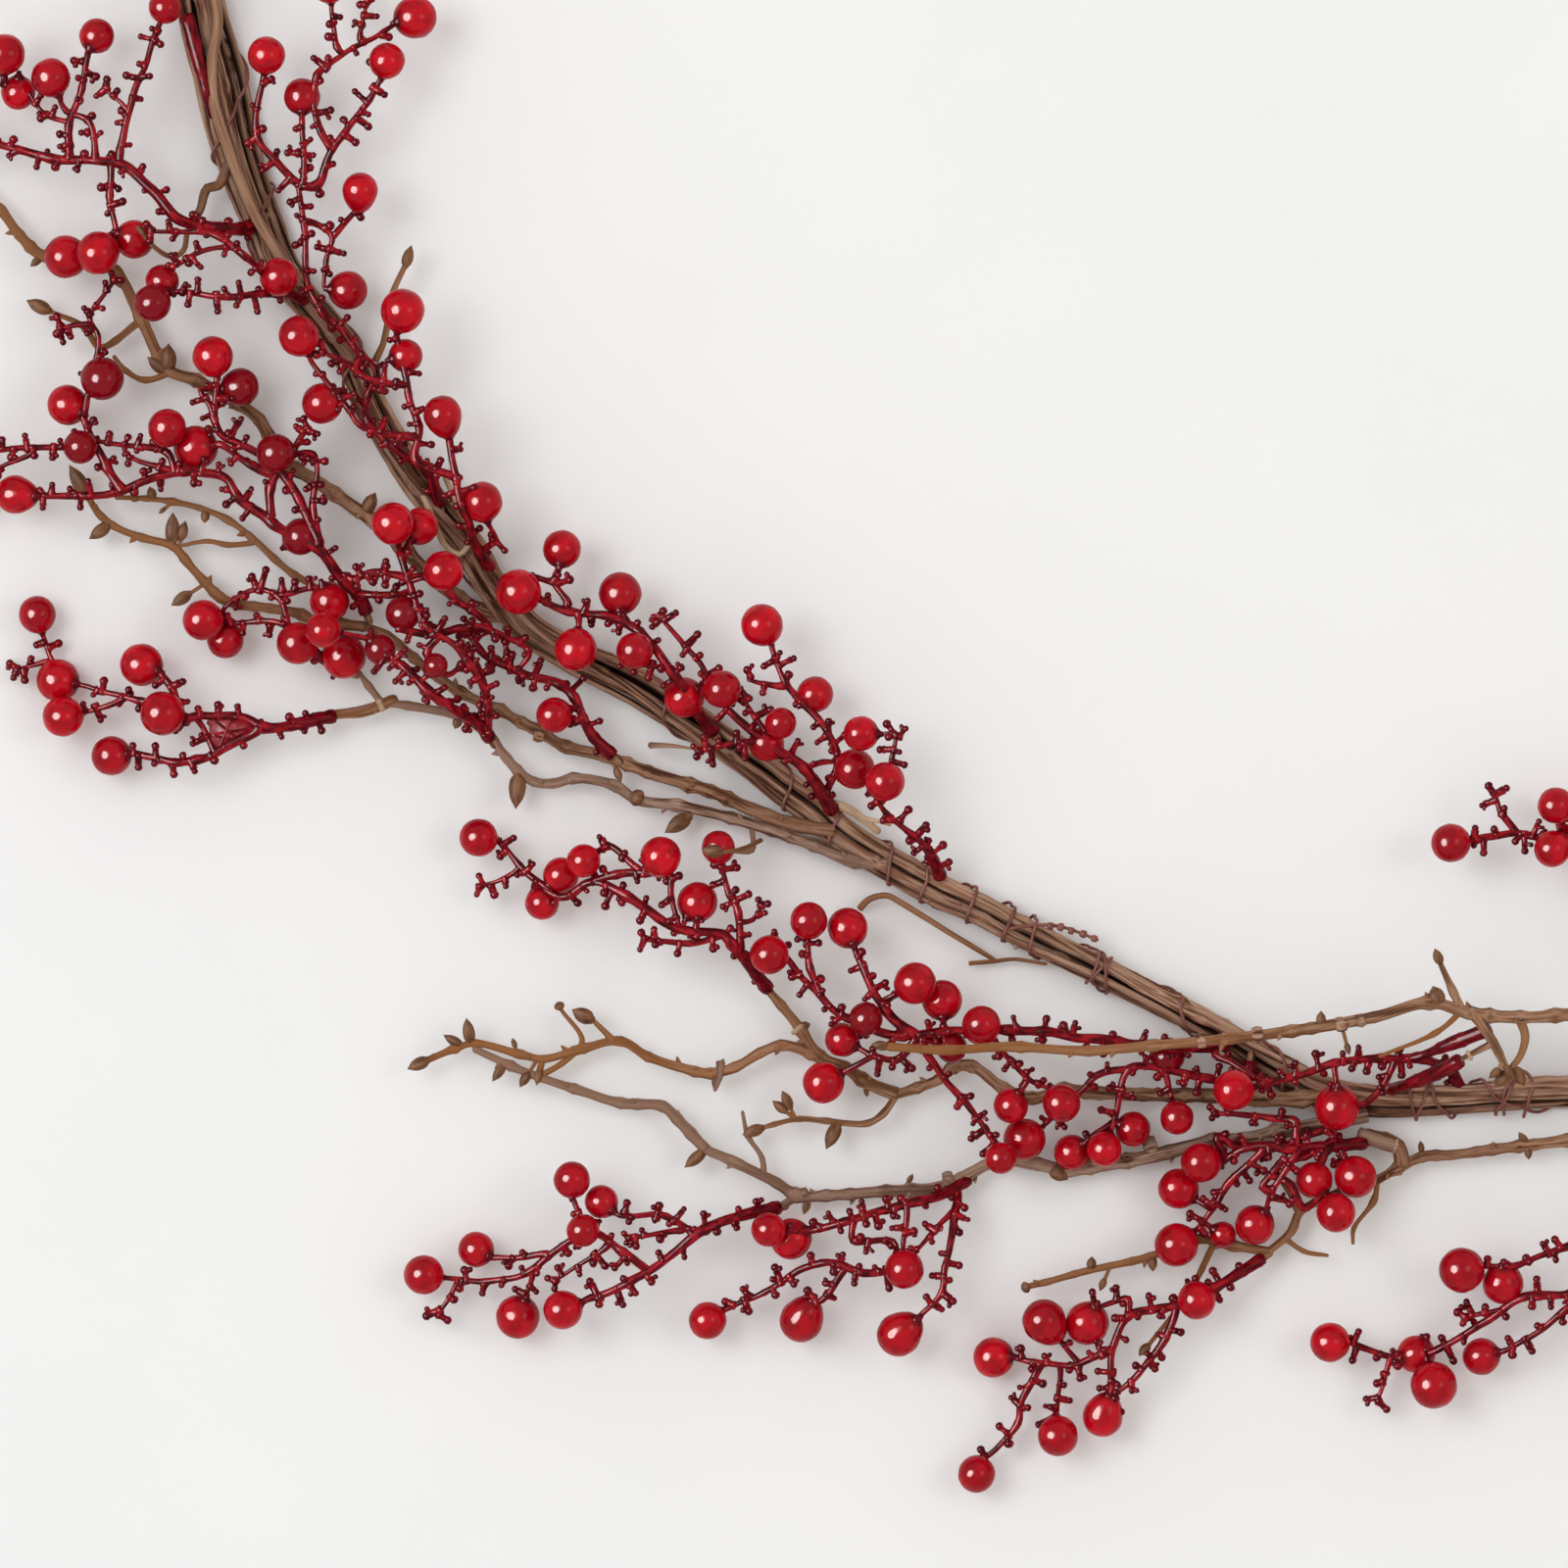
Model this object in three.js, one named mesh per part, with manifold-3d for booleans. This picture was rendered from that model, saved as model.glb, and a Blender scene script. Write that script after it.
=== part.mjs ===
// A holly berry garland lying on a flat surface, in millimetres, +Z up.
// The origin is on the surface under the middle of the vine, where the vine rests on it.
// Three twisted vine strands run from end to end, tied by a wire. Brown twigs and red berry sprays grow
// from them, each in a node of its own.

import * as THREE from 'three';
import { mergeVertices } from 'three/addons/utils/BufferGeometryUtils.js';
import Module from 'manifold-3d';

const wasm = await Module();
wasm.setup();

// Driving dimensions
const GAP = 0.3; // air left between two nodes that touch
const STRAND_RADIUS = 1.6;
const TWIST_RADIUS = 2.2; // from the vine's centre line to a strand's
const STRANDS = 3;
const TWIST_LENGTH = 1200; // one full turn of the strands round each other
const LOOSE = 3.2; // how much wider the strands lie where they part
const STRAND_STEP = 28;
const VINE_HEIGHT = 5.6; // of the vine's centre line above the surface
const DIP = 2.2; // how far the vine sinks to rest on the surface at the origin
const DIP_WIDTH = 7;
const WIRE_RADIUS = 0.6;
const WIRE_TURN_RADIUS = 5.35; // at the corners of its turns
const WIRE_STEPS = 7; // in each turn
const RISE = 16; // distance over which a spray climbs from its root to its own level
const FALL = 0.45; // share of a spray's reach after which it bends to the height of its tips
const BERRY_OFFSET = 2.4; // of berries above and below their stems
const NUB_RADIUS = 1.0;
const NUB_LEAN = 0.8; // how far a nub's head leans up or down
const THIN = 13; // points of a stem nearer together than this are passed over
const NUB_EVERY = 16; // one nub in so many is solid here
const FAR_NUB_EVERY = 30; // and one in so many on the repeated sprays
const FINE = 0.8; // stems no thicker than this are left out here
const FAR_FINE = 0.9; // and on the repeated sprays
const SMALL_BUD = 2.3; // buds narrower than this are left out here
const BERRY_SKIP = 5; // one berry in so many is left out here
const BERRY_REACH = 10; // a stem that ends nearer than this to a berry runs on into it
const BERRY_SWELL = 1.1; // a berry's twenty-sided solid stands so much further out at its corners

// The vine's centre line, from its upper end round to its right end
const VINE = [
  [-130, 420], [-143, 370], [-152, 320], [-156, 270], [-153, 225],
  [-148.5, 195], [-144.5, 180], [-141.5, 166], [-137, 152], [-133, 142], [-128.5, 131], [-121.5, 123],
  [-115.5, 116], [-110, 108], [-104, 95], [-95.5, 80], [-88, 70], [-80, 60], [-74, 50], [-66, 40.5],
  [-54, 33], [-40, 26.5], [-30, 20.5], [-16, 11], [-6, 4.5], [0, 0], [8, -5.5], [14, -11], [28, -20],
  [40, -26.5], [51, -31.4], [61, -37], [70, -41.5], [80, -46.5], [90, -52], [100, -57], [110, -62],
  [118, -67], [128, -73], [138, -78], [149, -80.5], [160, -80.8], [170, -80.5], [181, -79.7],
  [200, -78.2], [225, -77], [250, -74], [300, -66], [350, -52], [400, -30], [450, 0], [495, 38],
];
const UPPER_LOOSE = [-144.5, 185]; // where the strands part in the upper left

// Where the tying wire crosses the top of the vine, from the upper end to the right end
const WIRE_TOPS = [
  [-138, 390], [-146, 355], [-155, 300], [-153, 228], [-142, 168], [-134, 144], [-110, 108], [-81, 61],
  [-30, 20.5], [1.5, -1], [12.9, -10.4], [27, -19.5], [36.5, -24.5], [48, -30], [57.7, -35.2],
  [63.5, -38.3], [79.5, -46.2], [101, -57.5], [128, -73], [160, -80.8], [166, -80.6], [181, -79.7],
  [225, -77], [262, -72], [330, -58], [400, -30], [460, 7],
];

// Brown twigs. Each has its root [x, y, height], the level that it climbs to, the height of its far end,
// its stems [radius, x, y, x, y, ...] and its buds [x, y of the base, x, y of the point, width]
const TWIGS = {
  "twig_left": {
    "root": [-70, 43, 6], "level": 8, "tip": 7,
    "stems": [
      [1.5, -70, 43, -76, 43.5, -83, 47.5, -91, 54, -98, 61, -104, 66.6, -109.4, 70.3, -120, 77.7,
        -127, 82, -131, 88, -134, 93, -139, 97, -144.5, 100, -150, 103, -157.5, 106, -164, 118.5,
        -171, 131, -180, 134, -189.4, 134.9, -195.2, 140.2, -200, 146.5, -206, 152],
      [0.7, -157.5, 105, -163, 103.1, -168, 105.5, -171, 109],
      [0.8, -164, 118.5, -174.6, 111.5, -178.8, 116.8, -187, 120.5],
    ],
    "buds": [
      -157.5, 105, -162.5, 109, 3.2, -157.5, 105, -157, 112.5, 4.2, -189.4, 134.9, -192.5, 132, 2,
      -187, 120.5, -193.5, 123.5, 3.4, -107, 69, -104.2, 74.5, 3.5, -206, 152, -212, 157, 3,
    ],
  },
  "twig_long_upper": {
    "root": [12.9, -12, 8], "level": 7.5, "tip": 7,
    "stems": [
      [1.4, 12.9, -12, 2.3, -10.2, -8.3, -6.5, -18.8, -1.8, -24.1, -0.2, -32.1, 2.2, -40, 5, -45.9, 7.2,
        -56.5, 9.8, -61.8, 13, -67.1, 15.7, -72.4, 18.8, -77.7, 21, -83, 23.6, -88.3, 27.3, -94.6, 32.1,
        -101.5, 37.9, -107, 40.2],
      [1.1, -107, 40.2, -113, 40.8, -119, 41.2, -123.3, 43.3, -131.2, 44.9, -139.2, 45.9, -143.9, 47.5,
        -148.1, 51.7, -152.4, 56.5, -156.1, 60.7, -164, 62.9, -171.4, 66, -175.1, 69.2, -177.8, 73.4],
      [0.8, -113, 40.8, -120.6, 50.7, -124.9, 53.3, -129.6, 57, -136.5, 63.4, -142.9, 67.9, -149.2, 70.5,
        -156.1, 72.1, -163, 72.9, -170.4, 73.2],
      [0.6, -154.5, 60.8, -147.1, 62, -141.8, 61, -135.4, 61.8],
    ],
    "buds": [
      -179, 75, -182.5, 81.5, 3.8, -172.5, 65.8, -177.5, 62.5, 3.2, -156, 61.5, -156, 69.5, 3.6,
      -155, 62, -152.8, 67.3, 2.6, -149.5, 49.5, -156.5, 45.5, 3, -161, 73, -162, 76, 2.4,
      -147.6, 70, -148, 66.5, 2.2, -156.1, 72, -159.7, 69, 1.2, -44.3, 6, -41.5, 0.5, 2,
    ],
  },
  "twig_long_lower": {
    "root": [27, -20, 7], "level": 7, "tip": 8,
    "stems": [
      [1.25, 27, -20, 18.2, -19.8, 7.6, -15.6, -3, -11.9, -13.5, -8.7, -26.8, -5.5, -37.5, -4,
        -43.8, -0.2, -53.9, 1.4, -59.1, 0.1, -63.9, 0.6, -68.1, 3.5, -71.3, 7.2, -74, 11, -76.1, 13.8,
        -84, 17.6, -93.5, 19.6, -102.5, 20.5, -106.2, 19.4, -114.7, 17.6],
      [0.8, -102.5, 20.5, -106.2, 25.2, -108.4, 28.4],
      [0.6, -8.3, -10.3, -8.3, -16.9, -14.6, -17.1],
    ],
    "buds": [
      -69, 1.5, -68.5, -6.5, 4.2, -22, -7, -30.5, -12.5, 4, -36, -4, -39.5, -2.6, 4.2,
      -14.6, -17.1, -20.5, -16.3, 3, -83, 17, -84, 14, 2.4,
    ],
  },
  "twig_base": {
    "root": [141, -79, 7], "level": 8, "tip": 8,
    "stems": [
      [1.6, 141, -79, 130, -80.5, 120, -80, 108.8, -79.6, 98.2, -79.4, 87.6, -79.2, 77, -78.6, 71.7, -78,
        63.3, -80.2, 55.9, -77.6, 47.9, -72, 43.2, -72.3, 39.4, -75.5, 34, -77.6, 28.8, -79.2],
      [1.4, 28.8, -79.2, 20.8, -76, 15.6, -72.3, 9.2, -69.6, 3.9, -62.2, -0.8, -56.4, -4, -52.7],
      [1.1, 10.3, -70.4, 3.9, -67.5, -0.8, -66.7, -6.1, -68.6, -12.5, -72.3, -18.8, -73.9, -26.8, -72.3,
        -34.7, -69.6, -41.7, -65.7, -51.2, -67.5, -61.3, -70.2, -67.1, -69.1, -78.7, -66.2, -84, -67.5,
        -90.4, -70.2],
      [0.75, 28.8, -79.2, 25.6, -83.9, 21.4, -86.6, 10.3, -86, 3.9, -85.5, -5.1, -87.6],
      [0.8, -43.8, -65.5, -48.5, -60.5],
      [0.7, -62.3, -74.1, -51.5, -66, -57, -57.5],
    ],
    "buds": [
      -90.4, -70.2, -96.2, -72.8, 3.2, -80, -66.3, -81.1, -59.6, 3, -82, -66.5, -87, -64, 2.4,
      -68, -69, -69.4, -64.8, 1.4, -62.9, -70.5, -67.5, -77.5, 2.4, -62, -70.5, -63.2, -77, 2.2,
      -48.3, -60.3, -54.2, -57.5, 3.8, -17, -73.9, -15.3, -70, 1.8, -17, -73.9, -18, -78, 1.8,
      -5, -87.5, -10.7, -89.6, 3, 3, -85.3, -0.5, -78.2, 2.6, 3, -85.3, -3, -80.8, 2.4,
      14, -86.5, 10.7, -93.3, 3.5, 20.8, -76, 21.2, -80, 1.4, -57, -57.5, -57.8, -55.6, 2.6,
      3.9, -62.2, 6.8, -61.2, 2.2,
    ],
  },
  "twig_lower": {
    "root": [149, -84.5, 6], "level": 7, "tip": 8,
    "stems": [
      [1.6, 149, -84.5, 138.7, -86.6, 125.4, -89.2, 117.5, -90.8, 108.8, -91.4, 98.2, -94, 87.6, -96.3,
        78.1, -97.7, 71.7, -98.7, 64.9, -97.1, 54.8, -96.1, 45.3, -100.8, 40, -103, 26.1, -104,
        10.8, -105.1, 3.4, -105.1, -1.9, -101.9, -13.5, -96.1, -19.9, -93.4],
      [1.2, -19.9, -93.4, -27.3, -85.5, -31, -82.3, -41.7, -81.5, -51.2, -78.6, -62.3, -74.9, -69.7, -72,
        -78.7, -67.8],
      [1.2, 5, -104.8, -0.8, -107.7],
      [0.6, -5.3, -99.5, -5.6, -95.6, -9.3, -89.7, -10.6, -83.9],
    ],
    "buds": [
      -71.5, -72, -74.5, -76, 2.4, -20.5, -94, -25.5, -98, 3, 30.5, -103, 33, -99.5, 1.4,
      6.6, -105.5, 5, -110, 2, 68, -98, 72.5, -101, 4, 56, -96.5, 57, -92, 1.8,
    ],
  },
  "twig_top": {
    "root": [238, -76, 7], "level": 31, "tip": 30,
    "stems": [
      [1.4, 238, -76, 228, -68, 214, -60, 200, -58.5, 186.3, -59, 173.6, -58, 163.5, -55.3, 149.2, -59,
        133.4, -61.7, 114, -64.3, 92.9, -66.2, 77, -67.5, 57.5, -66.5, 40, -67.3, 26.7, -66.5],
      [0.9, 170.9, -56.5, 168.8, -51.6, 166.2, -45.8],
      [1.2, 175, -58.5, 179.4, -65.4, 182.6, -71.7],
      [0.8, 179.4, -65.4, 171.5, -69.6],
      [0.6, 171.5, -57.5, 165.1, -62.8, 150.8, -68.8],
    ],
    "buds": [
      166, -55.5, 164, -51, 4, 166.2, -45.8, 164.5, -41.5, 2.4, 135.8, -61, 135.8, -57.3, 2.4,
      26.7, -66.5, 22, -65.8, 2.4, 141, -61, 143, -68.6, 1.6, 182, -71, 178.2, -74.5, 2,
      182, -71, 184.6, -75, 2,
    ],
  },
  "twig_right": {
    "root": [238, -78, 6], "level": 7, "tip": 8,
    "stems": [
      [1.3, 238, -78, 226, -84, 212, -90, 200, -91, 191.6, -92.1, 181, -93.4, 170.4, -94.8, 163, -95.3,
        156.7, -98.2, 147.1, -103.5, 141.8, -104.6, 131.8, -109.3, 129.7, -114.1, 123.8, -119.4],
      [1.0, 123.8, -119.4, 114.1, -117.8, 105.6, -116.2, 99.9, -118, 93.4, -120.7, 77, -124.4,
        66.5, -127.3, 62.2, -128.3],
      [1.7, 158, -97.5, 156.7, -92.4, 149.2, -89.2],
      [0.8, 131.3, -108.8, 128.1, -102.4, 125.4, -99.3],
      [0.7, 110, -117, 103.5, -129.7, 93.4, -142.9],
      [0.6, 151.4, -101.5, 150.8, -106.1, 145.5, -113.5, 145.3, -117.2],
      [0.6, 128, -116, 132.8, -119.4, 138.7, -120.4],
    ],
    "buds": [
      190, -92.1, 187.5, -88.8, 2, 190, -92.1, 190.2, -96, 2, 78.4, -124, 78.6, -120.5, 2.4,
      94, -120.5, 94.2, -124.5, 2.4, 83.4, -123, 80.5, -129.5, 1.8, 93.4, -142.9, 90.5, -146, 2.4,
      62.6, -128.2, 60.5, -128.9, 2.8, 163, -95.3, 162.5, -91, 1.6,
    ],
  },
};

// Red sprays. Each has its root, level and height at the far end, its stems, the heads of its nubs
// [x, y, ...] and its berries [x, y, radius, ...]
const SPRAYS = {
  "spray_a": {
    "root": [-134, 144, 7], "level": 20, "tip": 17,
    "stems": [
      [1.4, -134, 144, -137, 142, -143.5, 141.5, -154, 143.4, -160.3, 150.8, -168.3, 157.7, -174.6, 158.2,
        -186.8, 159, -194.7, 161.4, -206, 165],
      [1.0, -171, 158, -171.2, 149.2, -170.1, 140.2],
      [1.0, -181.7, 159, -182, 167.2, -178.3, 176.7, -177, 186],
      [0.9, -175, 159, -177.2, 168.3, -182.5, 171],
      [0.9, -168.8, 160, -166.7, 170.9, -161.9, 183.6, -157, 197, -153, 207],
      [0.7, -167.2, 171.4, -172.5, 176.7],
      [0.6, -182, 168.3, -186.8, 170, -194, 177, -205, 178],
    ],
    "nubs": [
      -179.5, 156, -184, 162, -190, 157, -196, 164, -185.3, 172, -179.5, 174, -169.5, 168, -163.5, 174,
      -167, 180, -158.5, 188, -163.5, 190, -174.8, 175, -178.5, 165.5, -201, 161, -175, 180, -180.5, 184,
      -168, 148, -173.5, 151.5, -157, 151, -163, 157, -189, 175,
    ],
    "berries": [
      -198, 185.5, 5.2, -195, 176, 4.4, -186.3, 179.5, 5, -174.9, 190.4, 4.5, -157.2, 197.2, 4.2,
      -182.8, 134.1, 5.5, -174.1, 134.7, 5.5, -165.2, 138.5, 5, -209, 167, 5, -152, 211, 5,
    ],
  },
  "spray_b": {
    "root": [-88, 71, 9], "level": 17, "tip": 20,
    "stems": [
      [1.1, -88, 71, -90.4, 78.7, -97.8, 84.6, -106.2, 92.5, -105.7, 98.8, -103.6, 105, -108.4, 110,
        -113.1, 116.3, -117.4, 120, -121.2, 128, -121.7, 133.9, -122.2, 141.8, -123.5, 152.4],
      [1.0, -123.5, 152.4, -129.6, 158.7, -133.9, 165.6, -132, 180],
      [0.9, -122.8, 152, -122.5, 168.8],
      [1.0, -119, 152, -115, 161, -105.5, 174, -102, 180],
      [0.9, -115, 161, -119.5, 171, -118.5, 180, -112, 185.7, -101.5, 191, -97, 194],
      [0.7, -113.6, 187.3, -115, 198],
      [0.7, -107.6, 189.4, -106, 199],
      [0.8, -121.7, 143, -114.7, 139.2, -116.6, 132.8, -116.8, 126],
      [0.8, -114.7, 139.2, -108, 147],
    ],
    "nubs": [
      -109, 176, -101.5, 175.1, -112, 168.8, -105.7, 167.2, -108.9, 163, -115.2, 171.2, -105.2, 183.5,
      -136.3, 163, -132.5, 156, -126, 160.5, -128.5, 151, -119.7, 160, -125.5, 148, -118.7, 136.5,
      -124.3, 137, -113, 113, -111, 118.5, -108.8, 104, -101.5, 100, -96.5, 87.5, -115.5, 193,
      -103.5, 195, -112, 135, -119.5, 184.5,
    ],
    "berries": [
      -131.4, 185, 4.8, -122.6, 174.9, 4.7, -100.8, 183.6, 4.6, -93.8, 195, 5.5, -107.7, 150.8, 4.6,
      -111, 125.7, 5, -115.5, 203, 4.8,
    ],
  },
  "spray_c": {
    "root": [-122, 123.5, 9], "level": 27, "tip": 26,
    "stems": [
      [1.0, -122, 123.5, -126, 125, -131, 124.5, -141, 123.5, -156, 125.5],
      [0.8, -128, 125, -136, 133, -140, 136, -149, 134.5, -154.5, 131],
      [0.8, -136, 133, -143, 138.5, -148, 140, -160, 140],
    ],
    "nubs": [
      -151, 121.5, -143.5, 119.8, -138.3, 127.2, -133.7, 120, -148.5, 127.7, -156, 142.5, -147.5, 142.8,
      -149, 137, -147.7, 131, -160.8, 137.5, -132.5, 132.5, -155.3, 134,
    ],
    "berries": [
      -128.3, 128.8, 4.9, -157.8, 127.6, 4.3, -159.8, 121.7, 4.7,
    ],
  },
  "spray_d": {
    "root": [-75, 55, 9], "level": 27, "tip": 27,
    "stems": [
      [1.2, -75, 55, -78.2, 60.2, -80.8, 69.2, -83.5, 77.7, -84.6, 87.2],
      [1.0, -83.5, 77.7, -93, 81.9, -92.5, 90.4, -95.1, 98.8, -95.7, 104.1, -98.3, 113.1],
      [0.9, -93.5, 88, -106.2, 90.4, -110.5, 95.1, -116.8, 103.6, -120, 107.8],
      [0.9, -95.5, 101, -105.7, 102.5, -110.5, 106.2, -116.8, 109.4],
      [0.9, -77.5, 59, -73.4, 61.8, -75, 66],
    ],
    "nubs": [
      -98.5, 100.5, -91.5, 95, -95, 88, -89.5, 86, -86, 73, -78.5, 75, -88, 78, -101, 92.5, -108.8, 99,
      -113, 95, -115.5, 100, -107, 109, -112.5, 104.5, -101, 106, -92.5, 104, -87, 82, -71, 59.5,
    ],
    "berries": [
      -96.5, 119.8, 5.6, -95.9, 108.6, 4.3, -122.8, 113.4, 5.2, -117.1, 96.5, 5.2, -86.4, 93.5, 4.9,
      -76.6, 71.6, 5.2,
    ],
  },
  "spray_e": {
    "root": [-106.5, 43.5, 10], "level": 19, "tip": 17,
    "stems": [
      [1.3, -106.5, 43.5, -107.8, 47, -112, 51.7, -119, 60.2, -129.6, 66, -133.9, 69.2, -139.2, 73.4,
        -142.9, 78.2, -152.4, 79.5, -163, 77.1, -168.3, 74.5, -177.2, 73.4, -190.5, 73.2],
      [1.2, -168.3, 74.8, -172.5, 80.8, -175.7, 87.2, -178, 94],
      [0.9, -175.1, 87.7, -163, 85.6, -156.6, 84, -155, 79.5],
      [0.8, -167.2, 83.8, -159.8, 80.6, -155, 79.5],
      [0.8, -177, 86, -191, 85.6, -207, 84.5],
      [0.7, -191, 85, -206, 77],
      [0.8, -178, 94, -174.5, 108, -174.6, 113.7, -176.7, 118.4, -170.4, 128],
      [0.8, -176, 117, -184, 116],
      [1.2, -118.5, 61, -123.3, 72.4, -129, 81, -143.9, 90.4, -144.1, 104],
      [1.1, -143.4, 86.1, -134.9, 80.8, -130, 79],
      [1.1, -130.7, 68, -130.7, 75, -127, 81.4, -121.2, 90.4],
      [0.9, -119.6, 84, -119.6, 69.7, -118.5, 61.8],
      [0.9, -148.1, 99.9, -146, 96.2, -144.5, 92],
    ],
    "nubs": [
      -188.5, 70.2, -186, 76, -179, 70.5, -177, 77, -171.5, 89, -163.5, 88.5, -170.5, 82.8, -135.5, 75,
      -141.7, 71, -137.5, 67.5, -185, 119, -183.5, 112.5, -193, 88.5, -186, 83, -199, 87.5, -124, 91,
      -118.5, 89, -122.5, 83, -116.8, 82, -121.5, 75, -117, 72, -147.5, 82.5, -150, 76.5, -158.5, 75,
      -158, 82, -136.5, 88, -138, 92.8, -147.8, 93, -140, 98, -150.3, 97, -137, 82, -126.5, 63.5,
      -114, 60, -178, 121, -180.5, 89.5, -181.5, 113.8,
    ],
    "berries": [
      -173.2, 103, 5.5, -182.4, 96.5, 5.2, -178.8, 85.6, 4.3, -195.8, 73.7, 5, -145.1, 108.6, 5.2,
      -138.4, 101, 4.9, -156.6, 90.4, 4.9, -149.8, 85.6, 5.7, -129.1, 84, 5, -123, 62.9, 4.7, -211, 86, 5,
      -209, 74, 4.8,
    ],
  },
  "spray_f": {
    "root": [-111, 28.6, 8], "level": 15, "tip": 12,
    "stems": [
      [0.9, -111, 28.6, -119, 33, -126, 40, -134, 41.5, -141.5, 41],
      [0.8, -126, 40, -129, 48, -134, 49.7, -143, 44.5],
      [0.8, -129, 48, -119.5, 50, -116, 47],
    ],
    "nubs": [
      -132, 54.5, -135.5, 52.8, -138, 38.5, -131, 38, -128, 52, -124.5, 51.5, -138.5, 48.5, -121, 38,
    ],
    "berries": [
      -147.9, 41.7, 5.2, -142.6, 36.8, 4.8, -123.8, 35.8, 5.4, -115.8, 46.5, 5.1, -112.2, 32.6, 5.7,
    ],
  },
  "spray_g": {
    "root": [-114.9, 17.4, 8], "level": 15, "tip": 4.6,
    "stems": [
      [1.3, -114.9, 17.4, -125.9, 15.1, -132.3, 14.1, -137, 16.7, -149.7, 17.2, -152.4, 16.7,
        -156.1, 24.7, -160, 29],
      [1.2, -134, 14.1, -143.9, 8.3, -149.7, 6.1, -155, 5.6, -166.1, 7.7],
      [0.8, -149.7, 16.7, -145, 8.3],
      [0.9, -156.5, 19.5, -163.5, 21.2, -173.5, 23.6, -182, 25.8],
      [0.8, -168.3, 21.6, -177.8, 18.6],
      [0.8, -182, 26, -187.3, 31.5, -189.4, 37.9],
      [0.7, -187.5, 31.5, -196, 29.4],
    ],
    "nubs": [
      -144, 20.2, -139, 19.8, -152, 21, -155, 13.5, -150.5, 10.3, -150, 3.2, -155.5, 2.5, -164.5, 4.3,
      -160, 9.7, -153, 26, -174.5, 16.3, -173.5, 26.4, -118, 13.6, -122, 18, -128, 12, -192.5, 32,
      -194, 26.5, -167, 24, -185.5, 36,
    ],
    "berries": [
      -190.7, 43.3, 4.8, -185.6, 26.5, 5.5, -183.9, 17.2, 5.2, -163.8, 30.4, 5.5, -158.2, 18, 5.7,
      -171.6, 7.2, 5.1,
    ],
  },
  "spray_h": {
    "root": [-75, 11.5, 9], "level": 25, "tip": 24,
    "stems": [
      [1.3, -75, 11.5, -77.7, 15.1, -87.2, 21, -93.5, 26.8, -102.5, 33.1, -105.2, 36.8],
      [1.0, -76, 13.5, -76.1, 24.1, -83, 34.7, -90.4, 39.6, -94.6, 49.6, -97.2, 58],
      [0.9, -95.5, 52.5, -104, 53.8, -109.4, 51.7],
    ],
    "nubs": [
      -108.5, 55, -98.5, 26, -104, 28.5, -73, 25.5, -79.5, 33, -86, 24.5, -91, 21.5, -81, 14, -96, 34,
      -86, 42, -101, 56.5, -91, 53, -101, 50.5,
    ],
    "berries": [
      -116.8, 39, 4.5, -96.7, 43.3, 4.5, -99.1, 66, 5.4, -92.5, 65.5, 4.8, -86.3, 54, 5.1,
      -102.5, 34.2, 4, -88.3, 30, 3.2,
    ],
  },
  "spray_i": {
    "root": [-43.6, 7.2, 10], "level": 14, "tip": 15,
    "stems": [
      [1.2, -43.6, 7.2, -48.6, 12, -51.2, 16.7, -53.3, 22, -57, 25, -67.1, 28.6, -77.7, 34.2, -80.3, 39],
      [0.8, -70.8, 30.5, -70.8, 36.8],
    ],
    "nubs": [
      -47, 16, -54.5, 15.3, -51, 27, -62, 31.5, -64, 24.5, -70, 39.5, -77, 39, -74.5, 29, -81.5, 42,
    ],
    "berries": [
      -58.5, 17.5, 4.6,
    ],
  },
  "spray_j": {
    "root": [-18, 13, 9], "level": 20, "tip": 18,
    "stems": [
      [1.3, -18, 13, -22.5, 19, -27.8, 27.8, -36.8, 38.4, -45.9, 42.8, -54.4, 43.8, -61.8, 47],
      [0.9, -54.9, 45.9, -58.6, 51.7, -57, 56],
      [0.8, -27.8, 29, -34.7, 31.3, -40, 31.5],
      [0.8, -40, 41.5, -41.7, 46],
      [0.8, -22.5, 19, -19.9, 27.8, -25.2, 35.2, -31.5, 42.5],
    ],
    "nubs": [
      -64, 53, -60, 48, -34.4, 27, -22, 38, -27.5, 43.5, -33.5, 40, -42, 38.5, -49, 40.5, -50, 46.5,
      -30.5, 25, -54.5, 52, -16.5, 29.5, -27, 20, -32, 36.5,
    ],
    "berries": [
      -67.5, 48.8, 5.8, -56.5, 59.8, 4.9, -52.9, 34.1, 5.5, -41.7, 48.5, 5.5, -37.9, 33.8, 4.7,
      -25.4, 22, 5.2, -15.7, 24.1, 4.9,
    ],
  },
  "spray_k": {
    "root": [12.5, -7, 9], "level": 18, "tip": 18,
    "stems": [
      [1.4, 12.5, -7, 5, 4, -6.1, 12, -14.1, 18.8],
      [1.0, 10, -4, 13.4, 8.8, 3.4, 22, 0.2, 25.7, -3.4, 36],
      [0.8, -0.3, 25, -5.6, 25.7, -9, 26.5],
      [0.8, -4, 11, -12.5, 10.4, -21.5, 8.3],
      [0.8, 5, 4, 10, 5.5, 15.5, 5],
      [0.8, -4, 12, -10.4, 21.5],
    ],
    "nubs": [
      -9.3, 29, -11, 24.2, -20.5, 12, -18, 5, -12, 13, -10, 6.5, 3.5, 11, 8.5, 10.5, -5, 30, 2.5, 32,
      -13, 21.8, -3.5, 19, 15.5, 12.5, 7.5, 14.5, -17, 16.5, 11.5, 1.5,
    ],
    "berries": [
      -5.6, 40.4, 5.4, 7.9, 22.8, 4.7, 18, 3.8, 5.2, -4.5, 10.4, 4.6, -0.8, 15.5, 4,
    ],
  },
  "spray_l": {
    "root": [40, -23.5, 9], "level": 28, "tip": 28,
    "stems": [
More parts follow.
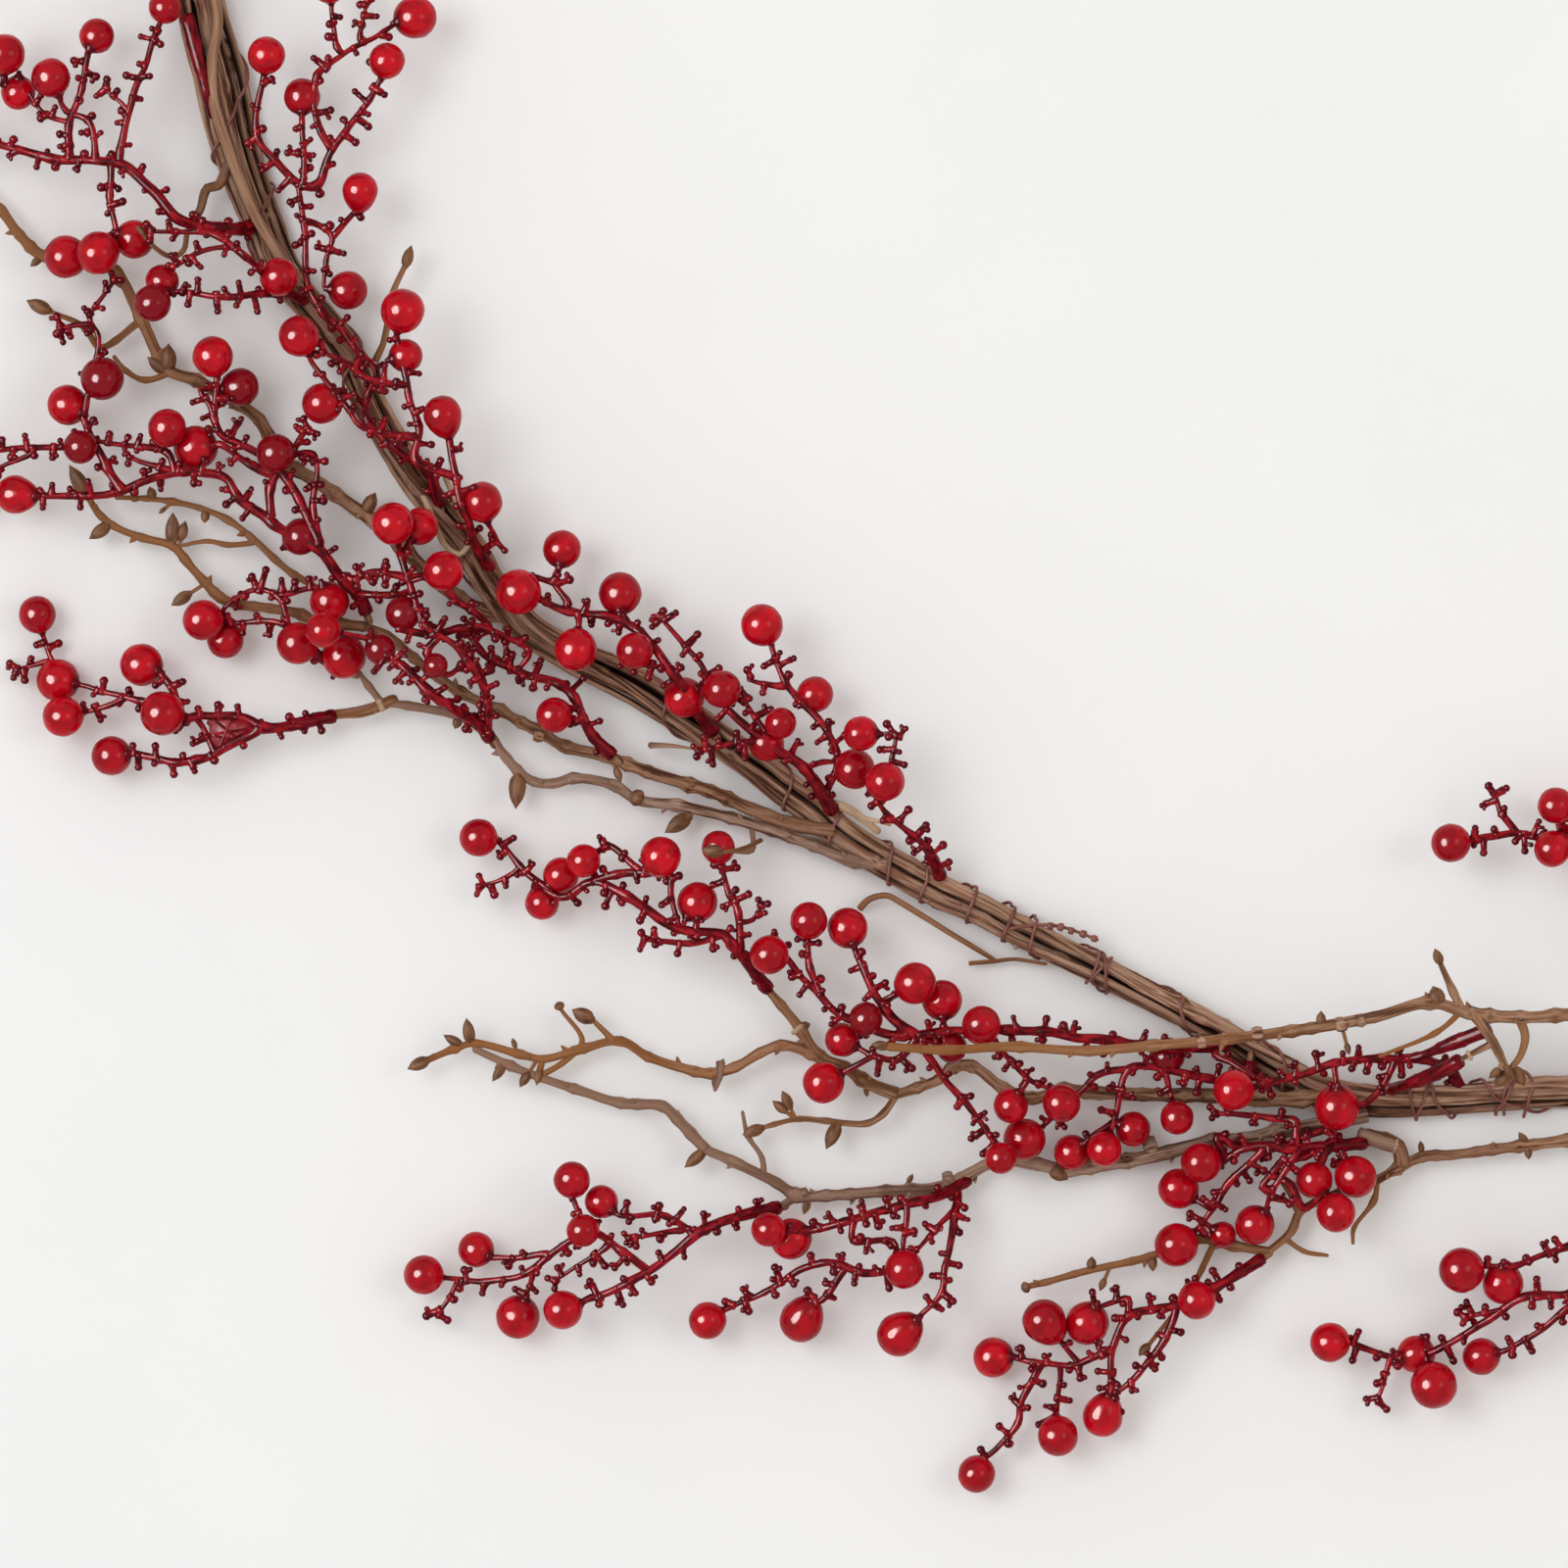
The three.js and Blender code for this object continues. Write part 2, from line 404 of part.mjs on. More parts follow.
      [0.9, 40, -23.5, 36.2, -16.1, 32.5, -12.9, 26.1, -7.6, 21.4, -2.5],
      [0.7, 25.5, -4, 27.2, 6.1, 28.3, 12.5],
    ],
    "nubs": [
      31.5, -6.5, 36, -10.5, 33, -17.5, 40.5, -15.5, 42, -20, 26, 15.2, 30.8, 14, 24.3, 8.7, 30.5, 4.9,
    ],
    "berries": [
      25.6, 0.6, 5, 19.5, 12.8, 4.5,
    ],
  },
  "spray_m": {
    "root": [-4.2, -52.4, 8], "level": 20, "tip": 9,
    "stems": [
      [1.3, -4.2, -52.4, -10.4, -44.2, -13.5, -40.5, -15.1, -38.3, -24.7, -37.2, -32.1, -34, -40, -28.3,
        -49.1, -25.1, -56.5, -28.8, -60.7, -26.7],
      [1.0, -26.2, -36.2, -28.4, -28.8, -28.9, -23, -35.2, -22.4, -42.8, -23, -49.1, -25.1],
      [0.9, -36, -22.4, -44.9, -15.6],
      [0.9, -59, -27.5, -67.6, -20.9, -71.3, -16.1, -75, -14],
      [0.7, -67.6, -21.4, -71.3, -24, -77.5, -26],
      [0.9, -15.1, -38.3, -24.1, -40.4, -35.2, -39.4],
      [1.0, -11.4, -42, -11.4, -33, -13.5, -28.3, -16.2, -19.8],
      [0.7, -11.4, -35, -7.7, -34.5, -5.8, -30.8],
    ],
    "nubs": [
      -69, -13.8, -45.5, -31, -41, -25.7, -52.5, -30.3, -36.5, -34.7, -31, -30.7, -36.5, -42, -33, -37,
      -27, -43, -18, -41.8, -12, -21.3, -18, -25.6, -15.5, -31.2, -9, -28, -77.8, -23.5, -74, -28.3,
      -40.5, -17.5, -35, -19.5, -64, -27.2, -7.5, -50.5, -64, -20.5, -22, -34, -49, -21.5, -47, -13.5,
    ],
    "berries": [
      -77.9, -13.7, 4.9, -56.8, -23.2, 4.6, -51, -19.6, 4.3, -61.7, -30.3, 4.4, -31.3, -18.5, 5.2,
      -22, -30, 5.2, -16.7, -16.1, 4.3,
    ],
  },
  "spray_n": {
    "root": [113, -66, 9], "level": 21, "tip": 18,
    "stems": [
      [1.4, 113, -66, 106.1, -67, 85, -65.5, 66, -63, 57, -62.5, 34, -64],
      [1.2, 34, -64, 26.1, -58, 20.3, -47.4, 17, -39],
      [1.1, 31, -64, 16.1, -59.6, 7.6, -52.2, -3, -41.1],
      [0.9, 9.7, -54, 6.6, -46.9, 6, -39],
      [1.0, 34, -64, 28.8, -70, 23, -69],
      [1.0, 35.1, -66, 39.4, -73.3, 47, -82, 54, -92],
      [0.8, 52, -63, 62, -75, 68.5, -78],
    ],
    "nubs": [
      -2.5, -37.5, 8.7, -40.5, 3.5, -39.5, 25.8, -50.5, 20.5, -54.6, 28, -53.5, 36.5, -60.5, 23.8, -73.8,
      32.5, -72.2, 58.3, -59.3, 66.7, -59.7, 74, -60.7, 81, -68.5, 92, -63, 98, -69.5, 44, -82, 51, -83.5,
      47.5, -90, 63, -72.5, 56, -72.5, 12, -61, 4, -53.5, 1, -41, 17, -47.5, 46, -61, 41, -67.5,
      50.5, -94,
    ],
    "berries": [
      6.3, -34.7, 4.8, 16.2, -36.6, 5.2, -3.7, -43.4, 5, 14.8, -65.1, 4.4, 20.8, -59.6, 4.3, 10, -76, 5.3,
      33.3, -50.6, 5.4, 40.2, -55, 5.2, 50.1, -61.2, 5, 42.6, -67, 4, 70.4, -81, 4.9, 57.7, -81.8, 4.5,
      55, -95, 4,
    ],
  },
  "spray_o": {
    "root": [119, -71, 9], "level": 14, "tip": 12,
    "stems": [
      [1.1, 119, -71, 117.5, -76, 108, -75, 97, -73, 88, -72.5, 84, -86],
      [0.9, 88, -72.5, 80, -74, 74, -80, 65, -88],
      [0.8, 97, -73, 98.5, -79],
      [0.8, 84, -86, 76, -92],
    ],
    "nubs": [
      105, -78.5, 111, -72, 92, -69.5, 83, -77.5, 89, -80, 78, -74, 71.5, -87.5, 70, -79, 80.8, -83,
    ],
    "berries": [
      61.2, -90.5, 5.4, 73.4, -94, 4.6, 81.5, -93, 4.5, 89, -88, 4.5, 100, -85, 4.3, 97.7, -69.2, 4.6,
    ],
  },
  "spray_p": {
    "root": [-1.4, -108.2, 8], "level": 18, "tip": 8,
    "stems": [
      [1.3, -1.4, -108.2, -10.4, -109.8, -20, -113, -28.3, -119.6, -39.4, -126.8, -49, -131],
      [1.0, -34.6, -123.6, -41, -118.9, -49, -114.1, -60.1, -120.4, -64.9, -124.4, -76.1, -126.8,
        -87.2, -126],
      [0.8, -83.3, -127, -88, -134.8],
      [0.7, -45, -117.5, -58.2, -126.4],
      [0.9, -60.1, -120, -74, -120.9],
      [0.8, -64, -124, -65.7, -131],
      [0.9, -23, -114.5, -29.9, -110.1, -42, -109.7],
      [0.8, -26, -113.5, -39.4, -115.5],
      [0.8, -49, -114.1, -54, -105],
    ],
    "nubs": [
      -31.8, -107.2, -25.5, -108, -20.5, -109.3, -37.8, -129.5, -43, -123, -41, -132.4, -49.4, -126.5,
      -76.9, -130, -40, -106.5, -45.5, -122.5, -86, -137, -91.3, -135.8, -37.5, -117.5, -12, -113,
      -68.5, -128.8, -55, -119.5, -81.5, -124, -7, -106.5,
    ],
    "berries": [
      -53.9, -100.6, 4.7, -46.5, -106.3, 4.3, -51.1, -113.5, 4.2, -78.6, -118.8, 4.6, -91.9, -125.2, 5.1,
      -67.9, -136, 5.6, -56.3, -133.8, 5,
    ],
  },
  "spray_q": {
    "root": [47, -101, 7], "level": 17, "tip": 8,
    "stems": [
      [1.2, 47, -101, 42, -104, 34, -106, 26.1, -108.3, 15.6, -111.4, 5, -114.1],
      [0.9, 17.7, -111, 17.7, -116.2, 27.7, -116.2],
      [0.9, 30.9, -107, 30.4, -118.3],
      [1.0, 44.2, -104.6, 43.7, -109.8, 41, -122.8, 39.9, -129.7, 33, -137],
      [0.8, 43.5, -108.8, 34, -118.3],
      [1.0, 30.6, -122, 20.3, -124.4, 9.7, -121.7, -5.1, -129.7, -16, -134.5],
      [0.9, 15.6, -123.3, 9.7, -131.3, 6, -134],
    ],
    "nubs": [
      19.8, -106.2, 26, -105.5, 11.3, -109.3, 24, -112.5, 20.8, -119, 27.5, -113, -2.2, -123.3,
      12.8, -131, 17.9, -127, 6, -129, 26.7, -128.3, 36.3, -130.5, 46.8, -110.9, 39, -112.8, 44.5, -122.5,
      37.7, -125.2, -9, -134.5, -10.5, -128.8, 36, -112, 15, -119.8, 43, -131.5, 2.5, -127.5,
    ],
    "berries": [
      -4, -113.3, 4.4, 1.8, -116, 5.3, -19.5, -136.9, 4.8, 4.4, -136.9, 5.6, 30.6, -123.4, 5,
      29.2, -140.3, 5.6,
    ],
  },
  "spray_r": {
    "root": [173, -78.5, 7], "level": 20, "tip": 19,
    "stems": [
      [1.2, 173, -78.5, 170, -73, 162.5, -70.1, 151.9, -69.6, 139.7, -71.2, 128.1, -74.4, 117, -77.5],
      [0.8, 139.7, -71.2, 140.7, -80],
    ],
    "nubs": [
      135, -68.5, 130, -71, 146, -67, 124, -79, 148, -73, 156.5, -67.5, 157, -74,
    ],
    "berries": [
      114.1, -77.8, 5.2, 140.7, -82.3, 5.8,
    ],
  },
  "spray_s": {
    "root": [148.2, -91.6, 9], "level": 17, "tip": 12,
    "stems": [
      [1.3, 148.2, -91.6, 141.3, -92.2, 128, -92.7, 117.5, -92.9, 109, -97],
      [1.0, 122, -93, 113, -102, 106, -113],
      [1.0, 141.3, -92.2, 143.5, -98],
      [1.0, 139, -92.2, 135.5, -101, 139, -106],
      [0.9, 131, -93, 124, -104, 121, -111],
    ],
    "nubs": [
      116, -89.5, 106.8, -105.5, 112.5, -108.5, 126, -96.5, 133, -89.5, 122, -98.5, 130.5, -98.5,
      118.5, -101, 125.5, -89.8, 103.5, -109.5, 111, -93.5, 127.5, -106,
    ],
    "berries": [
      145.5, -100, 5.4, 135, -100.8, 4.7, 140.3, -109, 5, 120, -112.4, 5.1, 106.1, -96.3, 5.2,
      100.6, -103.2, 5.2, 99.9, -117.4, 5.6, 112, -115, 3.4,
    ],
  },
  "spray_t": {
    "root": [122.2, -121, 8], "level": 14, "tip": 7,
    "stems": [
      [1.2, 122.2, -121, 116.7, -124.4, 109.3, -128.6, 100.3, -132.8, 87.6, -135.5, 83.9, -142.9,
        83.1, -155],
      [0.9, 87.6, -135.5, 87.6, -131.5, 79.5, -133],
      [1.0, 83.6, -144, 73.9, -147.9, 63.3, -147.4, 56, -146.3],
      [1.0, 65.1, -148, 60.4, -158.2, 59.6, -163.5, 51, -172],
      [0.8, 70.4, -148.4, 69.6, -162],
      [1.0, 99.8, -133.4, 97.1, -140.8, 90.3, -150.3, 83.1, -156],
      [0.9, 75, -147.8, 68, -139],
    ],
    "nubs": [
      60.4, -143.9, 75.5, -151.4, 58, -156.7, 65, -163.5, 66, -153, 66.7, -158.7, 72.9, -157.3,
      78.6, -129.5, 84.5, -128.3, 80, -149.5, 80.5, -154, 86, -160, 101, -139.5, 92.5, -145, 94.5, -149,
      109.3, -124.1, 104.8, -126, 55, -164, 111, -131.5, 93, -130.5, 87, -141.5, 79.5, -142,
    ],
    "berries": [
      105, -131.4, 4.9, 77.3, -137.5, 5.6, 66.2, -136.8, 5.6, 53.5, -146.5, 5.2, 69.8, -166.2, 5.2,
      81.3, -161.4, 5.2, 49.1, -176.1, 4.8,
    ],
  },
  "spray_u": {
    "root": [230, -77.5, 10], "level": 18, "tip": 9,
    "stems": [
      [1.3, 230, -77.5, 229, -91, 221, -106, 211, -120, 200, -129.4, 188.4, -130.7, 178.3, -137.1,
        167.2, -144, 156.7, -146.6],
      [1.0, 211, -120, 200, -117.5, 186.3, -122.8, 174, -123.3],
      [0.9, 204, -127, 198.5, -134.4, 183.1, -144.5],
      [0.8, 184, -133.4, 173.6, -136],
      [0.9, 158, -146.6, 146.6, -143.4, 141, -142],
      [0.8, 155, -146, 151.6, -157],
    ],
    "nubs": [
      146.6, -139.7, 145, -147, 170.7, -147.1, 184.4, -141.2, 190.5, -144.4, 195, -133, 191.6, -126,
      196.3, -121, 192.9, -117, 205, -113.5, 174, -132, 148.6, -157, 153.8, -159.5, 214, -126,
      219, -103.5, 228, -104, 206, -133, 224.5, -95, 154, -150.5, 164, -141,
    ],
    "berries": [
      172.3, -123.6, 5.8, 183.1, -127.2, 5.3, 139.2, -142.4, 5.1, 161.5, -145.6, 4.9, 165.5, -153.2, 6,
      177.8, -146, 4.8, 206, -139, 5.2, 213, -133, 5,
    ],
  },
  "spray_v": {
    "root": [256, -73, 9], "level": 18, "tip": 16,
    "stems": [
      [1.3, 256, -73, 246, -58, 232, -43, 215, -27, 200, -17.7, 190, -12.9, 174.6, -14.2],
      [0.9, 187, -13.2, 182.6, -7.6, 181, -3],
      [0.9, 222, -33, 216, -18, 204, -8],
      [0.8, 232, -43, 234, -30, 228, -22],
    ],
    "nubs": [
      179.3, -0.5, 183.8, -1, 177.7, -5.5, 176, -11.2, 178, -17.5, 192, -9.5, 207, -25.5, 211, -19,
      220.5, -38, 227, -33, 238, -54, 243.5, -49.5, 188.5, -17, 212, -11.5, 236.5, -34.5,
    ],
    "berries": [
      169.5, -15, 5, 196.3, -5.5, 4.7, 195.3, -16.5, 4.7, 201.6, -9.7, 5, 226, -17, 5.2, 237, -24, 5,
    ],
  },
};

// Past the stretch drawn above, the same moulded sprays and a twig repeat along the vine.
// Each repeat has its form, its root on the vine, the side it grows on and its level.
const REPEATS = [
  ["spray_k", -153, 236, 1, 18], ["spray_h", -155, 278, -1, 23], ["spray_j", -151, 320, 1, 18],
  ["spray_k", -143, 371, -1, 18], ["spray_j", -136, 398, 1, 20],
  ["spray_h", 310, -64, 1, 23], ["spray_k", 345, -53, -1, 18], ["spray_j", 385, -37, 1, 27],
  ["spray_k", 432, -12, -1, 22], ["spray_h", 474, 20, 1, 18],
];
const TWIG_REPEATS = [
  ["twig_long_lower", -148, 345, -1, 7], ["twig_long_lower", 345, -54, 1, 7],
  ["twig_long_lower", 474, 20, -1, 7],
];
const FORM_ANGLE = { "spray_h": 148, "spray_j": 146, "spray_k": 146, "twig_long_lower": 150 };

const MATERIALS = {
  vine: new THREE.MeshStandardMaterial({ color: 0x6b5745, roughness: 0.8, metalness: 0 }),
  wire: new THREE.MeshStandardMaterial({ color: 0x6e463c, roughness: 0.45, metalness: 0.3 }),
  twig: new THREE.MeshStandardMaterial({ color: 0x76583c, roughness: 0.75, metalness: 0 }),
  red: new THREE.MeshStandardMaterial({ color: 0xbe0a1e, roughness: 0.2, metalness: 0 }),
};

const garland = new THREE.Group();
const laid = []; // what is already in place, each a little fatter than it is

function smooth(t) {
  const clamped = Math.min(1, Math.max(0, t));
  return clamped * clamped * (3 - 2 * clamped);
}

function mix(a, b, t) {
  return a + (b - a) * t;
}

// A closed three.js geometry as a solid that can be joined and cut
function toSolid(geometry) {
  geometry.deleteAttribute('normal');
  geometry.deleteAttribute('uv');
  const merged = mergeVertices(geometry, 1e-5);
  return new wasm.Manifold(new wasm.Mesh({
    numProp: 3,
    vertProperties: new Float32Array(merged.attributes.position.array),
    triVerts: new Uint32Array(merged.index.array),
  }));
}

function toGeometry(solid) {
  const mesh = solid.getMesh();
  const geometry = new THREE.BufferGeometry();
  const places = new Float32Array((mesh.vertProperties.length / mesh.numProp) * 3);
  for (let i = 0; i < places.length / 3; i += 1) {
    for (let axis = 0; axis < 3; axis += 1) {
      places[i * 3 + axis] = mesh.vertProperties[i * mesh.numProp + axis];
    }
  }
  geometry.setAttribute('position', new THREE.BufferAttribute(places, 3));
  geometry.setIndex(new THREE.BufferAttribute(new Uint32Array(mesh.triVerts), 1));
  geometry.computeVertexNormals();
  return geometry;
}

// A cylinder bent so that its rings go through the points, with a radius at each of them
function bentTube(points, radii, sides) {
  const rings = points.length - 1;
  const geometry = new THREE.CylinderGeometry(1, 1, 1, sides, rings);
  const place = geometry.attributes.position;
  const frames = points.map((point, i) => {
    const before = points[Math.max(0, i - 1)];
    const after = points[Math.min(rings, i + 1)];
    const along = after.clone().sub(before).normalize();
    const up = Math.abs(along.z) > 0.95 ? new THREE.Vector3(1, 0, 0) : new THREE.Vector3(0, 0, 1);
    const side = along.clone().cross(up).normalize();
    return { side, rise: side.clone().cross(along) };
  });
  for (let i = 0; i < place.count; i += 1) {
    const ring = Math.round((place.getY(i) + 0.5) * rings);
    const across = frames[ring].side.clone().multiplyScalar(place.getX(i) * radii[ring]);
    across.addScaledVector(frames[ring].rise, place.getZ(i) * radii[ring]).add(points[ring]);
    place.setXYZ(i, across.x, across.y, across.z);
  }
  return toSolid(geometry);
}

// A bud or a nub: a long eight-sided crystal from its base to its point, widest at the given share of it
function bud(base, point, radius, share) {
  const geometry = new THREE.OctahedronGeometry(1);
  const place = geometry.attributes.position;
  const along = point.clone().sub(base);
  const steep = Math.abs(along.z) > along.length() * 0.9;
  const helper = steep ? new THREE.Vector3(1, 0, 0) : new THREE.Vector3(0, 0, 1);
  const side = along.clone().cross(helper).normalize();
  const rise = side.clone().cross(along).normalize();
  for (let i = 0; i < place.count; i += 1) {
    const reach = place.getY(i);
    const t = reach > 0.5 ? 1 : reach < -0.5 ? 0 : share;
    const spot = base.clone().addScaledVector(along, t);
    spot.addScaledVector(side, place.getX(i) * radius).addScaledVector(rise, place.getZ(i) * radius);
    place.setXYZ(i, spot.x, spot.y, spot.z);
  }
  return toSolid(geometry);
}

// A nub: a three-sided wedge from its foot in the stem to its wide head
function nub(foot, head, radius) {
  const geometry = new THREE.CylinderGeometry(radius, radius * 0.3, 1, 3, 1);
  const place = geometry.attributes.position;
  const along = head.clone().sub(foot);
  const side = along.clone().cross(new THREE.Vector3(0, 0, 1)).normalize();
  const rise = side.clone().cross(along).normalize();
  for (let i = 0; i < place.count; i += 1) {
    const spot = foot.clone().addScaledVector(along, place.getY(i) + 0.5);
    spot.addScaledVector(side, place.getX(i)).addScaledVector(rise, place.getZ(i));
    place.setXYZ(i, spot.x, spot.y, spot.z);
  }
  return toSolid(geometry);
}

function berry(centre, radius) {
  const geometry = new THREE.IcosahedronGeometry(radius * BERRY_SWELL);
  geometry.translate(centre.x, centre.y, centre.z);
  return toSolid(geometry);
}

// The solid that lies below the surface, which is cut from every piece
const below = (() => {
  const slab = new THREE.BoxGeometry(3000, 3000, 100);
  slab.translate(0, 0, -50);
  return toSolid(slab);
})();

function largest(solid) {
  const bodies = solid.decompose();
  return bodies.reduce((best, body) => (body.volume() > best.volume() ? body : best));
}

function nearBox(a, b) {
  for (let axis = 0; axis < 3; axis += 1) {
    if (a.min[axis] > b.max[axis] || b.min[axis] > a.max[axis]) {
      return false;
    }
  }
  return true;
}

// Lays a piece clear of what is already there. shape(extra) draws it with every radius so much larger.
function lay(name, material, shape) {
  let solid = shape(0).subtract(below);
  const box = solid.boundingBox();
  const others = laid.filter((piece) => nearBox(piece.box, box));
  for (const other of others) {
    solid = solid.subtract(other.solid);
  }
  solid = largest(solid);
  const sleeve = shape(GAP);
  laid.push({ solid: sleeve, box: sleeve.boundingBox() });
  const mesh = new THREE.Mesh(toGeometry(solid), material);
  mesh.name = name;
  garland.add(mesh);
}

// The vine's centre line and its twisted strands
const vineCurve = new THREE.CatmullRomCurve3(
  VINE.map(([x, y]) => new THREE.Vector3(x, y, 0)), false, 'centripetal');
vineCurve.arcLengthDivisions = 2400;
const VINE_LENGTH = vineCurve.getLength();

// How far along the vine the spot nearest to x, y lies
function alongVine(x, y) {
  const spot = new THREE.Vector3(x, y, 0);
  const trials = 2400;
  let best = 0;
  let least = Infinity;
  for (let i = 0; i <= trials; i += 1) {
    const away = vineCurve.getPointAt(i / trials).distanceTo(spot);
    if (away < least) {
      least = away;
      best = (i / trials) * VINE_LENGTH;
    }
  }
  return best;
}

const ORIGIN_AT = alongVine(0, 0);
const UPPER_LOOSE_AT = alongVine(...UPPER_LOOSE);

function vineHeight(at) {
  return VINE_HEIGHT - DIP * Math.exp(-(((at - ORIGIN_AT) / DIP_WIDTH) ** 2));
}

// A point beside the vine's centre line, at an angle round it that is 0 to the side and 90 degrees on top
function besideVine(at, angle, distance, height) {
  const t = Math.min(1, Math.max(0, at / VINE_LENGTH));
  const point = vineCurve.getPointAt(t);
  const tangent = vineCurve.getTangentAt(t);
  const side = new THREE.Vector3(-tangent.y, tangent.x, 0).normalize();
  point.addScaledVector(side, Math.cos(angle) * distance);
  point.z = height + Math.sin(angle) * distance;
  return point;
}

function strandSpread(at) {
  const ends = smooth(1 - at / 60) + smooth((at - VINE_LENGTH + 60) / 60);
  const loose = Math.exp(-(((at - UPPER_LOOSE_AT) / 26) ** 2));
  return TWIST_RADIUS + LOOSE * 0.45 * loose + LOOSE * ends;
}

function strand(index, extra) {
  const points = [];
  const radii = [];
  const start = index * 9;
  const end = VINE_LENGTH - index * 7;
  const spots = [ORIGIN_AT - 5, ORIGIN_AT, ORIGIN_AT + 5];
  for (let at = start; at < end; at += STRAND_STEP) {
    if (Math.abs(at - ORIGIN_AT) > 10) {
      spots.push(at);
    }
  }
  spots.push(end);
  spots.sort((a, b) => a - b);
  for (const at of spots) {
    const turn = (at - ORIGIN_AT) / TWIST_LENGTH + index / STRANDS;
    const angle = -Math.PI / 2 + turn * Math.PI * 2;
    const point = besideVine(at, angle, strandSpread(at), vineHeight(at));
    point.z = Math.max(point.z, at < 80 || at > VINE_LENGTH - 80 ? STRAND_RADIUS + GAP : 0);
    const taper = 0.45 + 0.55 * smooth(Math.min(at - start, end - at) / 45);
    points.push(point);
    radii.push(STRAND_RADIUS * taper + extra);
  }
  return bentTube(points, radii, 4);
}

for (let i = 0; i < STRANDS; i += 1) {
  lay(`vine_strand_${i + 1}`, MATERIALS.vine, (extra) => strand(i, extra));
}

// The wire that ties the strands winds round them once between two of its crossings
function wire(extra) {
  const crossings = WIRE_TOPS.map(([x, y]) => alongVine(x, y));
  const points = [];
  for (let turn = 0; turn < crossings.length - 1; turn += 1) {
    for (let step = 0; step < WIRE_STEPS; step += 1) {
      const share = step / WIRE_STEPS;
      const at = mix(crossings[turn], crossings[turn + 1], share);
      const distance = WIRE_TURN_RADIUS + strandSpread(at) - TWIST_RADIUS;
      points.push(besideVine(at, Math.PI / 2 + share * Math.PI * 2, distance, VINE_HEIGHT));
    }
  }
  return bentTube(points, points.map(() => WIRE_RADIUS + extra), 3);
}

lay('binding_wire', MATERIALS.wire, wire);

// Height of a twig or spray over the surface at x, y: up from its root, then level, then to its tips
function heightIn(form, x, y) {
  const away = Math.hypot(x - form.root[0], y - form.root[1]);
  const risen = mix(form.root[2], form.level, smooth(away / RISE));
  return mix(risen, form.tip, smooth((away / form.reach - FALL) / (1 - FALL)));
}

// The point of the stems drawn so far that lies nearest to x, y, with its height
function nearestOn(lines, x, y) {
  let best = null;
  let least = Infinity;
  for (const { points } of lines) {
    for (let i = 0; i + 1 < points.length; i += 1) {
      const [ax, ay, az] = points[i];
      const [bx, by, bz] = points[i + 1];
      const square = (bx - ax) ** 2 + (by - ay) ** 2;
      const passed = (x - ax) * (bx - ax) + (y - ay) * (by - ay);
      const t = square === 0 ? 0 : Math.min(1, Math.max(0, passed / square));
      const px = mix(ax, bx, t);
      const py = mix(ay, by, t);
      const away = Math.hypot(x - px, y - py);
      if (away < least) {
        least = away;
        best = [px, py, mix(az, bz, t)];
      }
    }
  }
  return best;
}

function pairs(list, size) {
  const rows = [];
  for (let i = 0; i < list.length; i += size) {
    rows.push(list.slice(i, i + size));
  }
  return rows;
}

// Passes over points that follow closely on another, but keeps the first and the last
function thinned(points) {
  const kept = [points[0]];
  for (const point of points.slice(1, -1)) {
    const last = kept[kept.length - 1];
    if (Math.hypot(point[0] - last[0], point[1] - last[1]) > THIN) {
      kept.push(point);
    }
  }
  kept.push(points[points.length - 1]);
  return kept;
}

// The stems of a form as lists of points, each joined to the stems before it. A stem starts at that joint.
function stemLines(form, fine) {
  const lines = [];
  for (const [radius, ...flat] of form.stems.filter((stem) => stem[0] > fine)) {
    let points = pairs(flat, 2).map(([x, y]) => [x, y, Math.max(heightIn(form, x, y), radius)]);
    if (lines.length > 0) {
      const end = points[points.length - 1];
      const first = nearestOn(lines, points[0][0], points[0][1]);
      const last = nearestOn(lines, end[0], end[1]);
      const firstAway = Math.hypot(first[0] - points[0][0], first[1] - points[0][1]);
      const lastAway = Math.hypot(last[0] - end[0], last[1] - end[1]);
      points = firstAway <= lastAway ? [first, ...points] : [last, ...points.reverse()];
    }
    lines.push({ radius, points: thinned(points) });
  }
  return lines;
}

function reachOf(form) {
  let reach = 1;
  for (const [, ...flat] of form.stems) {
    for (const [x, y] of pairs(flat, 2)) {
      reach = Math.max(reach, Math.hypot(x - form.root[0], y - form.root[1]));
    }
  }
  return reach;
}

function stemSolids(lines, extra) {
  return lines.map(({ radius, points }) => {
    const places = points.map(([x, y, z]) => new THREE.Vector3(x, y, z));
    return bentTube(places, places.map(() => radius + extra), 3);
  });
}

function twig(given, extra) {
  const form = { ...given, reach: reachOf(given) };
  const lines = stemLines(form, 0);
  const solids = stemSolids(lines, extra);
  for (const [bx, by, px, py, width] of pairs(form.buds, 5).filter((row) => row[4] > SMALL_BUD)) {
    const base = new THREE.Vector3(...nearestOn(lines, bx, by));
    const point = new THREE.Vector3(px, py, base.z + width * 0.4);
    solids.push(bud(base, point, width / 2 + extra, 0.42));
  }
  return wasm.Manifold.union(solids);
}

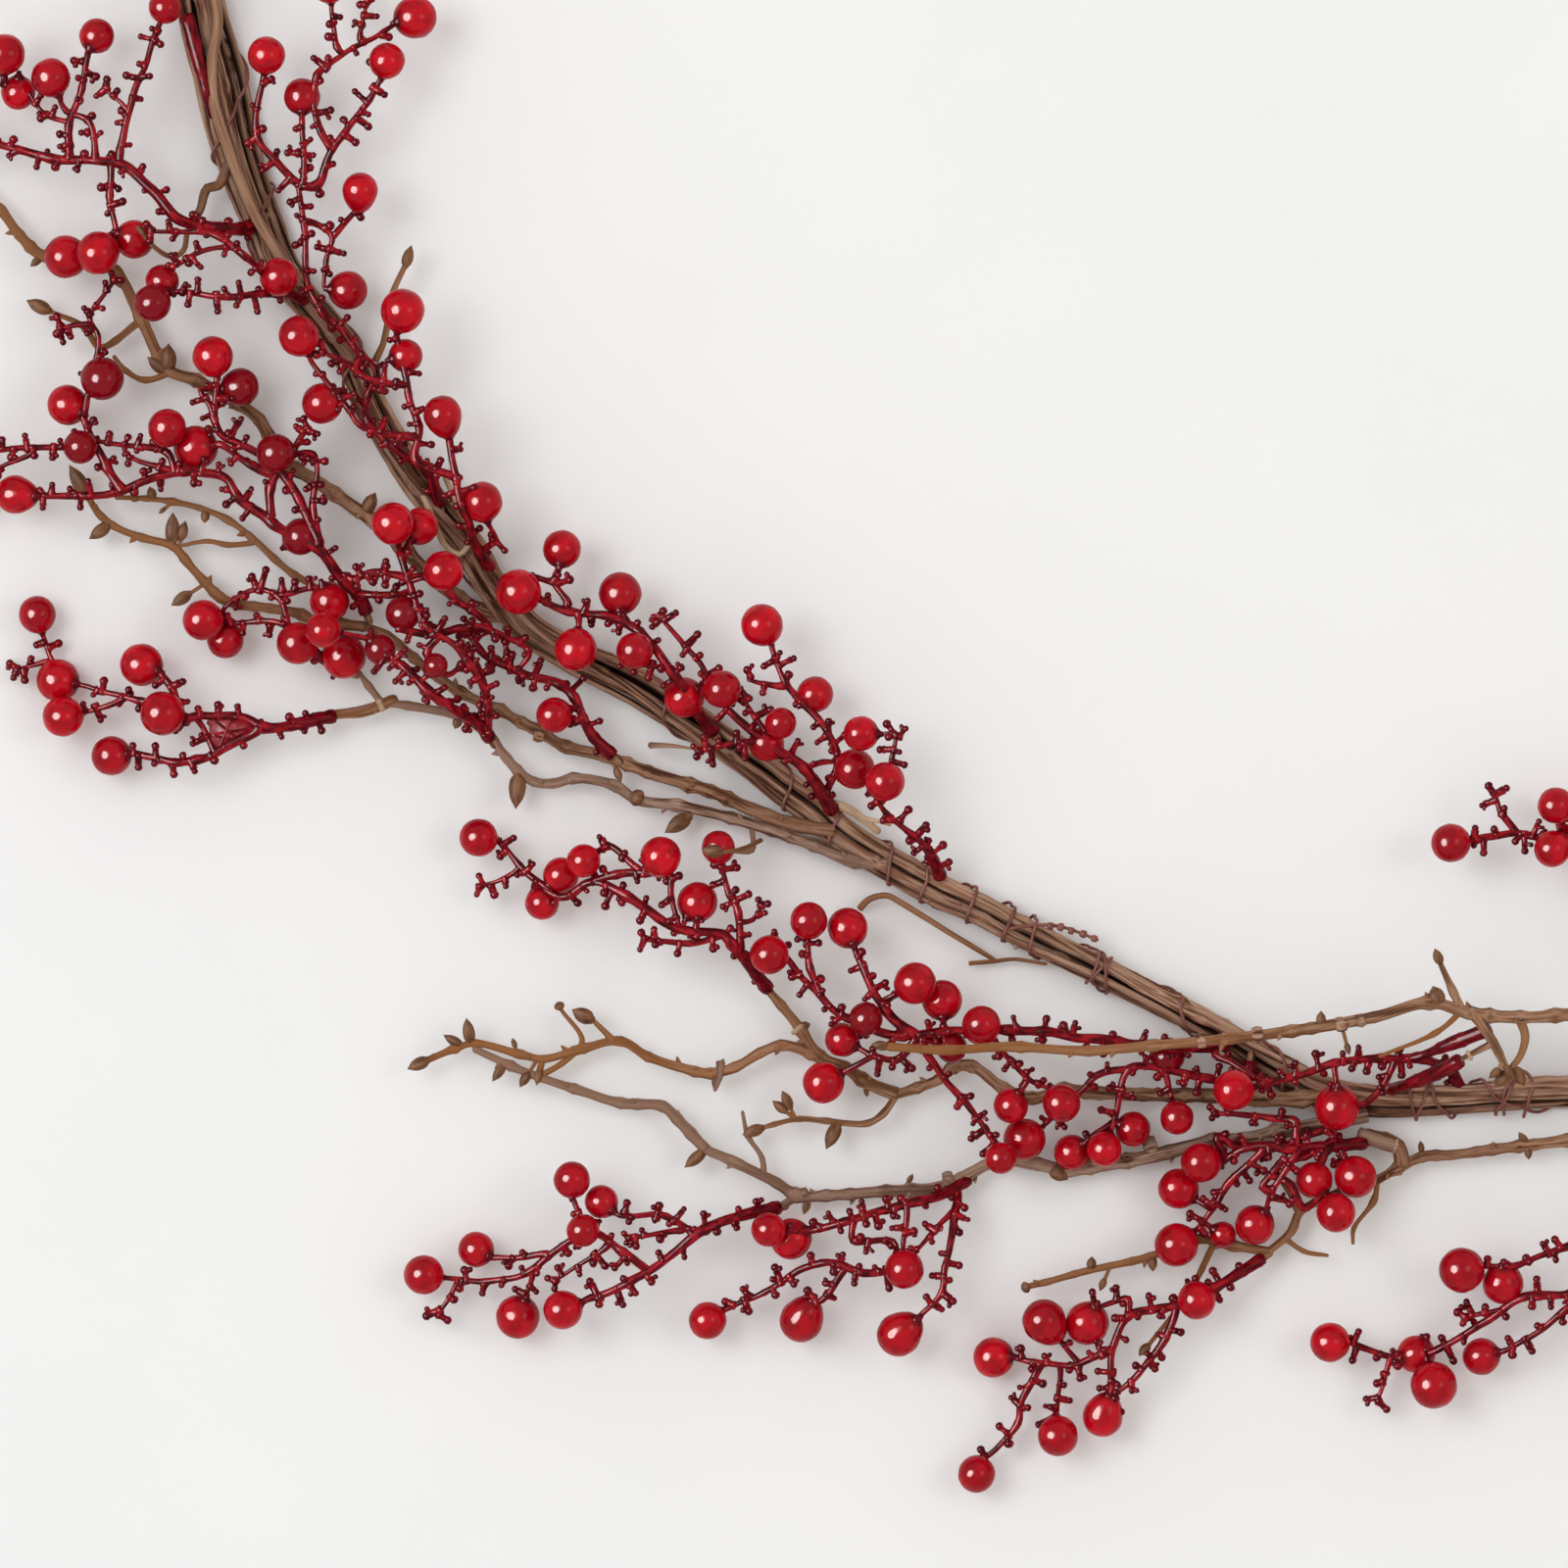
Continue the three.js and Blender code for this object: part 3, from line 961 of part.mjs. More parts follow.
function spray(given, extra, nubEvery, fine) {
  const form = { ...given, reach: reachOf(given) };
  const lines = stemLines(form, fine);
  const bare = lines.map((line) => ({ points: [...line.points] }));
  const solids = [];
  pairs(form.berries, 3).forEach(([x, y, radius], index) => {
    if (index % BERRY_SKIP === BERRY_SKIP - 1) {
      return;
    }
    const foot = new THREE.Vector3(...nearestOn(bare, x, y));
    const lift = index % 2 === 0 ? BERRY_OFFSET : -BERRY_OFFSET;
    const height = Math.max(foot.z + lift, radius - GAP);
    const centre = new THREE.Vector3(x, y, height);
    solids.push(berry(centre, radius + extra));
    const ending = lines.find(({ points, berried }) => {
      const [ex, ey] = points[points.length - 1];
      return !berried && Math.hypot(ex - x, ey - y) < BERRY_REACH;
    });
    if (ending) {
      ending.berried = true;
      ending.points.push([x, y, height]);
    } else if (foot.distanceTo(centre) > radius * 0.5) {
      solids.push(bentTube([foot, centre], [0.8 + extra, 0.8 + extra], 3));
    }
  });
  solids.push(...stemSolids(lines, extra));
  pairs(form.nubs, 2).forEach(([x, y], index) => {
    if (index % nubEvery !== 0) {
      return;
    }
    const foot = new THREE.Vector3(...nearestOn(bare, x, y));
    const lean = index % 4 < 2 ? NUB_LEAN : -NUB_LEAN;
    const head = new THREE.Vector3(x, y, foot.z + lean);
    const away = head.clone().sub(foot);
    head.addScaledVector(away, (NUB_RADIUS * 0.9) / away.length());
    solids.push(nub(foot, head, NUB_RADIUS + extra));
  });
  return wasm.Manifold.union(solids);
}

// A form moved so that its root lies on the vine at x, y, on one side of it
function repeated(form, formAngle, x, y, side, level) {
  const at = alongVine(x, y);
  const root = vineCurve.getPointAt(at / VINE_LENGTH);
  const tangent = vineCurve.getTangentAt(at / VINE_LENGTH).negate();
  const turnTo = Math.atan2(tangent.y, tangent.x);
  const turnFrom = (formAngle * Math.PI) / 180;
  const move = (px, py) => {
    const dx = px - form.root[0];
    const dy = py - form.root[1];
    const u = dx * Math.cos(turnFrom) + dy * Math.sin(turnFrom);
    const v = (dy * Math.cos(turnFrom) - dx * Math.sin(turnFrom)) * side;
    return [
      root.x + u * Math.cos(turnTo) - v * Math.sin(turnTo),
      root.y + u * Math.sin(turnTo) + v * Math.cos(turnTo),
    ];
  };
  return {
    root: [root.x, root.y, form.root[2]],
    level,
    tip: Math.min(form.tip, level),
    stems: form.stems.map(([radius, ...flat]) => (
      [radius, ...pairs(flat, 2).flatMap(([a, b]) => move(a, b))])),
    buds: pairs(form.buds ?? [], 5).flatMap(([a, b, c, d, w]) => [...move(a, b), ...move(c, d), w]),
    nubs: pairs(form.nubs ?? [], 2).flatMap(([a, b]) => move(a, b)),
    berries: pairs(form.berries ?? [], 3).flatMap(([a, b, r]) => [...move(a, b), r]),
  };
}

for (const [name, form] of Object.entries(TWIGS)) {
  lay(name, MATERIALS.twig, (extra) => twig(form, extra));
}
TWIG_REPEATS.forEach(([name, x, y, side, level], index) => {
  const form = repeated(TWIGS[name], FORM_ANGLE[name], x, y, side, level);
  lay(`twig_repeat_${index + 1}`, MATERIALS.twig, (extra) => twig(form, extra));
});
for (const [name, form] of Object.entries(SPRAYS)) {
  lay(name, MATERIALS.red, (extra) => spray(form, extra, NUB_EVERY, FINE));
}
REPEATS.forEach(([name, x, y, side, level], index) => {
  const form = repeated(SPRAYS[name], FORM_ANGLE[name], x, y, side, level);
  lay(`spray_repeat_${index + 1}`, MATERIALS.red, (extra) => spray(form, extra, FAR_NUB_EVERY, FAR_FINE));
});

export default garland;
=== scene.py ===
"""The looks of a holly berry garland that lies on a pale surface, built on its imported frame.

Lengths are in millimetres here and become metres when a piece is made.
Three twisted vine strands are tied by a wire. Brown twigs and red berry sprays grow from them.
"""

import math
import random
from dataclasses import dataclass

import bpy
import numpy as np
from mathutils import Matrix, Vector, noise


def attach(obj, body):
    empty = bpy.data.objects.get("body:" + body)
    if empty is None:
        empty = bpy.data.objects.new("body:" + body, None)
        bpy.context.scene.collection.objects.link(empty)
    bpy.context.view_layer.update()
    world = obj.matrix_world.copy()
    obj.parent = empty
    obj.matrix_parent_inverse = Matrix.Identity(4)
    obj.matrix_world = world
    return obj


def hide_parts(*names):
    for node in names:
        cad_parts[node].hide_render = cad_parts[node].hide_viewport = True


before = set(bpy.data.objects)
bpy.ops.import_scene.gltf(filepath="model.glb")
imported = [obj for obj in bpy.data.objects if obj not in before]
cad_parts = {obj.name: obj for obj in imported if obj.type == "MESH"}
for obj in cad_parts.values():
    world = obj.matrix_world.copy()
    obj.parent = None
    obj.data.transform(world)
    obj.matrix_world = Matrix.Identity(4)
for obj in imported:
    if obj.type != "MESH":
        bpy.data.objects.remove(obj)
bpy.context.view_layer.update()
random.seed(7)

MM = 0.001

# The vine, with the values of the frame's solids
STRAND_RADIUS = 1.85
TWIST_RADIUS = 2.2  # from the vine's centre line to a strand's
STRANDS = 3
TWIST_LENGTH = 1200
LOOSE = 3.2  # how much wider the strands lie where they part
VINE_HEIGHT = 5.6
DIP = 2.2  # how far the vine sinks to rest on the surface at the origin
DIP_WIDTH = 7
STRAND_LIFT = 1.9  # least height of a strand's middle near the vine's ends
WIRE_RADIUS = 0.42
WIRE_STEPS = 22

# Twigs and sprays
RISE = 16  # distance over which a spray climbs from its root to its own level
FALL = 0.45  # share of a spray's reach after which it bends to the height of its tips
BERRY_OFFSET = 2.4  # of berries above and below their stems
BERRY_REACH = 10  # a stem that ends nearer than this to a berry runs on into it
BERRY_SHIFT = 3.6  # how far a berry may move up or down to clear another
BERRY_RINGS = 14
BERRY_SIDES = 22
NUB_LEAN = 0.8
NUB_HEAD = 1.0  # radius of its ball
NUB_ROOM = 3.0  # least distance between two nubs' heads
STEM_SWAY = 0.6  # how far a red stem wanders from its line
STEP = 1.3  # between the rings of a stem


def smooth(t):
    clamped = min(1, max(0, t))
    return clamped * clamped * (3 - 2 * clamped)


def bell(away, width):
    return math.exp(-((away / width) ** 2))


def mix(a, b, t):
    return a + (b - a) * t


def between(span):
    """A random value from a span."""
    return random.uniform(*span)


def groups(flat, size):
    return [flat[i : i + size] for i in range(0, len(flat), size)]


def wander(x, y, seed):
    """A smooth stray to the sides, for a stem that isn't quite straight."""
    return Vector((noise.noise((x, seed, 0)), noise.noise((y, 0, seed)), 0))


@dataclass
class Form:
    """A twig or a spray as it lies on the surface, in places x, y.

    root is x, y and a height, level the height that the form climbs to, and tip the height at its far end.
    Each stem is [radius, x, y, x, y, ...]. buds lists x, y of the base, x, y of the point and a width.
    nubs lists x, y of their heads, and berries lists x, y and a radius.
    """

    root: list
    level: float
    tip: float
    stems: list
    buds: list = ()
    nubs: list = ()
    berries: list = ()

    def __post_init__(self):
        self.reach = max(1, *(self.away(x, y) for stem in self.stems for x, y in groups(stem[1:], 2)))

    def away(self, x, y):
        return math.hypot(x - self.root[0], y - self.root[1])

    def height(self, x, y):
        """Height of a stem at x, y: up from the root, then level, then to the tips."""
        away = self.away(x, y)
        risen = mix(self.root[2], self.level, smooth(away / RISE))
        return mix(risen, self.tip, smooth((away / self.reach - FALL) / (1 - FALL)))


# The vine's centre line, from its upper end round to its right end
VINE = [
    [-130, 420], [-143, 370], [-152, 320], [-156, 270], [-153, 225], [-148.5, 195], [-144.5, 180],
    [-141.5, 166], [-137, 152], [-133, 142], [-128.5, 131], [-121.5, 123], [-115.5, 116], [-110, 108],
    [-104, 95], [-95.5, 80], [-88, 70], [-80, 60], [-74, 50], [-66, 40.5], [-54, 33], [-40, 26.5],
    [-30, 20.5], [-16, 11], [-6, 4.5], [0, 0], [8, -5.5], [14, -11], [28, -20], [40, -26.5], [51, -31.4],
    [61, -37], [70, -41.5], [80, -46.5], [90, -52], [100, -57], [110, -62], [118, -67], [128, -73],
    [138, -78], [149, -80.5], [160, -80.8], [170, -80.5], [181, -79.7], [200, -78.2], [225, -77],
    [250, -74], [300, -66], [350, -52], [400, -30], [450, 0], [495, 38],
]
UPPER_LOOSE = [-144.5, 185]  # where the strands part in the upper left
# Where the tying wire crosses the top of the vine
WIRE_TOPS = [
    [-138, 390], [-146, 355], [-155, 300], [-153, 228], [-142, 168], [-134, 144], [-110, 108], [-81, 61],
    [-30, 20.5], [1.5, -1], [12.9, -10.4], [27, -19.5], [36.5, -24.5], [48, -30], [57.7, -35.2],
    [63.5, -38.3], [79.5, -46.2], [101, -57.5], [128, -73], [160, -80.8], [166, -80.6], [181, -79.7],
    [225, -77], [262, -72], [330, -58], [400, -30], [460, 7],
]

# Brown twigs, with their buds
TWIGS = {}
TWIGS["twig_left"] = Form([-70, 43, 6], level=8, tip=7, stems=[
    [1.5, -70, 43, -76, 43.5, -83, 47.5, -91, 54, -98, 61, -104, 66.6, -109.4, 70.3, -120, 77.7, -127, 82,
     -131, 88, -134, 93, -139, 97, -144.5, 100, -150, 103, -157.5, 106, -164, 118.5, -171, 131, -180, 134,
     -189.4, 134.9, -195.2, 140.2, -200, 146.5, -206, 152],
    [0.7, -157.5, 105, -163, 103.1, -168, 105.5, -171, 109],
    [0.8, -164, 118.5, -174.6, 111.5, -178.8, 116.8, -187, 120.5],
], buds=[
    -157.5, 105, -162.5, 109, 3.2, -157.5, 105, -157, 112.5, 4.2, -189.4, 134.9, -192.5, 132, 2,
    -187, 120.5, -193.5, 123.5, 3.4, -107, 69, -104.2, 74.5, 3.5, -206, 152, -212, 157, 3,
])
TWIGS["twig_long_upper"] = Form([12.9, -12, 8], level=7.5, tip=7, stems=[
    [1.4, 12.9, -12, 2.3, -10.2, -8.3, -6.5, -18.8, -1.8, -24.1, -0.2, -32.1, 2.2, -40, 5, -45.9, 7.2,
     -56.5, 9.8, -61.8, 13, -67.1, 15.7, -72.4, 18.8, -77.7, 21, -83, 23.6, -88.3, 27.3, -94.6, 32.1,
     -101.5, 37.9, -107, 40.2],
    [1.1, -107, 40.2, -113, 40.8, -119, 41.2, -123.3, 43.3, -131.2, 44.9, -139.2, 45.9, -143.9, 47.5,
     -148.1, 51.7, -152.4, 56.5, -156.1, 60.7, -164, 62.9, -171.4, 66, -175.1, 69.2, -177.8, 73.4],
    [0.8, -113, 40.8, -120.6, 50.7, -124.9, 53.3, -129.6, 57, -136.5, 63.4, -142.9, 67.9, -149.2, 70.5,
     -156.1, 72.1, -163, 72.9, -170.4, 73.2],
    [0.6, -154.5, 60.8, -147.1, 62, -141.8, 61, -135.4, 61.8],
], buds=[
    -179, 75, -182.5, 81.5, 3.8, -172.5, 65.8, -177.5, 62.5, 3.2, -156, 61.5, -156, 69.5, 3.6,
    -155, 62, -152.8, 67.3, 2.6, -149.5, 49.5, -156.5, 45.5, 3, -161, 73, -162, 76, 2.4,
    -147.6, 70, -148, 66.5, 2.2, -156.1, 72, -159.7, 69, 1.2, -44.3, 6, -41.5, 0.5, 2,
])
TWIGS["twig_long_lower"] = Form([27, -20, 7], level=7, tip=8, stems=[
    [1.25, 27, -20, 18.2, -19.8, 7.6, -15.6, -3, -11.9, -13.5, -8.7, -26.8, -5.5, -37.5, -4, -43.8, -0.2,
     -53.9, 1.4, -59.1, 0.1, -63.9, 0.6, -68.1, 3.5, -71.3, 7.2, -74, 11, -76.1, 13.8, -84, 17.6,
     -93.5, 19.6, -102.5, 20.5, -106.2, 19.4, -114.7, 17.6],
    [0.8, -102.5, 20.5, -106.2, 25.2, -108.4, 28.4],
    [0.6, -8.3, -10.3, -8.3, -16.9, -14.6, -17.1],
], buds=[
    -69, 1.5, -68.5, -6.5, 4.2, -22, -7, -30.5, -12.5, 4, -36, -4, -39.5, -2.6, 4.2,
    -14.6, -17.1, -20.5, -16.3, 3, -83, 17, -84, 14, 2.4,
])
TWIGS["twig_base"] = Form([141, -79, 7], level=8, tip=8, stems=[
    [1.6, 141, -79, 130, -80.5, 120, -80, 108.8, -79.6, 98.2, -79.4, 87.6, -79.2, 77, -78.6, 71.7, -78,
     63.3, -80.2, 55.9, -77.6, 47.9, -72, 43.2, -72.3, 39.4, -75.5, 34, -77.6, 28.8, -79.2],
    [1.4, 28.8, -79.2, 20.8, -76, 15.6, -72.3, 9.2, -69.6, 3.9, -62.2, -0.8, -56.4, -4, -52.7],
    [1.1, 10.3, -70.4, 3.9, -67.5, -0.8, -66.7, -6.1, -68.6, -12.5, -72.3, -18.8, -73.9, -26.8, -72.3,
     -34.7, -69.6, -41.7, -65.7, -51.2, -67.5, -61.3, -70.2, -67.1, -69.1, -78.7, -66.2, -84, -67.5,
     -90.4, -70.2],
    [0.75, 28.8, -79.2, 25.6, -83.9, 21.4, -86.6, 10.3, -86, 3.9, -85.5, -5.1, -87.6],
    [0.8, -43.8, -65.5, -48.5, -60.5],
    [0.7, -62.3, -74.1, -51.5, -66, -57, -57.5],
], buds=[
    -90.4, -70.2, -96.2, -72.8, 3.2, -80, -66.3, -81.1, -59.6, 3, -82, -66.5, -87, -64, 2.4,
    -68, -69, -69.4, -64.8, 1.4, -62.9, -70.5, -67.5, -77.5, 2.4, -62, -70.5, -63.2, -77, 2.2,
    -48.3, -60.3, -54.2, -57.5, 3.8, -17, -73.9, -15.3, -70, 1.8, -17, -73.9, -18, -78, 1.8,
    -5, -87.5, -10.7, -89.6, 3, 3, -85.3, -0.5, -78.2, 2.6, 3, -85.3, -3, -80.8, 2.4,
    14, -86.5, 10.7, -93.3, 3.5, 20.8, -76, 21.2, -80, 1.4, -57, -57.5, -57.8, -55.6, 2.6,
    3.9, -62.2, 6.8, -61.2, 2.2,
])
TWIGS["twig_lower"] = Form([149, -84.5, 6], level=7, tip=8, stems=[
    [1.6, 149, -84.5, 138.7, -86.6, 125.4, -89.2, 117.5, -90.8, 108.8, -91.4, 98.2, -94, 87.6, -96.3,
     78.1, -97.7, 71.7, -98.7, 64.9, -97.1, 54.8, -96.1, 45.3, -100.8, 40, -103, 26.1, -104, 10.8, -105.1,
     3.4, -105.1, -1.9, -101.9, -13.5, -96.1, -19.9, -93.4],
    [1.2, -19.9, -93.4, -27.3, -85.5, -31, -82.3, -41.7, -81.5, -51.2, -78.6, -62.3, -74.9, -69.7, -72,
     -78.7, -67.8],
    [1.2, 5, -104.8, -0.8, -107.7],
    [0.6, -5.3, -99.5, -5.6, -95.6, -9.3, -89.7, -10.6, -83.9],
], buds=[
    -71.5, -72, -74.5, -76, 2.4, -20.5, -94, -25.5, -98, 3, 30.5, -103, 33, -99.5, 1.4,
    6.6, -105.5, 5, -110, 2, 68, -98, 72.5, -101, 4, 56, -96.5, 57, -92, 1.8,
])
TWIGS["twig_top"] = Form([238, -76, 7], level=31, tip=30, stems=[
    [1.4, 238, -76, 228, -68, 214, -60, 200, -58.5, 186.3, -59, 173.6, -58, 163.5, -55.3, 149.2, -59,
     133.4, -61.7, 114, -64.3, 92.9, -66.2, 77, -67.5, 57.5, -66.5, 40, -67.3, 26.7, -66.5],
    [0.9, 170.9, -56.5, 168.8, -51.6, 166.2, -45.8],
    [1.2, 175, -58.5, 179.4, -65.4, 182.6, -71.7],
    [0.8, 179.4, -65.4, 171.5, -69.6],
    [0.6, 171.5, -57.5, 165.1, -62.8, 150.8, -68.8],
], buds=[
    166, -55.5, 164, -51, 4, 166.2, -45.8, 164.5, -41.5, 2.4, 135.8, -61, 135.8, -57.3, 2.4,
    26.7, -66.5, 22, -65.8, 2.4, 141, -61, 143, -68.6, 1.6, 182, -71, 178.2, -74.5, 2,
    182, -71, 184.6, -75, 2,
])
TWIGS["twig_right"] = Form([238, -78, 6], level=7, tip=8, stems=[
    [1.3, 238, -78, 226, -84, 212, -90, 200, -91, 191.6, -92.1, 181, -93.4, 170.4, -94.8, 163, -95.3,
     156.7, -98.2, 147.1, -103.5, 141.8, -104.6, 131.8, -109.3, 129.7, -114.1, 123.8, -119.4],
    [1.0, 123.8, -119.4, 114.1, -117.8, 105.6, -116.2, 99.9, -118, 93.4, -120.7, 77, -124.4, 66.5, -127.3,
     62.2, -128.3],
    [1.7, 158, -97.5, 156.7, -92.4, 149.2, -89.2],
    [0.8, 131.3, -108.8, 128.1, -102.4, 125.4, -99.3],
    [0.7, 110, -117, 103.5, -129.7, 93.4, -142.9],
    [0.6, 151.4, -101.5, 150.8, -106.1, 145.5, -113.5, 145.3, -117.2],
    [0.6, 128, -116, 132.8, -119.4, 138.7, -120.4],
], buds=[
    190, -92.1, 187.5, -88.8, 2, 190, -92.1, 190.2, -96, 2, 78.4, -124, 78.6, -120.5, 2.4,
    94, -120.5, 94.2, -124.5, 2.4, 83.4, -123, 80.5, -129.5, 1.8, 93.4, -142.9, 90.5, -146, 2.4,
    62.6, -128.2, 60.5, -128.9, 2.8, 163, -95.3, 162.5, -91, 1.6,
])

# Red sprays, with their nubs and berries
SPRAYS = {}
SPRAYS["spray_a"] = Form([-134, 144, 7], level=20, tip=17, stems=[
    [1.4, -134, 144, -137, 142, -143.5, 141.5, -154, 143.4, -160.3, 150.8, -168.3, 157.7, -174.6, 158.2,
     -186.8, 159, -194.7, 161.4, -206, 165],
    [1.0, -171, 158, -171.2, 149.2, -170.1, 140.2],
    [1.0, -181.7, 159, -182, 167.2, -178.3, 176.7, -177, 186],
    [0.9, -175, 159, -177.2, 168.3, -182.5, 171],
    [0.9, -168.8, 160, -166.7, 170.9, -161.9, 183.6, -157, 197, -153, 207],
    [0.7, -167.2, 171.4, -172.5, 176.7],
    [0.6, -182, 168.3, -186.8, 170, -194, 177, -205, 178],
], nubs=[
    -179.5, 156, -184, 162, -190, 157, -196, 164, -185.3, 172, -179.5, 174, -169.5, 168, -163.5, 174,
    -167, 180, -158.5, 188, -163.5, 190, -174.8, 175, -178.5, 165.5, -201, 161, -175, 180, -180.5, 184,
    -168, 148, -173.5, 151.5, -157, 151, -163, 157, -189, 175,
], berries=[
    -198, 185.5, 5.2, -195, 176, 4.4, -186.3, 179.5, 5, -174.9, 190.4, 4.5, -157.2, 197.2, 4.2,
    -182.8, 134.1, 5.5, -174.1, 134.7, 5.5, -165.2, 138.5, 5, -209, 167, 5, -152, 211, 5,
])
SPRAYS["spray_b"] = Form([-88, 71, 9], level=17, tip=20, stems=[
    [1.1, -88, 71, -90.4, 78.7, -97.8, 84.6, -106.2, 92.5, -105.7, 98.8, -103.6, 105, -108.4, 110,
     -113.1, 116.3, -117.4, 120, -121.2, 128, -121.7, 133.9, -122.2, 141.8, -123.5, 152.4],
    [1.0, -123.5, 152.4, -129.6, 158.7, -133.9, 165.6, -132, 180],
    [0.9, -122.8, 152, -122.5, 168.8],
    [1.0, -119, 152, -115, 161, -105.5, 174, -102, 180],
    [0.9, -115, 161, -119.5, 171, -118.5, 180, -112, 185.7, -101.5, 191, -97, 194],
    [0.7, -113.6, 187.3, -115, 198],
    [0.7, -107.6, 189.4, -106, 199],
    [0.8, -121.7, 143, -114.7, 139.2, -116.6, 132.8, -116.8, 126],
    [0.8, -114.7, 139.2, -108, 147],
], nubs=[
    -109, 176, -101.5, 175.1, -112, 168.8, -105.7, 167.2, -108.9, 163, -115.2, 171.2, -105.2, 183.5,
    -136.3, 163, -132.5, 156, -126, 160.5, -128.5, 151, -119.7, 160, -125.5, 148, -118.7, 136.5,
    -124.3, 137, -113, 113, -111, 118.5, -108.8, 104, -101.5, 100, -96.5, 87.5, -115.5, 193, -103.5, 195,
    -112, 135, -119.5, 184.5,
], berries=[
    -131.4, 185, 4.8, -122.6, 174.9, 4.7, -100.8, 183.6, 4.6, -93.8, 195, 5.5, -107.7, 150.8, 4.6,
    -111, 125.7, 5, -115.5, 203, 4.8,
])
SPRAYS["spray_c"] = Form([-122, 123.5, 9], level=27, tip=26, stems=[
    [1.0, -122, 123.5, -126, 125, -131, 124.5, -141, 123.5, -156, 125.5],
    [0.8, -128, 125, -136, 133, -140, 136, -149, 134.5, -154.5, 131],
    [0.8, -136, 133, -143, 138.5, -148, 140, -160, 140],
], nubs=[
    -151, 121.5, -143.5, 119.8, -138.3, 127.2, -133.7, 120, -148.5, 127.7, -156, 142.5, -147.5, 142.8,
    -149, 137, -147.7, 131, -160.8, 137.5, -132.5, 132.5, -155.3, 134,
], berries=[
    -128.3, 128.8, 4.9, -157.8, 127.6, 4.3, -159.8, 121.7, 4.7,
])
SPRAYS["spray_d"] = Form([-75, 55, 9], level=27, tip=27, stems=[
    [1.2, -75, 55, -78.2, 60.2, -80.8, 69.2, -83.5, 77.7, -84.6, 87.2],
    [1.0, -83.5, 77.7, -93, 81.9, -92.5, 90.4, -95.1, 98.8, -95.7, 104.1, -98.3, 113.1],
    [0.9, -93.5, 88, -106.2, 90.4, -110.5, 95.1, -116.8, 103.6, -120, 107.8],
    [0.9, -95.5, 101, -105.7, 102.5, -110.5, 106.2, -116.8, 109.4],
    [0.9, -77.5, 59, -73.4, 61.8, -75, 66],
], nubs=[
    -98.5, 100.5, -91.5, 95, -95, 88, -89.5, 86, -86, 73, -78.5, 75, -88, 78, -101, 92.5, -108.8, 99,
    -113, 95, -115.5, 100, -107, 109, -112.5, 104.5, -101, 106, -92.5, 104, -87, 82, -71, 59.5,
], berries=[
    -96.5, 119.8, 5.6, -95.9, 108.6, 4.3, -122.8, 113.4, 5.2, -117.1, 96.5, 5.2, -86.4, 93.5, 4.9,
    -76.6, 71.6, 5.2,
])
SPRAYS["spray_e"] = Form([-106.5, 43.5, 10], level=19, tip=17, stems=[
    [1.3, -106.5, 43.5, -107.8, 47, -112, 51.7, -119, 60.2, -129.6, 66, -133.9, 69.2, -139.2, 73.4,
     -142.9, 78.2, -152.4, 79.5, -163, 77.1, -168.3, 74.5, -177.2, 73.4, -190.5, 73.2],
    [1.2, -168.3, 74.8, -172.5, 80.8, -175.7, 87.2, -178, 94],
    [0.9, -175.1, 87.7, -163, 85.6, -156.6, 84, -155, 79.5],
    [0.8, -167.2, 83.8, -159.8, 80.6, -155, 79.5],
    [0.8, -177, 86, -191, 85.6, -207, 84.5],
    [0.7, -191, 85, -206, 77],
    [0.8, -178, 94, -174.5, 108, -174.6, 113.7, -176.7, 118.4, -170.4, 128],
    [0.8, -176, 117, -184, 116],
    [1.2, -118.5, 61, -123.3, 72.4, -129, 81, -143.9, 90.4, -144.1, 104],
    [1.1, -143.4, 86.1, -134.9, 80.8, -130, 79],
    [1.1, -130.7, 68, -130.7, 75, -127, 81.4, -121.2, 90.4],
    [0.9, -119.6, 84, -119.6, 69.7, -118.5, 61.8],
    [0.9, -148.1, 99.9, -146, 96.2, -144.5, 92],
], nubs=[
    -188.5, 70.2, -186, 76, -179, 70.5, -177, 77, -171.5, 89, -163.5, 88.5, -170.5, 82.8, -135.5, 75,
    -141.7, 71, -137.5, 67.5, -185, 119, -183.5, 112.5, -193, 88.5, -186, 83, -199, 87.5, -124, 91,
    -118.5, 89, -122.5, 83, -116.8, 82, -121.5, 75, -117, 72, -147.5, 82.5, -150, 76.5, -158.5, 75,
    -158, 82, -136.5, 88, -138, 92.8, -147.8, 93, -140, 98, -150.3, 97, -137, 82, -126.5, 63.5, -114, 60,
    -178, 121, -180.5, 89.5, -181.5, 113.8,
], berries=[
    -173.2, 103, 5.5, -182.4, 96.5, 5.2, -178.8, 85.6, 4.3, -195.8, 73.7, 5, -145.1, 108.6, 5.2,
    -138.4, 101, 4.9, -156.6, 90.4, 4.9, -149.8, 85.6, 5.7, -129.1, 84, 5, -123, 62.9, 4.7, -211, 86, 5,
    -209, 74, 4.8,
])
SPRAYS["spray_f"] = Form([-111, 28.6, 8], level=15, tip=12, stems=[
    [0.9, -111, 28.6, -119, 33, -126, 40, -134, 41.5, -141.5, 41],
    [0.8, -126, 40, -129, 48, -134, 49.7, -143, 44.5],
    [0.8, -129, 48, -119.5, 50, -116, 47],
], nubs=[
    -132, 54.5, -135.5, 52.8, -138, 38.5, -131, 38, -128, 52, -124.5, 51.5, -138.5, 48.5, -121, 38,
], berries=[
    -147.9, 41.7, 5.2, -142.6, 36.8, 4.8, -123.8, 35.8, 5.4, -115.8, 46.5, 5.1, -112.2, 32.6, 5.7,
])
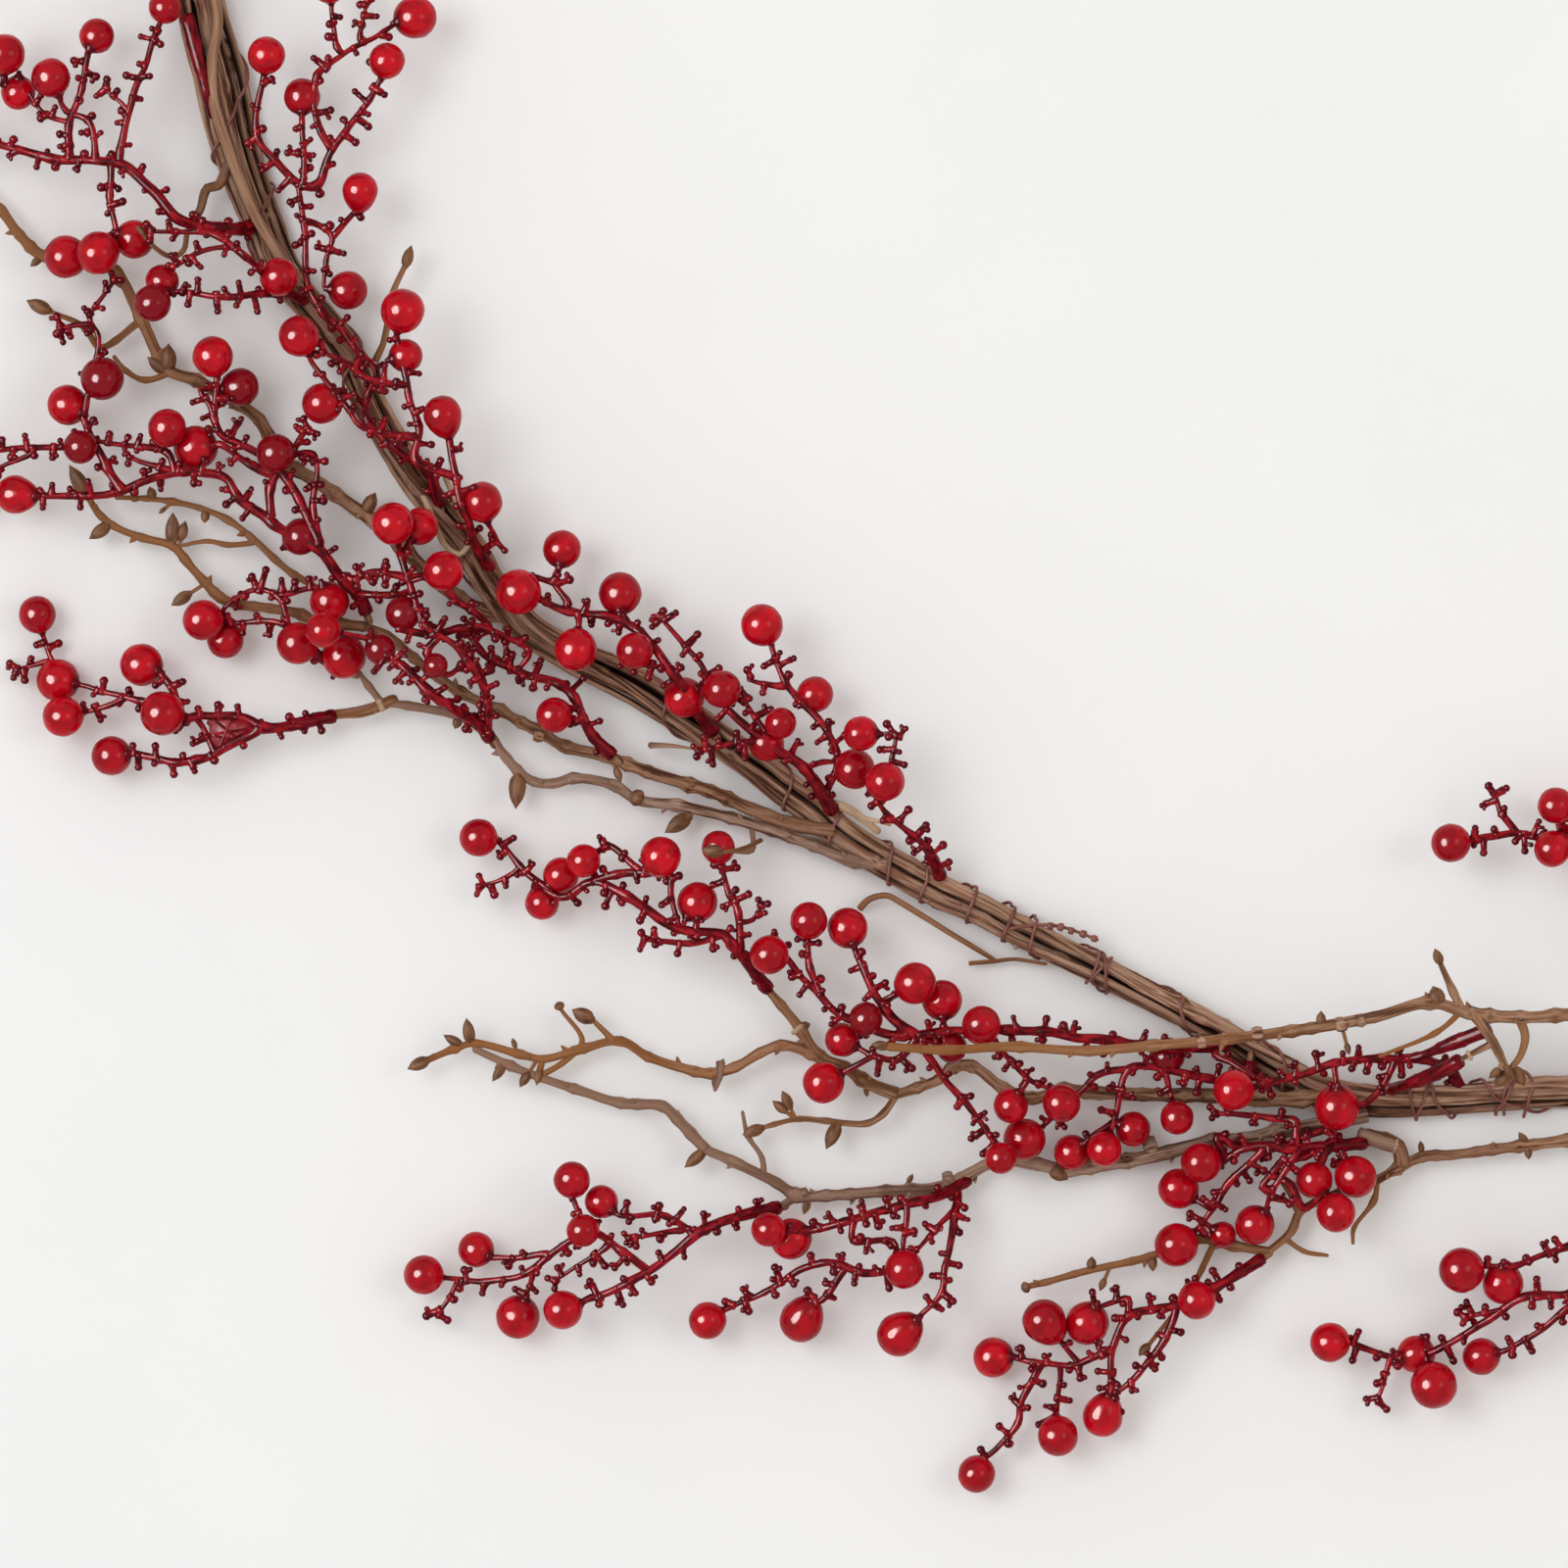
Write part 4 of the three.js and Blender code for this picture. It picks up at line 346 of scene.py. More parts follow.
SPRAYS["spray_g"] = Form([-114.9, 17.4, 8], level=15, tip=4.6, stems=[
    [1.3, -114.9, 17.4, -125.9, 15.1, -132.3, 14.1, -137, 16.7, -149.7, 17.2, -152.4, 16.7, -156.1, 24.7,
     -160, 29],
    [1.2, -134, 14.1, -143.9, 8.3, -149.7, 6.1, -155, 5.6, -166.1, 7.7],
    [0.8, -149.7, 16.7, -145, 8.3],
    [0.9, -156.5, 19.5, -163.5, 21.2, -173.5, 23.6, -182, 25.8],
    [0.8, -168.3, 21.6, -177.8, 18.6],
    [0.8, -182, 26, -187.3, 31.5, -189.4, 37.9],
    [0.7, -187.5, 31.5, -196, 29.4],
], nubs=[
    -144, 20.2, -139, 19.8, -152, 21, -155, 13.5, -150.5, 10.3, -150, 3.2, -155.5, 2.5, -164.5, 4.3,
    -160, 9.7, -153, 26, -174.5, 16.3, -173.5, 26.4, -118, 13.6, -122, 18, -128, 12, -192.5, 32, -194, 26.5,
    -167, 24, -185.5, 36,
], berries=[
    -190.7, 43.3, 4.8, -185.6, 26.5, 5.5, -183.9, 17.2, 5.2, -163.8, 30.4, 5.5, -158.2, 18, 5.7,
    -171.6, 7.2, 5.1,
])
SPRAYS["spray_h"] = Form([-75, 11.5, 9], level=25, tip=24, stems=[
    [1.3, -75, 11.5, -77.7, 15.1, -87.2, 21, -93.5, 26.8, -102.5, 33.1, -105.2, 36.8],
    [1.0, -76, 13.5, -76.1, 24.1, -83, 34.7, -90.4, 39.6, -94.6, 49.6, -97.2, 58],
    [0.9, -95.5, 52.5, -104, 53.8, -109.4, 51.7],
], nubs=[
    -108.5, 55, -98.5, 26, -104, 28.5, -73, 25.5, -79.5, 33, -86, 24.5, -91, 21.5, -81, 14, -96, 34,
    -86, 42, -101, 56.5, -91, 53, -101, 50.5,
], berries=[
    -116.8, 39, 4.5, -96.7, 43.3, 4.5, -99.1, 66, 5.4, -92.5, 65.5, 4.8, -86.3, 54, 5.1, -102.5, 34.2, 4,
    -88.3, 30, 3.2,
])
SPRAYS["spray_i"] = Form([-43.6, 7.2, 10], level=14, tip=15, stems=[
    [1.2, -43.6, 7.2, -48.6, 12, -51.2, 16.7, -53.3, 22, -57, 25, -67.1, 28.6, -77.7, 34.2, -80.3, 39],
    [0.8, -70.8, 30.5, -70.8, 36.8],
], nubs=[
    -47, 16, -54.5, 15.3, -51, 27, -62, 31.5, -64, 24.5, -70, 39.5, -77, 39, -74.5, 29, -81.5, 42,
], berries=[
    -58.5, 17.5, 4.6,
])
SPRAYS["spray_j"] = Form([-18, 13, 9], level=20, tip=18, stems=[
    [1.3, -18, 13, -22.5, 19, -27.8, 27.8, -36.8, 38.4, -45.9, 42.8, -54.4, 43.8, -61.8, 47],
    [0.9, -54.9, 45.9, -58.6, 51.7, -57, 56],
    [0.8, -27.8, 29, -34.7, 31.3, -40, 31.5],
    [0.8, -40, 41.5, -41.7, 46],
    [0.8, -22.5, 19, -19.9, 27.8, -25.2, 35.2, -31.5, 42.5],
], nubs=[
    -64, 53, -60, 48, -34.4, 27, -22, 38, -27.5, 43.5, -33.5, 40, -42, 38.5, -49, 40.5, -50, 46.5,
    -30.5, 25, -54.5, 52, -16.5, 29.5, -27, 20, -32, 36.5,
], berries=[
    -67.5, 48.8, 5.8, -56.5, 59.8, 4.9, -52.9, 34.1, 5.5, -41.7, 48.5, 5.5, -37.9, 33.8, 4.7,
    -25.4, 22, 5.2, -15.7, 24.1, 4.9,
])
SPRAYS["spray_k"] = Form([12.5, -7, 9], level=18, tip=18, stems=[
    [1.4, 12.5, -7, 5, 4, -6.1, 12, -14.1, 18.8],
    [1.0, 10, -4, 13.4, 8.8, 3.4, 22, 0.2, 25.7, -3.4, 36],
    [0.8, -0.3, 25, -5.6, 25.7, -9, 26.5],
    [0.8, -4, 11, -12.5, 10.4, -21.5, 8.3],
    [0.8, 5, 4, 10, 5.5, 15.5, 5],
    [0.8, -4, 12, -10.4, 21.5],
], nubs=[
    -9.3, 29, -11, 24.2, -20.5, 12, -18, 5, -12, 13, -10, 6.5, 3.5, 11, 8.5, 10.5, -5, 30, 2.5, 32,
    -13, 21.8, -3.5, 19, 15.5, 12.5, 7.5, 14.5, -17, 16.5, 11.5, 1.5,
], berries=[
    -5.6, 40.4, 5.4, 7.9, 22.8, 4.7, 18, 3.8, 5.2, -4.5, 10.4, 4.6, -0.8, 15.5, 4,
])
SPRAYS["spray_l"] = Form([40, -23.5, 9], level=28, tip=28, stems=[
    [0.9, 40, -23.5, 36.2, -16.1, 32.5, -12.9, 26.1, -7.6, 21.4, -2.5],
    [0.7, 25.5, -4, 27.2, 6.1, 28.3, 12.5],
], nubs=[
    31.5, -6.5, 36, -10.5, 33, -17.5, 40.5, -15.5, 42, -20, 26, 15.2, 30.8, 14, 24.3, 8.7, 30.5, 4.9,
], berries=[
    25.6, 0.6, 5, 19.5, 12.8, 4.5,
])
SPRAYS["spray_m"] = Form([-4.2, -52.4, 8], level=20, tip=9, stems=[
    [1.3, -4.2, -52.4, -10.4, -44.2, -13.5, -40.5, -15.1, -38.3, -24.7, -37.2, -32.1, -34, -40, -28.3,
     -49.1, -25.1, -56.5, -28.8, -60.7, -26.7],
    [1.0, -26.2, -36.2, -28.4, -28.8, -28.9, -23, -35.2, -22.4, -42.8, -23, -49.1, -25.1],
    [0.9, -36, -22.4, -44.9, -15.6],
    [0.9, -59, -27.5, -67.6, -20.9, -71.3, -16.1, -75, -14],
    [0.7, -67.6, -21.4, -71.3, -24, -77.5, -26],
    [0.9, -15.1, -38.3, -24.1, -40.4, -35.2, -39.4],
    [1.0, -11.4, -42, -11.4, -33, -13.5, -28.3, -16.2, -19.8],
    [0.7, -11.4, -35, -7.7, -34.5, -5.8, -30.8],
], nubs=[
    -69, -13.8, -45.5, -31, -41, -25.7, -52.5, -30.3, -36.5, -34.7, -31, -30.7, -36.5, -42, -33, -37,
    -27, -43, -18, -41.8, -12, -21.3, -18, -25.6, -15.5, -31.2, -9, -28, -77.8, -23.5, -74, -28.3,
    -40.5, -17.5, -35, -19.5, -64, -27.2, -7.5, -50.5, -64, -20.5, -22, -34, -49, -21.5, -47, -13.5,
], berries=[
    -77.9, -13.7, 4.9, -56.8, -23.2, 4.6, -51, -19.6, 4.3, -61.7, -30.3, 4.4, -31.3, -18.5, 5.2,
    -22, -30, 5.2, -16.7, -16.1, 4.3,
])
SPRAYS["spray_n"] = Form([113, -66, 9], level=21, tip=18, stems=[
    [1.4, 113, -66, 106.1, -67, 85, -65.5, 66, -63, 57, -62.5, 34, -64],
    [1.2, 34, -64, 26.1, -58, 20.3, -47.4, 17, -39],
    [1.1, 31, -64, 16.1, -59.6, 7.6, -52.2, -3, -41.1],
    [0.9, 9.7, -54, 6.6, -46.9, 6, -39],
    [1.0, 34, -64, 28.8, -70, 23, -69],
    [1.0, 35.1, -66, 39.4, -73.3, 47, -82, 54, -92],
    [0.8, 52, -63, 62, -75, 68.5, -78],
], nubs=[
    -2.5, -37.5, 8.7, -40.5, 3.5, -39.5, 25.8, -50.5, 20.5, -54.6, 28, -53.5, 36.5, -60.5, 23.8, -73.8,
    32.5, -72.2, 58.3, -59.3, 66.7, -59.7, 74, -60.7, 81, -68.5, 92, -63, 98, -69.5, 44, -82, 51, -83.5,
    47.5, -90, 63, -72.5, 56, -72.5, 12, -61, 4, -53.5, 1, -41, 17, -47.5, 46, -61, 41, -67.5, 50.5, -94,
], berries=[
    6.3, -34.7, 4.8, 16.2, -36.6, 5.2, -3.7, -43.4, 5, 14.8, -65.1, 4.4, 20.8, -59.6, 4.3, 10, -76, 5.3,
    33.3, -50.6, 5.4, 40.2, -55, 5.2, 50.1, -61.2, 5, 42.6, -67, 4, 70.4, -81, 4.9, 57.7, -81.8, 4.5,
    55, -95, 4,
])
SPRAYS["spray_o"] = Form([119, -71, 9], level=14, tip=12, stems=[
    [1.1, 119, -71, 117.5, -76, 108, -75, 97, -73, 88, -72.5, 84, -86],
    [0.9, 88, -72.5, 80, -74, 74, -80, 65, -88],
    [0.8, 97, -73, 98.5, -79],
    [0.8, 84, -86, 76, -92],
], nubs=[
    105, -78.5, 111, -72, 92, -69.5, 83, -77.5, 89, -80, 78, -74, 71.5, -87.5, 70, -79, 80.8, -83,
], berries=[
    61.2, -90.5, 5.4, 73.4, -94, 4.6, 81.5, -93, 4.5, 89, -88, 4.5, 100, -85, 4.3, 97.7, -69.2, 4.6,
])
SPRAYS["spray_p"] = Form([-1.4, -108.2, 8], level=18, tip=8, stems=[
    [1.3, -1.4, -108.2, -10.4, -109.8, -20, -113, -28.3, -119.6, -39.4, -126.8, -49, -131],
    [1.0, -34.6, -123.6, -41, -118.9, -49, -114.1, -60.1, -120.4, -64.9, -124.4, -76.1, -126.8, -87.2, -126],
    [0.8, -83.3, -127, -88, -134.8],
    [0.7, -45, -117.5, -58.2, -126.4],
    [0.9, -60.1, -120, -74, -120.9],
    [0.8, -64, -124, -65.7, -131],
    [0.9, -23, -114.5, -29.9, -110.1, -42, -109.7],
    [0.8, -26, -113.5, -39.4, -115.5],
    [0.8, -49, -114.1, -54, -105],
], nubs=[
    -31.8, -107.2, -25.5, -108, -20.5, -109.3, -37.8, -129.5, -43, -123, -41, -132.4, -49.4, -126.5,
    -76.9, -130, -40, -106.5, -45.5, -122.5, -86, -137, -91.3, -135.8, -37.5, -117.5, -12, -113,
    -68.5, -128.8, -55, -119.5, -81.5, -124, -7, -106.5,
], berries=[
    -53.9, -100.6, 4.7, -46.5, -106.3, 4.3, -51.1, -113.5, 4.2, -78.6, -118.8, 4.6, -91.9, -125.2, 5.1,
    -67.9, -136, 5.6, -56.3, -133.8, 5,
])
SPRAYS["spray_q"] = Form([47, -101, 7], level=17, tip=8, stems=[
    [1.2, 47, -101, 42, -104, 34, -106, 26.1, -108.3, 15.6, -111.4, 5, -114.1],
    [0.9, 17.7, -111, 17.7, -116.2, 27.7, -116.2],
    [0.9, 30.9, -107, 30.4, -118.3],
    [1.0, 44.2, -104.6, 43.7, -109.8, 41, -122.8, 39.9, -129.7, 33, -137],
    [0.8, 43.5, -108.8, 34, -118.3],
    [1.0, 30.6, -122, 20.3, -124.4, 9.7, -121.7, -5.1, -129.7, -16, -134.5],
    [0.9, 15.6, -123.3, 9.7, -131.3, 6, -134],
], nubs=[
    19.8, -106.2, 26, -105.5, 11.3, -109.3, 24, -112.5, 20.8, -119, 27.5, -113, -2.2, -123.3, 12.8, -131,
    17.9, -127, 6, -129, 26.7, -128.3, 36.3, -130.5, 46.8, -110.9, 39, -112.8, 44.5, -122.5, 37.7, -125.2,
    -9, -134.5, -10.5, -128.8, 36, -112, 15, -119.8, 43, -131.5, 2.5, -127.5,
], berries=[
    -4, -113.3, 4.4, 1.8, -116, 5.3, -19.5, -136.9, 4.8, 4.4, -136.9, 5.6, 30.6, -123.4, 5,
    29.2, -140.3, 5.6,
])
SPRAYS["spray_r"] = Form([173, -78.5, 7], level=20, tip=19, stems=[
    [1.2, 173, -78.5, 170, -73, 162.5, -70.1, 151.9, -69.6, 139.7, -71.2, 128.1, -74.4, 117, -77.5],
    [0.8, 139.7, -71.2, 140.7, -80],
], nubs=[
    135, -68.5, 130, -71, 146, -67, 124, -79, 148, -73, 156.5, -67.5, 157, -74,
], berries=[
    114.1, -77.8, 5.2, 140.7, -82.3, 5.8,
])
SPRAYS["spray_s"] = Form([148.2, -91.6, 9], level=17, tip=12, stems=[
    [1.3, 148.2, -91.6, 141.3, -92.2, 128, -92.7, 117.5, -92.9, 109, -97],
    [1.0, 122, -93, 113, -102, 106, -113],
    [1.0, 141.3, -92.2, 143.5, -98],
    [1.0, 139, -92.2, 135.5, -101, 139, -106],
    [0.9, 131, -93, 124, -104, 121, -111],
], nubs=[
    116, -89.5, 106.8, -105.5, 112.5, -108.5, 126, -96.5, 133, -89.5, 122, -98.5, 130.5, -98.5, 118.5, -101,
    125.5, -89.8, 103.5, -109.5, 111, -93.5, 127.5, -106,
], berries=[
    145.5, -100, 5.4, 135, -100.8, 4.7, 140.3, -109, 5, 120, -112.4, 5.1, 106.1, -96.3, 5.2,
    100.6, -103.2, 5.2, 99.9, -117.4, 5.6, 112, -115, 3.4,
])
SPRAYS["spray_t"] = Form([122.2, -121, 8], level=14, tip=7, stems=[
    [1.2, 122.2, -121, 116.7, -124.4, 109.3, -128.6, 100.3, -132.8, 87.6, -135.5, 83.9, -142.9, 83.1, -155],
    [0.9, 87.6, -135.5, 87.6, -131.5, 79.5, -133],
    [1.0, 83.6, -144, 73.9, -147.9, 63.3, -147.4, 56, -146.3],
    [1.0, 65.1, -148, 60.4, -158.2, 59.6, -163.5, 51, -172],
    [0.8, 70.4, -148.4, 69.6, -162],
    [1.0, 99.8, -133.4, 97.1, -140.8, 90.3, -150.3, 83.1, -156],
    [0.9, 75, -147.8, 68, -139],
], nubs=[
    60.4, -143.9, 75.5, -151.4, 58, -156.7, 65, -163.5, 66, -153, 66.7, -158.7, 72.9, -157.3, 78.6, -129.5,
    84.5, -128.3, 80, -149.5, 80.5, -154, 86, -160, 101, -139.5, 92.5, -145, 94.5, -149, 109.3, -124.1,
    104.8, -126, 55, -164, 111, -131.5, 93, -130.5, 87, -141.5, 79.5, -142,
], berries=[
    105, -131.4, 4.9, 77.3, -137.5, 5.6, 66.2, -136.8, 5.6, 53.5, -146.5, 5.2, 69.8, -166.2, 5.2,
    81.3, -161.4, 5.2, 49.1, -176.1, 4.8,
])
SPRAYS["spray_u"] = Form([230, -77.5, 10], level=18, tip=9, stems=[
    [1.3, 230, -77.5, 229, -91, 221, -106, 211, -120, 200, -129.4, 188.4, -130.7, 178.3, -137.1,
     167.2, -144, 156.7, -146.6],
    [1.0, 211, -120, 200, -117.5, 186.3, -122.8, 174, -123.3],
    [0.9, 204, -127, 198.5, -134.4, 183.1, -144.5],
    [0.8, 184, -133.4, 173.6, -136],
    [0.9, 158, -146.6, 146.6, -143.4, 141, -142],
    [0.8, 155, -146, 151.6, -157],
], nubs=[
    146.6, -139.7, 145, -147, 170.7, -147.1, 184.4, -141.2, 190.5, -144.4, 195, -133, 191.6, -126,
    196.3, -121, 192.9, -117, 205, -113.5, 174, -132, 148.6, -157, 153.8, -159.5, 214, -126, 219, -103.5,
    228, -104, 206, -133, 224.5, -95, 154, -150.5, 164, -141,
], berries=[
    172.3, -123.6, 5.8, 183.1, -127.2, 5.3, 139.2, -142.4, 5.1, 161.5, -145.6, 4.9, 165.5, -153.2, 6,
    177.8, -146, 4.8, 206, -139, 5.2, 213, -133, 5,
])
SPRAYS["spray_v"] = Form([256, -73, 9], level=18, tip=16, stems=[
    [1.3, 256, -73, 246, -58, 232, -43, 215, -27, 200, -17.7, 190, -12.9, 174.6, -14.2],
    [0.9, 187, -13.2, 182.6, -7.6, 181, -3],
    [0.9, 222, -33, 216, -18, 204, -8],
    [0.8, 232, -43, 234, -30, 228, -22],
], nubs=[
    179.3, -0.5, 183.8, -1, 177.7, -5.5, 176, -11.2, 178, -17.5, 192, -9.5, 207, -25.5, 211, -19,
    220.5, -38, 227, -33, 238, -54, 243.5, -49.5, 188.5, -17, 212, -11.5, 236.5, -34.5,
], berries=[
    169.5, -15, 5, 196.3, -5.5, 4.7, 195.3, -16.5, 4.7, 201.6, -9.7, 5, 226, -17, 5.2, 237, -24, 5,
])

# The same moulded sprays and a twig repeat along the vine: the form, its root x, y on the vine,
# the side that it grows on and its level
REPEATS = [
    ["spray_k", -153, 236, 1, 18], ["spray_h", -155, 278, -1, 23], ["spray_j", -151, 320, 1, 18],
    ["spray_k", -143, 371, -1, 18], ["spray_j", -136, 398, 1, 20], ["spray_h", 310, -64, 1, 23],
    ["spray_k", 345, -53, -1, 18], ["spray_j", 385, -37, 1, 27], ["spray_k", 432, -12, -1, 22],
    ["spray_h", 474, 20, 1, 18],
]
TWIG_REPEATS = [
    ["twig_long_lower", -148, 345, -1, 7], ["twig_long_lower", 345, -54, 1, 7],
    ["twig_long_lower", 474, 20, -1, 7],
]
# The way that each of these forms grows from its root, in degrees
FORM_ANGLE = {"spray_h": 148, "spray_j": 146, "spray_k": 146, "twig_long_lower": 150}


def spline(points, step):
    """Points about a step apart on a smooth curve through the given ones, and where those are among them.

    The curve is a centripetal Catmull-Rom spline.
    """
    made = []
    marks = []
    for k in range(len(points) - 1):
        p1, p2 = points[k], points[k + 1]
        p0 = points[k - 1] if k > 0 else p1 * 2 - p2
        p3 = points[k + 2] if k + 2 < len(points) else p2 * 2 - p1
        d0, d1, d2 = (max((b - a).length, 1e-4) ** 0.5 for a, b in ((p0, p1), (p1, p2), (p2, p3)))
        t1 = ((p1 - p0) / d0 - (p2 - p0) / (d0 + d1) + (p2 - p1) / d1) * d1
        t2 = ((p2 - p1) / d1 - (p3 - p1) / (d1 + d2) + (p3 - p2) / d2) * d1
        parts = max(1, round((p2 - p1).length / step))
        marks.append(len(made))
        for j in range(parts):
            t = j / parts
            bend = (p2 - p1) * 3 - t1 * 2 - t2
            made.append(p1 + t1 * t + bend * t**2 + ((p1 - p2) * 2 + t1 + t2) * t**3)
    made.append(points[-1])
    return made, marks


TONE_SHIFT = 90  # how far a tone moves a stem through the noise of its grain
ROUND_END = [(0.6, 0.8), (0.92, 0.4)]  # rings past a stem's end: how far on and how wide, by its last radius
END_POLE = 0.08  # how far past them the stem ends
RIDGES = [(1.0, 0.9, 0.13), (0.4, 2.4, 0.3)]  # of relief: strength, scale round a stem and scale along it
# where the painted shade on the side of a strand that faces a groove begins, and how soon it is full
GROOVE_SHADE_START, GROOVE_SHADE_DEPTH = 0.05, 0.6
WOBBLE_SCALE = 0.35


def ring(normal, side, radius, far, tone, sides):
    """The way out to each vertex of a ring, and the grain there."""
    for j in range(sides):
        turn = math.tau * j / sides
        out = normal * math.cos(turn) + side * math.sin(turn)
        yield out, Vector((math.cos(turn) * radius + tone * TONE_SHIFT, math.sin(turn) * radius, far))


class Piece:
    """One piece as it grows: its vertices, its faces and what its materials read at each vertex.

    grain is a place round and along a stem. look is a tone (for berries in shade a painted shade), a wear and
    a painted shade on the side of a strand that faces a groove.
    """

    def __init__(self, name):
        self.name = name
        self.verts = []
        self.faces = []
        self.finishes = []
        self.grain = []
        self.look = []

    def add_vert(self, place, grain, look):
        self.verts.append((place.x, place.y, max(place.z, 0)))
        self.grain.append(grain)
        self.look.append(look)

    def close(self, start, rings, sides, finish, tone, ends):
        """Joins rings of vertices that follow on start, and closes them with a pole vertex at each end.

        Each of the two ends is a place, how far along it lies and its wear.
        """
        poles = []
        for place, far, wear in ends:
            poles.append(len(self.verts))
            self.add_vert(place, Vector((tone * TONE_SHIFT, 0, far)), (tone, wear, 0))
        for i in range(rings - 1):
            for j in range(sides):
                a = start + i * sides + j
                b = start + i * sides + (j + 1) % sides
                self.faces.append((a, b, b + sides, a + sides))
        last = start + (rings - 1) * sides
        for j in range(sides):
            self.faces.append((start + (j + 1) % sides, start + j, poles[0]))
            self.faces.append((last + j, last + (j + 1) % sides, poles[1]))
        self.finishes += [finish] * (len(self.faces) - len(self.finishes))

    def tube(self, points, radii, finish, tone, sides=8, relief=0.0, wear=None, inward=None):
        """A stem through the points, with a round end.

        wear gives how old or young each point looks, and inward the way to the vine's middle: the side that
        faces it gets a painted shade, as of a shaded groove.
        """
        wear = wear or [0.0] * len(points)
        along = (points[-1] - points[-2]).normalized()
        tip = radii[-1]
        points = points + [points[-1] + along * tip * past for past, _ in ROUND_END]
        radii = radii + [tip * width for _, width in ROUND_END]
        wear = wear + wear[-1:] * len(ROUND_END)
        inward = inward and inward + inward[-1:] * len(ROUND_END)
        normal = Vector((0, 0, 1))
        travelled = 0
        start = len(self.verts)
        for i, point in enumerate(points):
            before, after = points[max(0, i - 1)], points[min(i + 1, len(points) - 1)]
            along = (after - before).normalized()
            normal = normal - along * normal.dot(along)
            if normal.length < 1e-3:
                normal = along.orthogonal()
            normal.normalize()
            travelled += (point - before).length
            for out, grain in ring(normal, along.cross(normal), radii[i], travelled, tone, sides):
                ridge = 0
                if relief:
                    ridge = sum(strength * noise.noise((grain.x * about, grain.y * about, travelled * onward))
                                for strength, about, onward in RIDGES)
                # Painted shade: the side of a strand that faces the vine's middle is darkened as if it lay in
                # the shaded groove between strands
                painted_groove_shade = smooth((out.dot(inward[i]) + GROOVE_SHADE_START) / GROOVE_SHADE_DEPTH) if inward else 0
                self.add_vert(point + out * radii[i] * (1 + relief * ridge), grain, (tone, wear[i], painted_groove_shade))
        ends = ((points[0], 0, wear[0]), (points[-1] + along * tip * END_POLE, travelled, wear[-1]))
        self.close(start, len(points), sides, finish, tone, ends)

    def lathe(self, base, axis, profile, finish, tone, sides=10, wear=lambda share: 0.0, wobble=0.0):
        """A turned form on an axis from base. profile lists (distance, radius), with its ends on the axis.

        wear tells how worn the form looks at each share of its length.
        """
        axis = axis.normalized()
        normal = axis.orthogonal().normalized()
        start = len(self.verts)
        low, high = profile[0][0], profile[-1][0]
        for distance, radius in profile[1:-1]:
            centre = base + axis * distance
            look = (tone, wear((distance - low) / (high - low)), 0)
            for out, grain in ring(normal, axis.cross(normal), radius, distance, tone, sides):
                swell = 1 + wobble * noise.noise(grain * WOBBLE_SCALE)
                self.add_vert(centre + out * radius * swell, grain, look)
        ends = [(base + axis * far, far, wear(share)) for far, share in ((low, 0), (high, 1))]
        self.close(start, len(profile) - 2, sides, finish, tone, ends)

    def finish(self, slot, *nodes):
        """Makes the Blender object, in metres, which stands for the nodes named."""
        mesh = bpy.data.meshes.new(self.name)
        mesh.from_pydata([(x * MM, y * MM, z * MM) for x, y, z in self.verts], [], self.faces)
        used = sorted(set(self.finishes))
        for name in used:
            mesh.materials.append(MATERIALS[name])
        mesh.polygons.foreach_set("material_index", [used.index(name) for name in self.finishes])
        mesh.polygons.foreach_set("use_smooth", [True] * len(self.faces))
        for name, values in (("grain", self.grain), ("look", self.look)):
            layer = mesh.attributes.new(name, "FLOAT_VECTOR", "POINT")
            layer.data.foreach_set("vector", np.array(values, np.float32).ravel())
        mesh.validate()
        obj = bpy.data.objects.new(self.name, mesh)
        bpy.context.scene.collection.objects.link(obj)
        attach(obj, "root")
        if nodes:
            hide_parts(*nodes)


def opaque(colour):
    return colour if isinstance(colour, bpy.types.NodeSocket) else (*colour, 1)


def shade(colour, share):
    return tuple(share * c for c in colour)


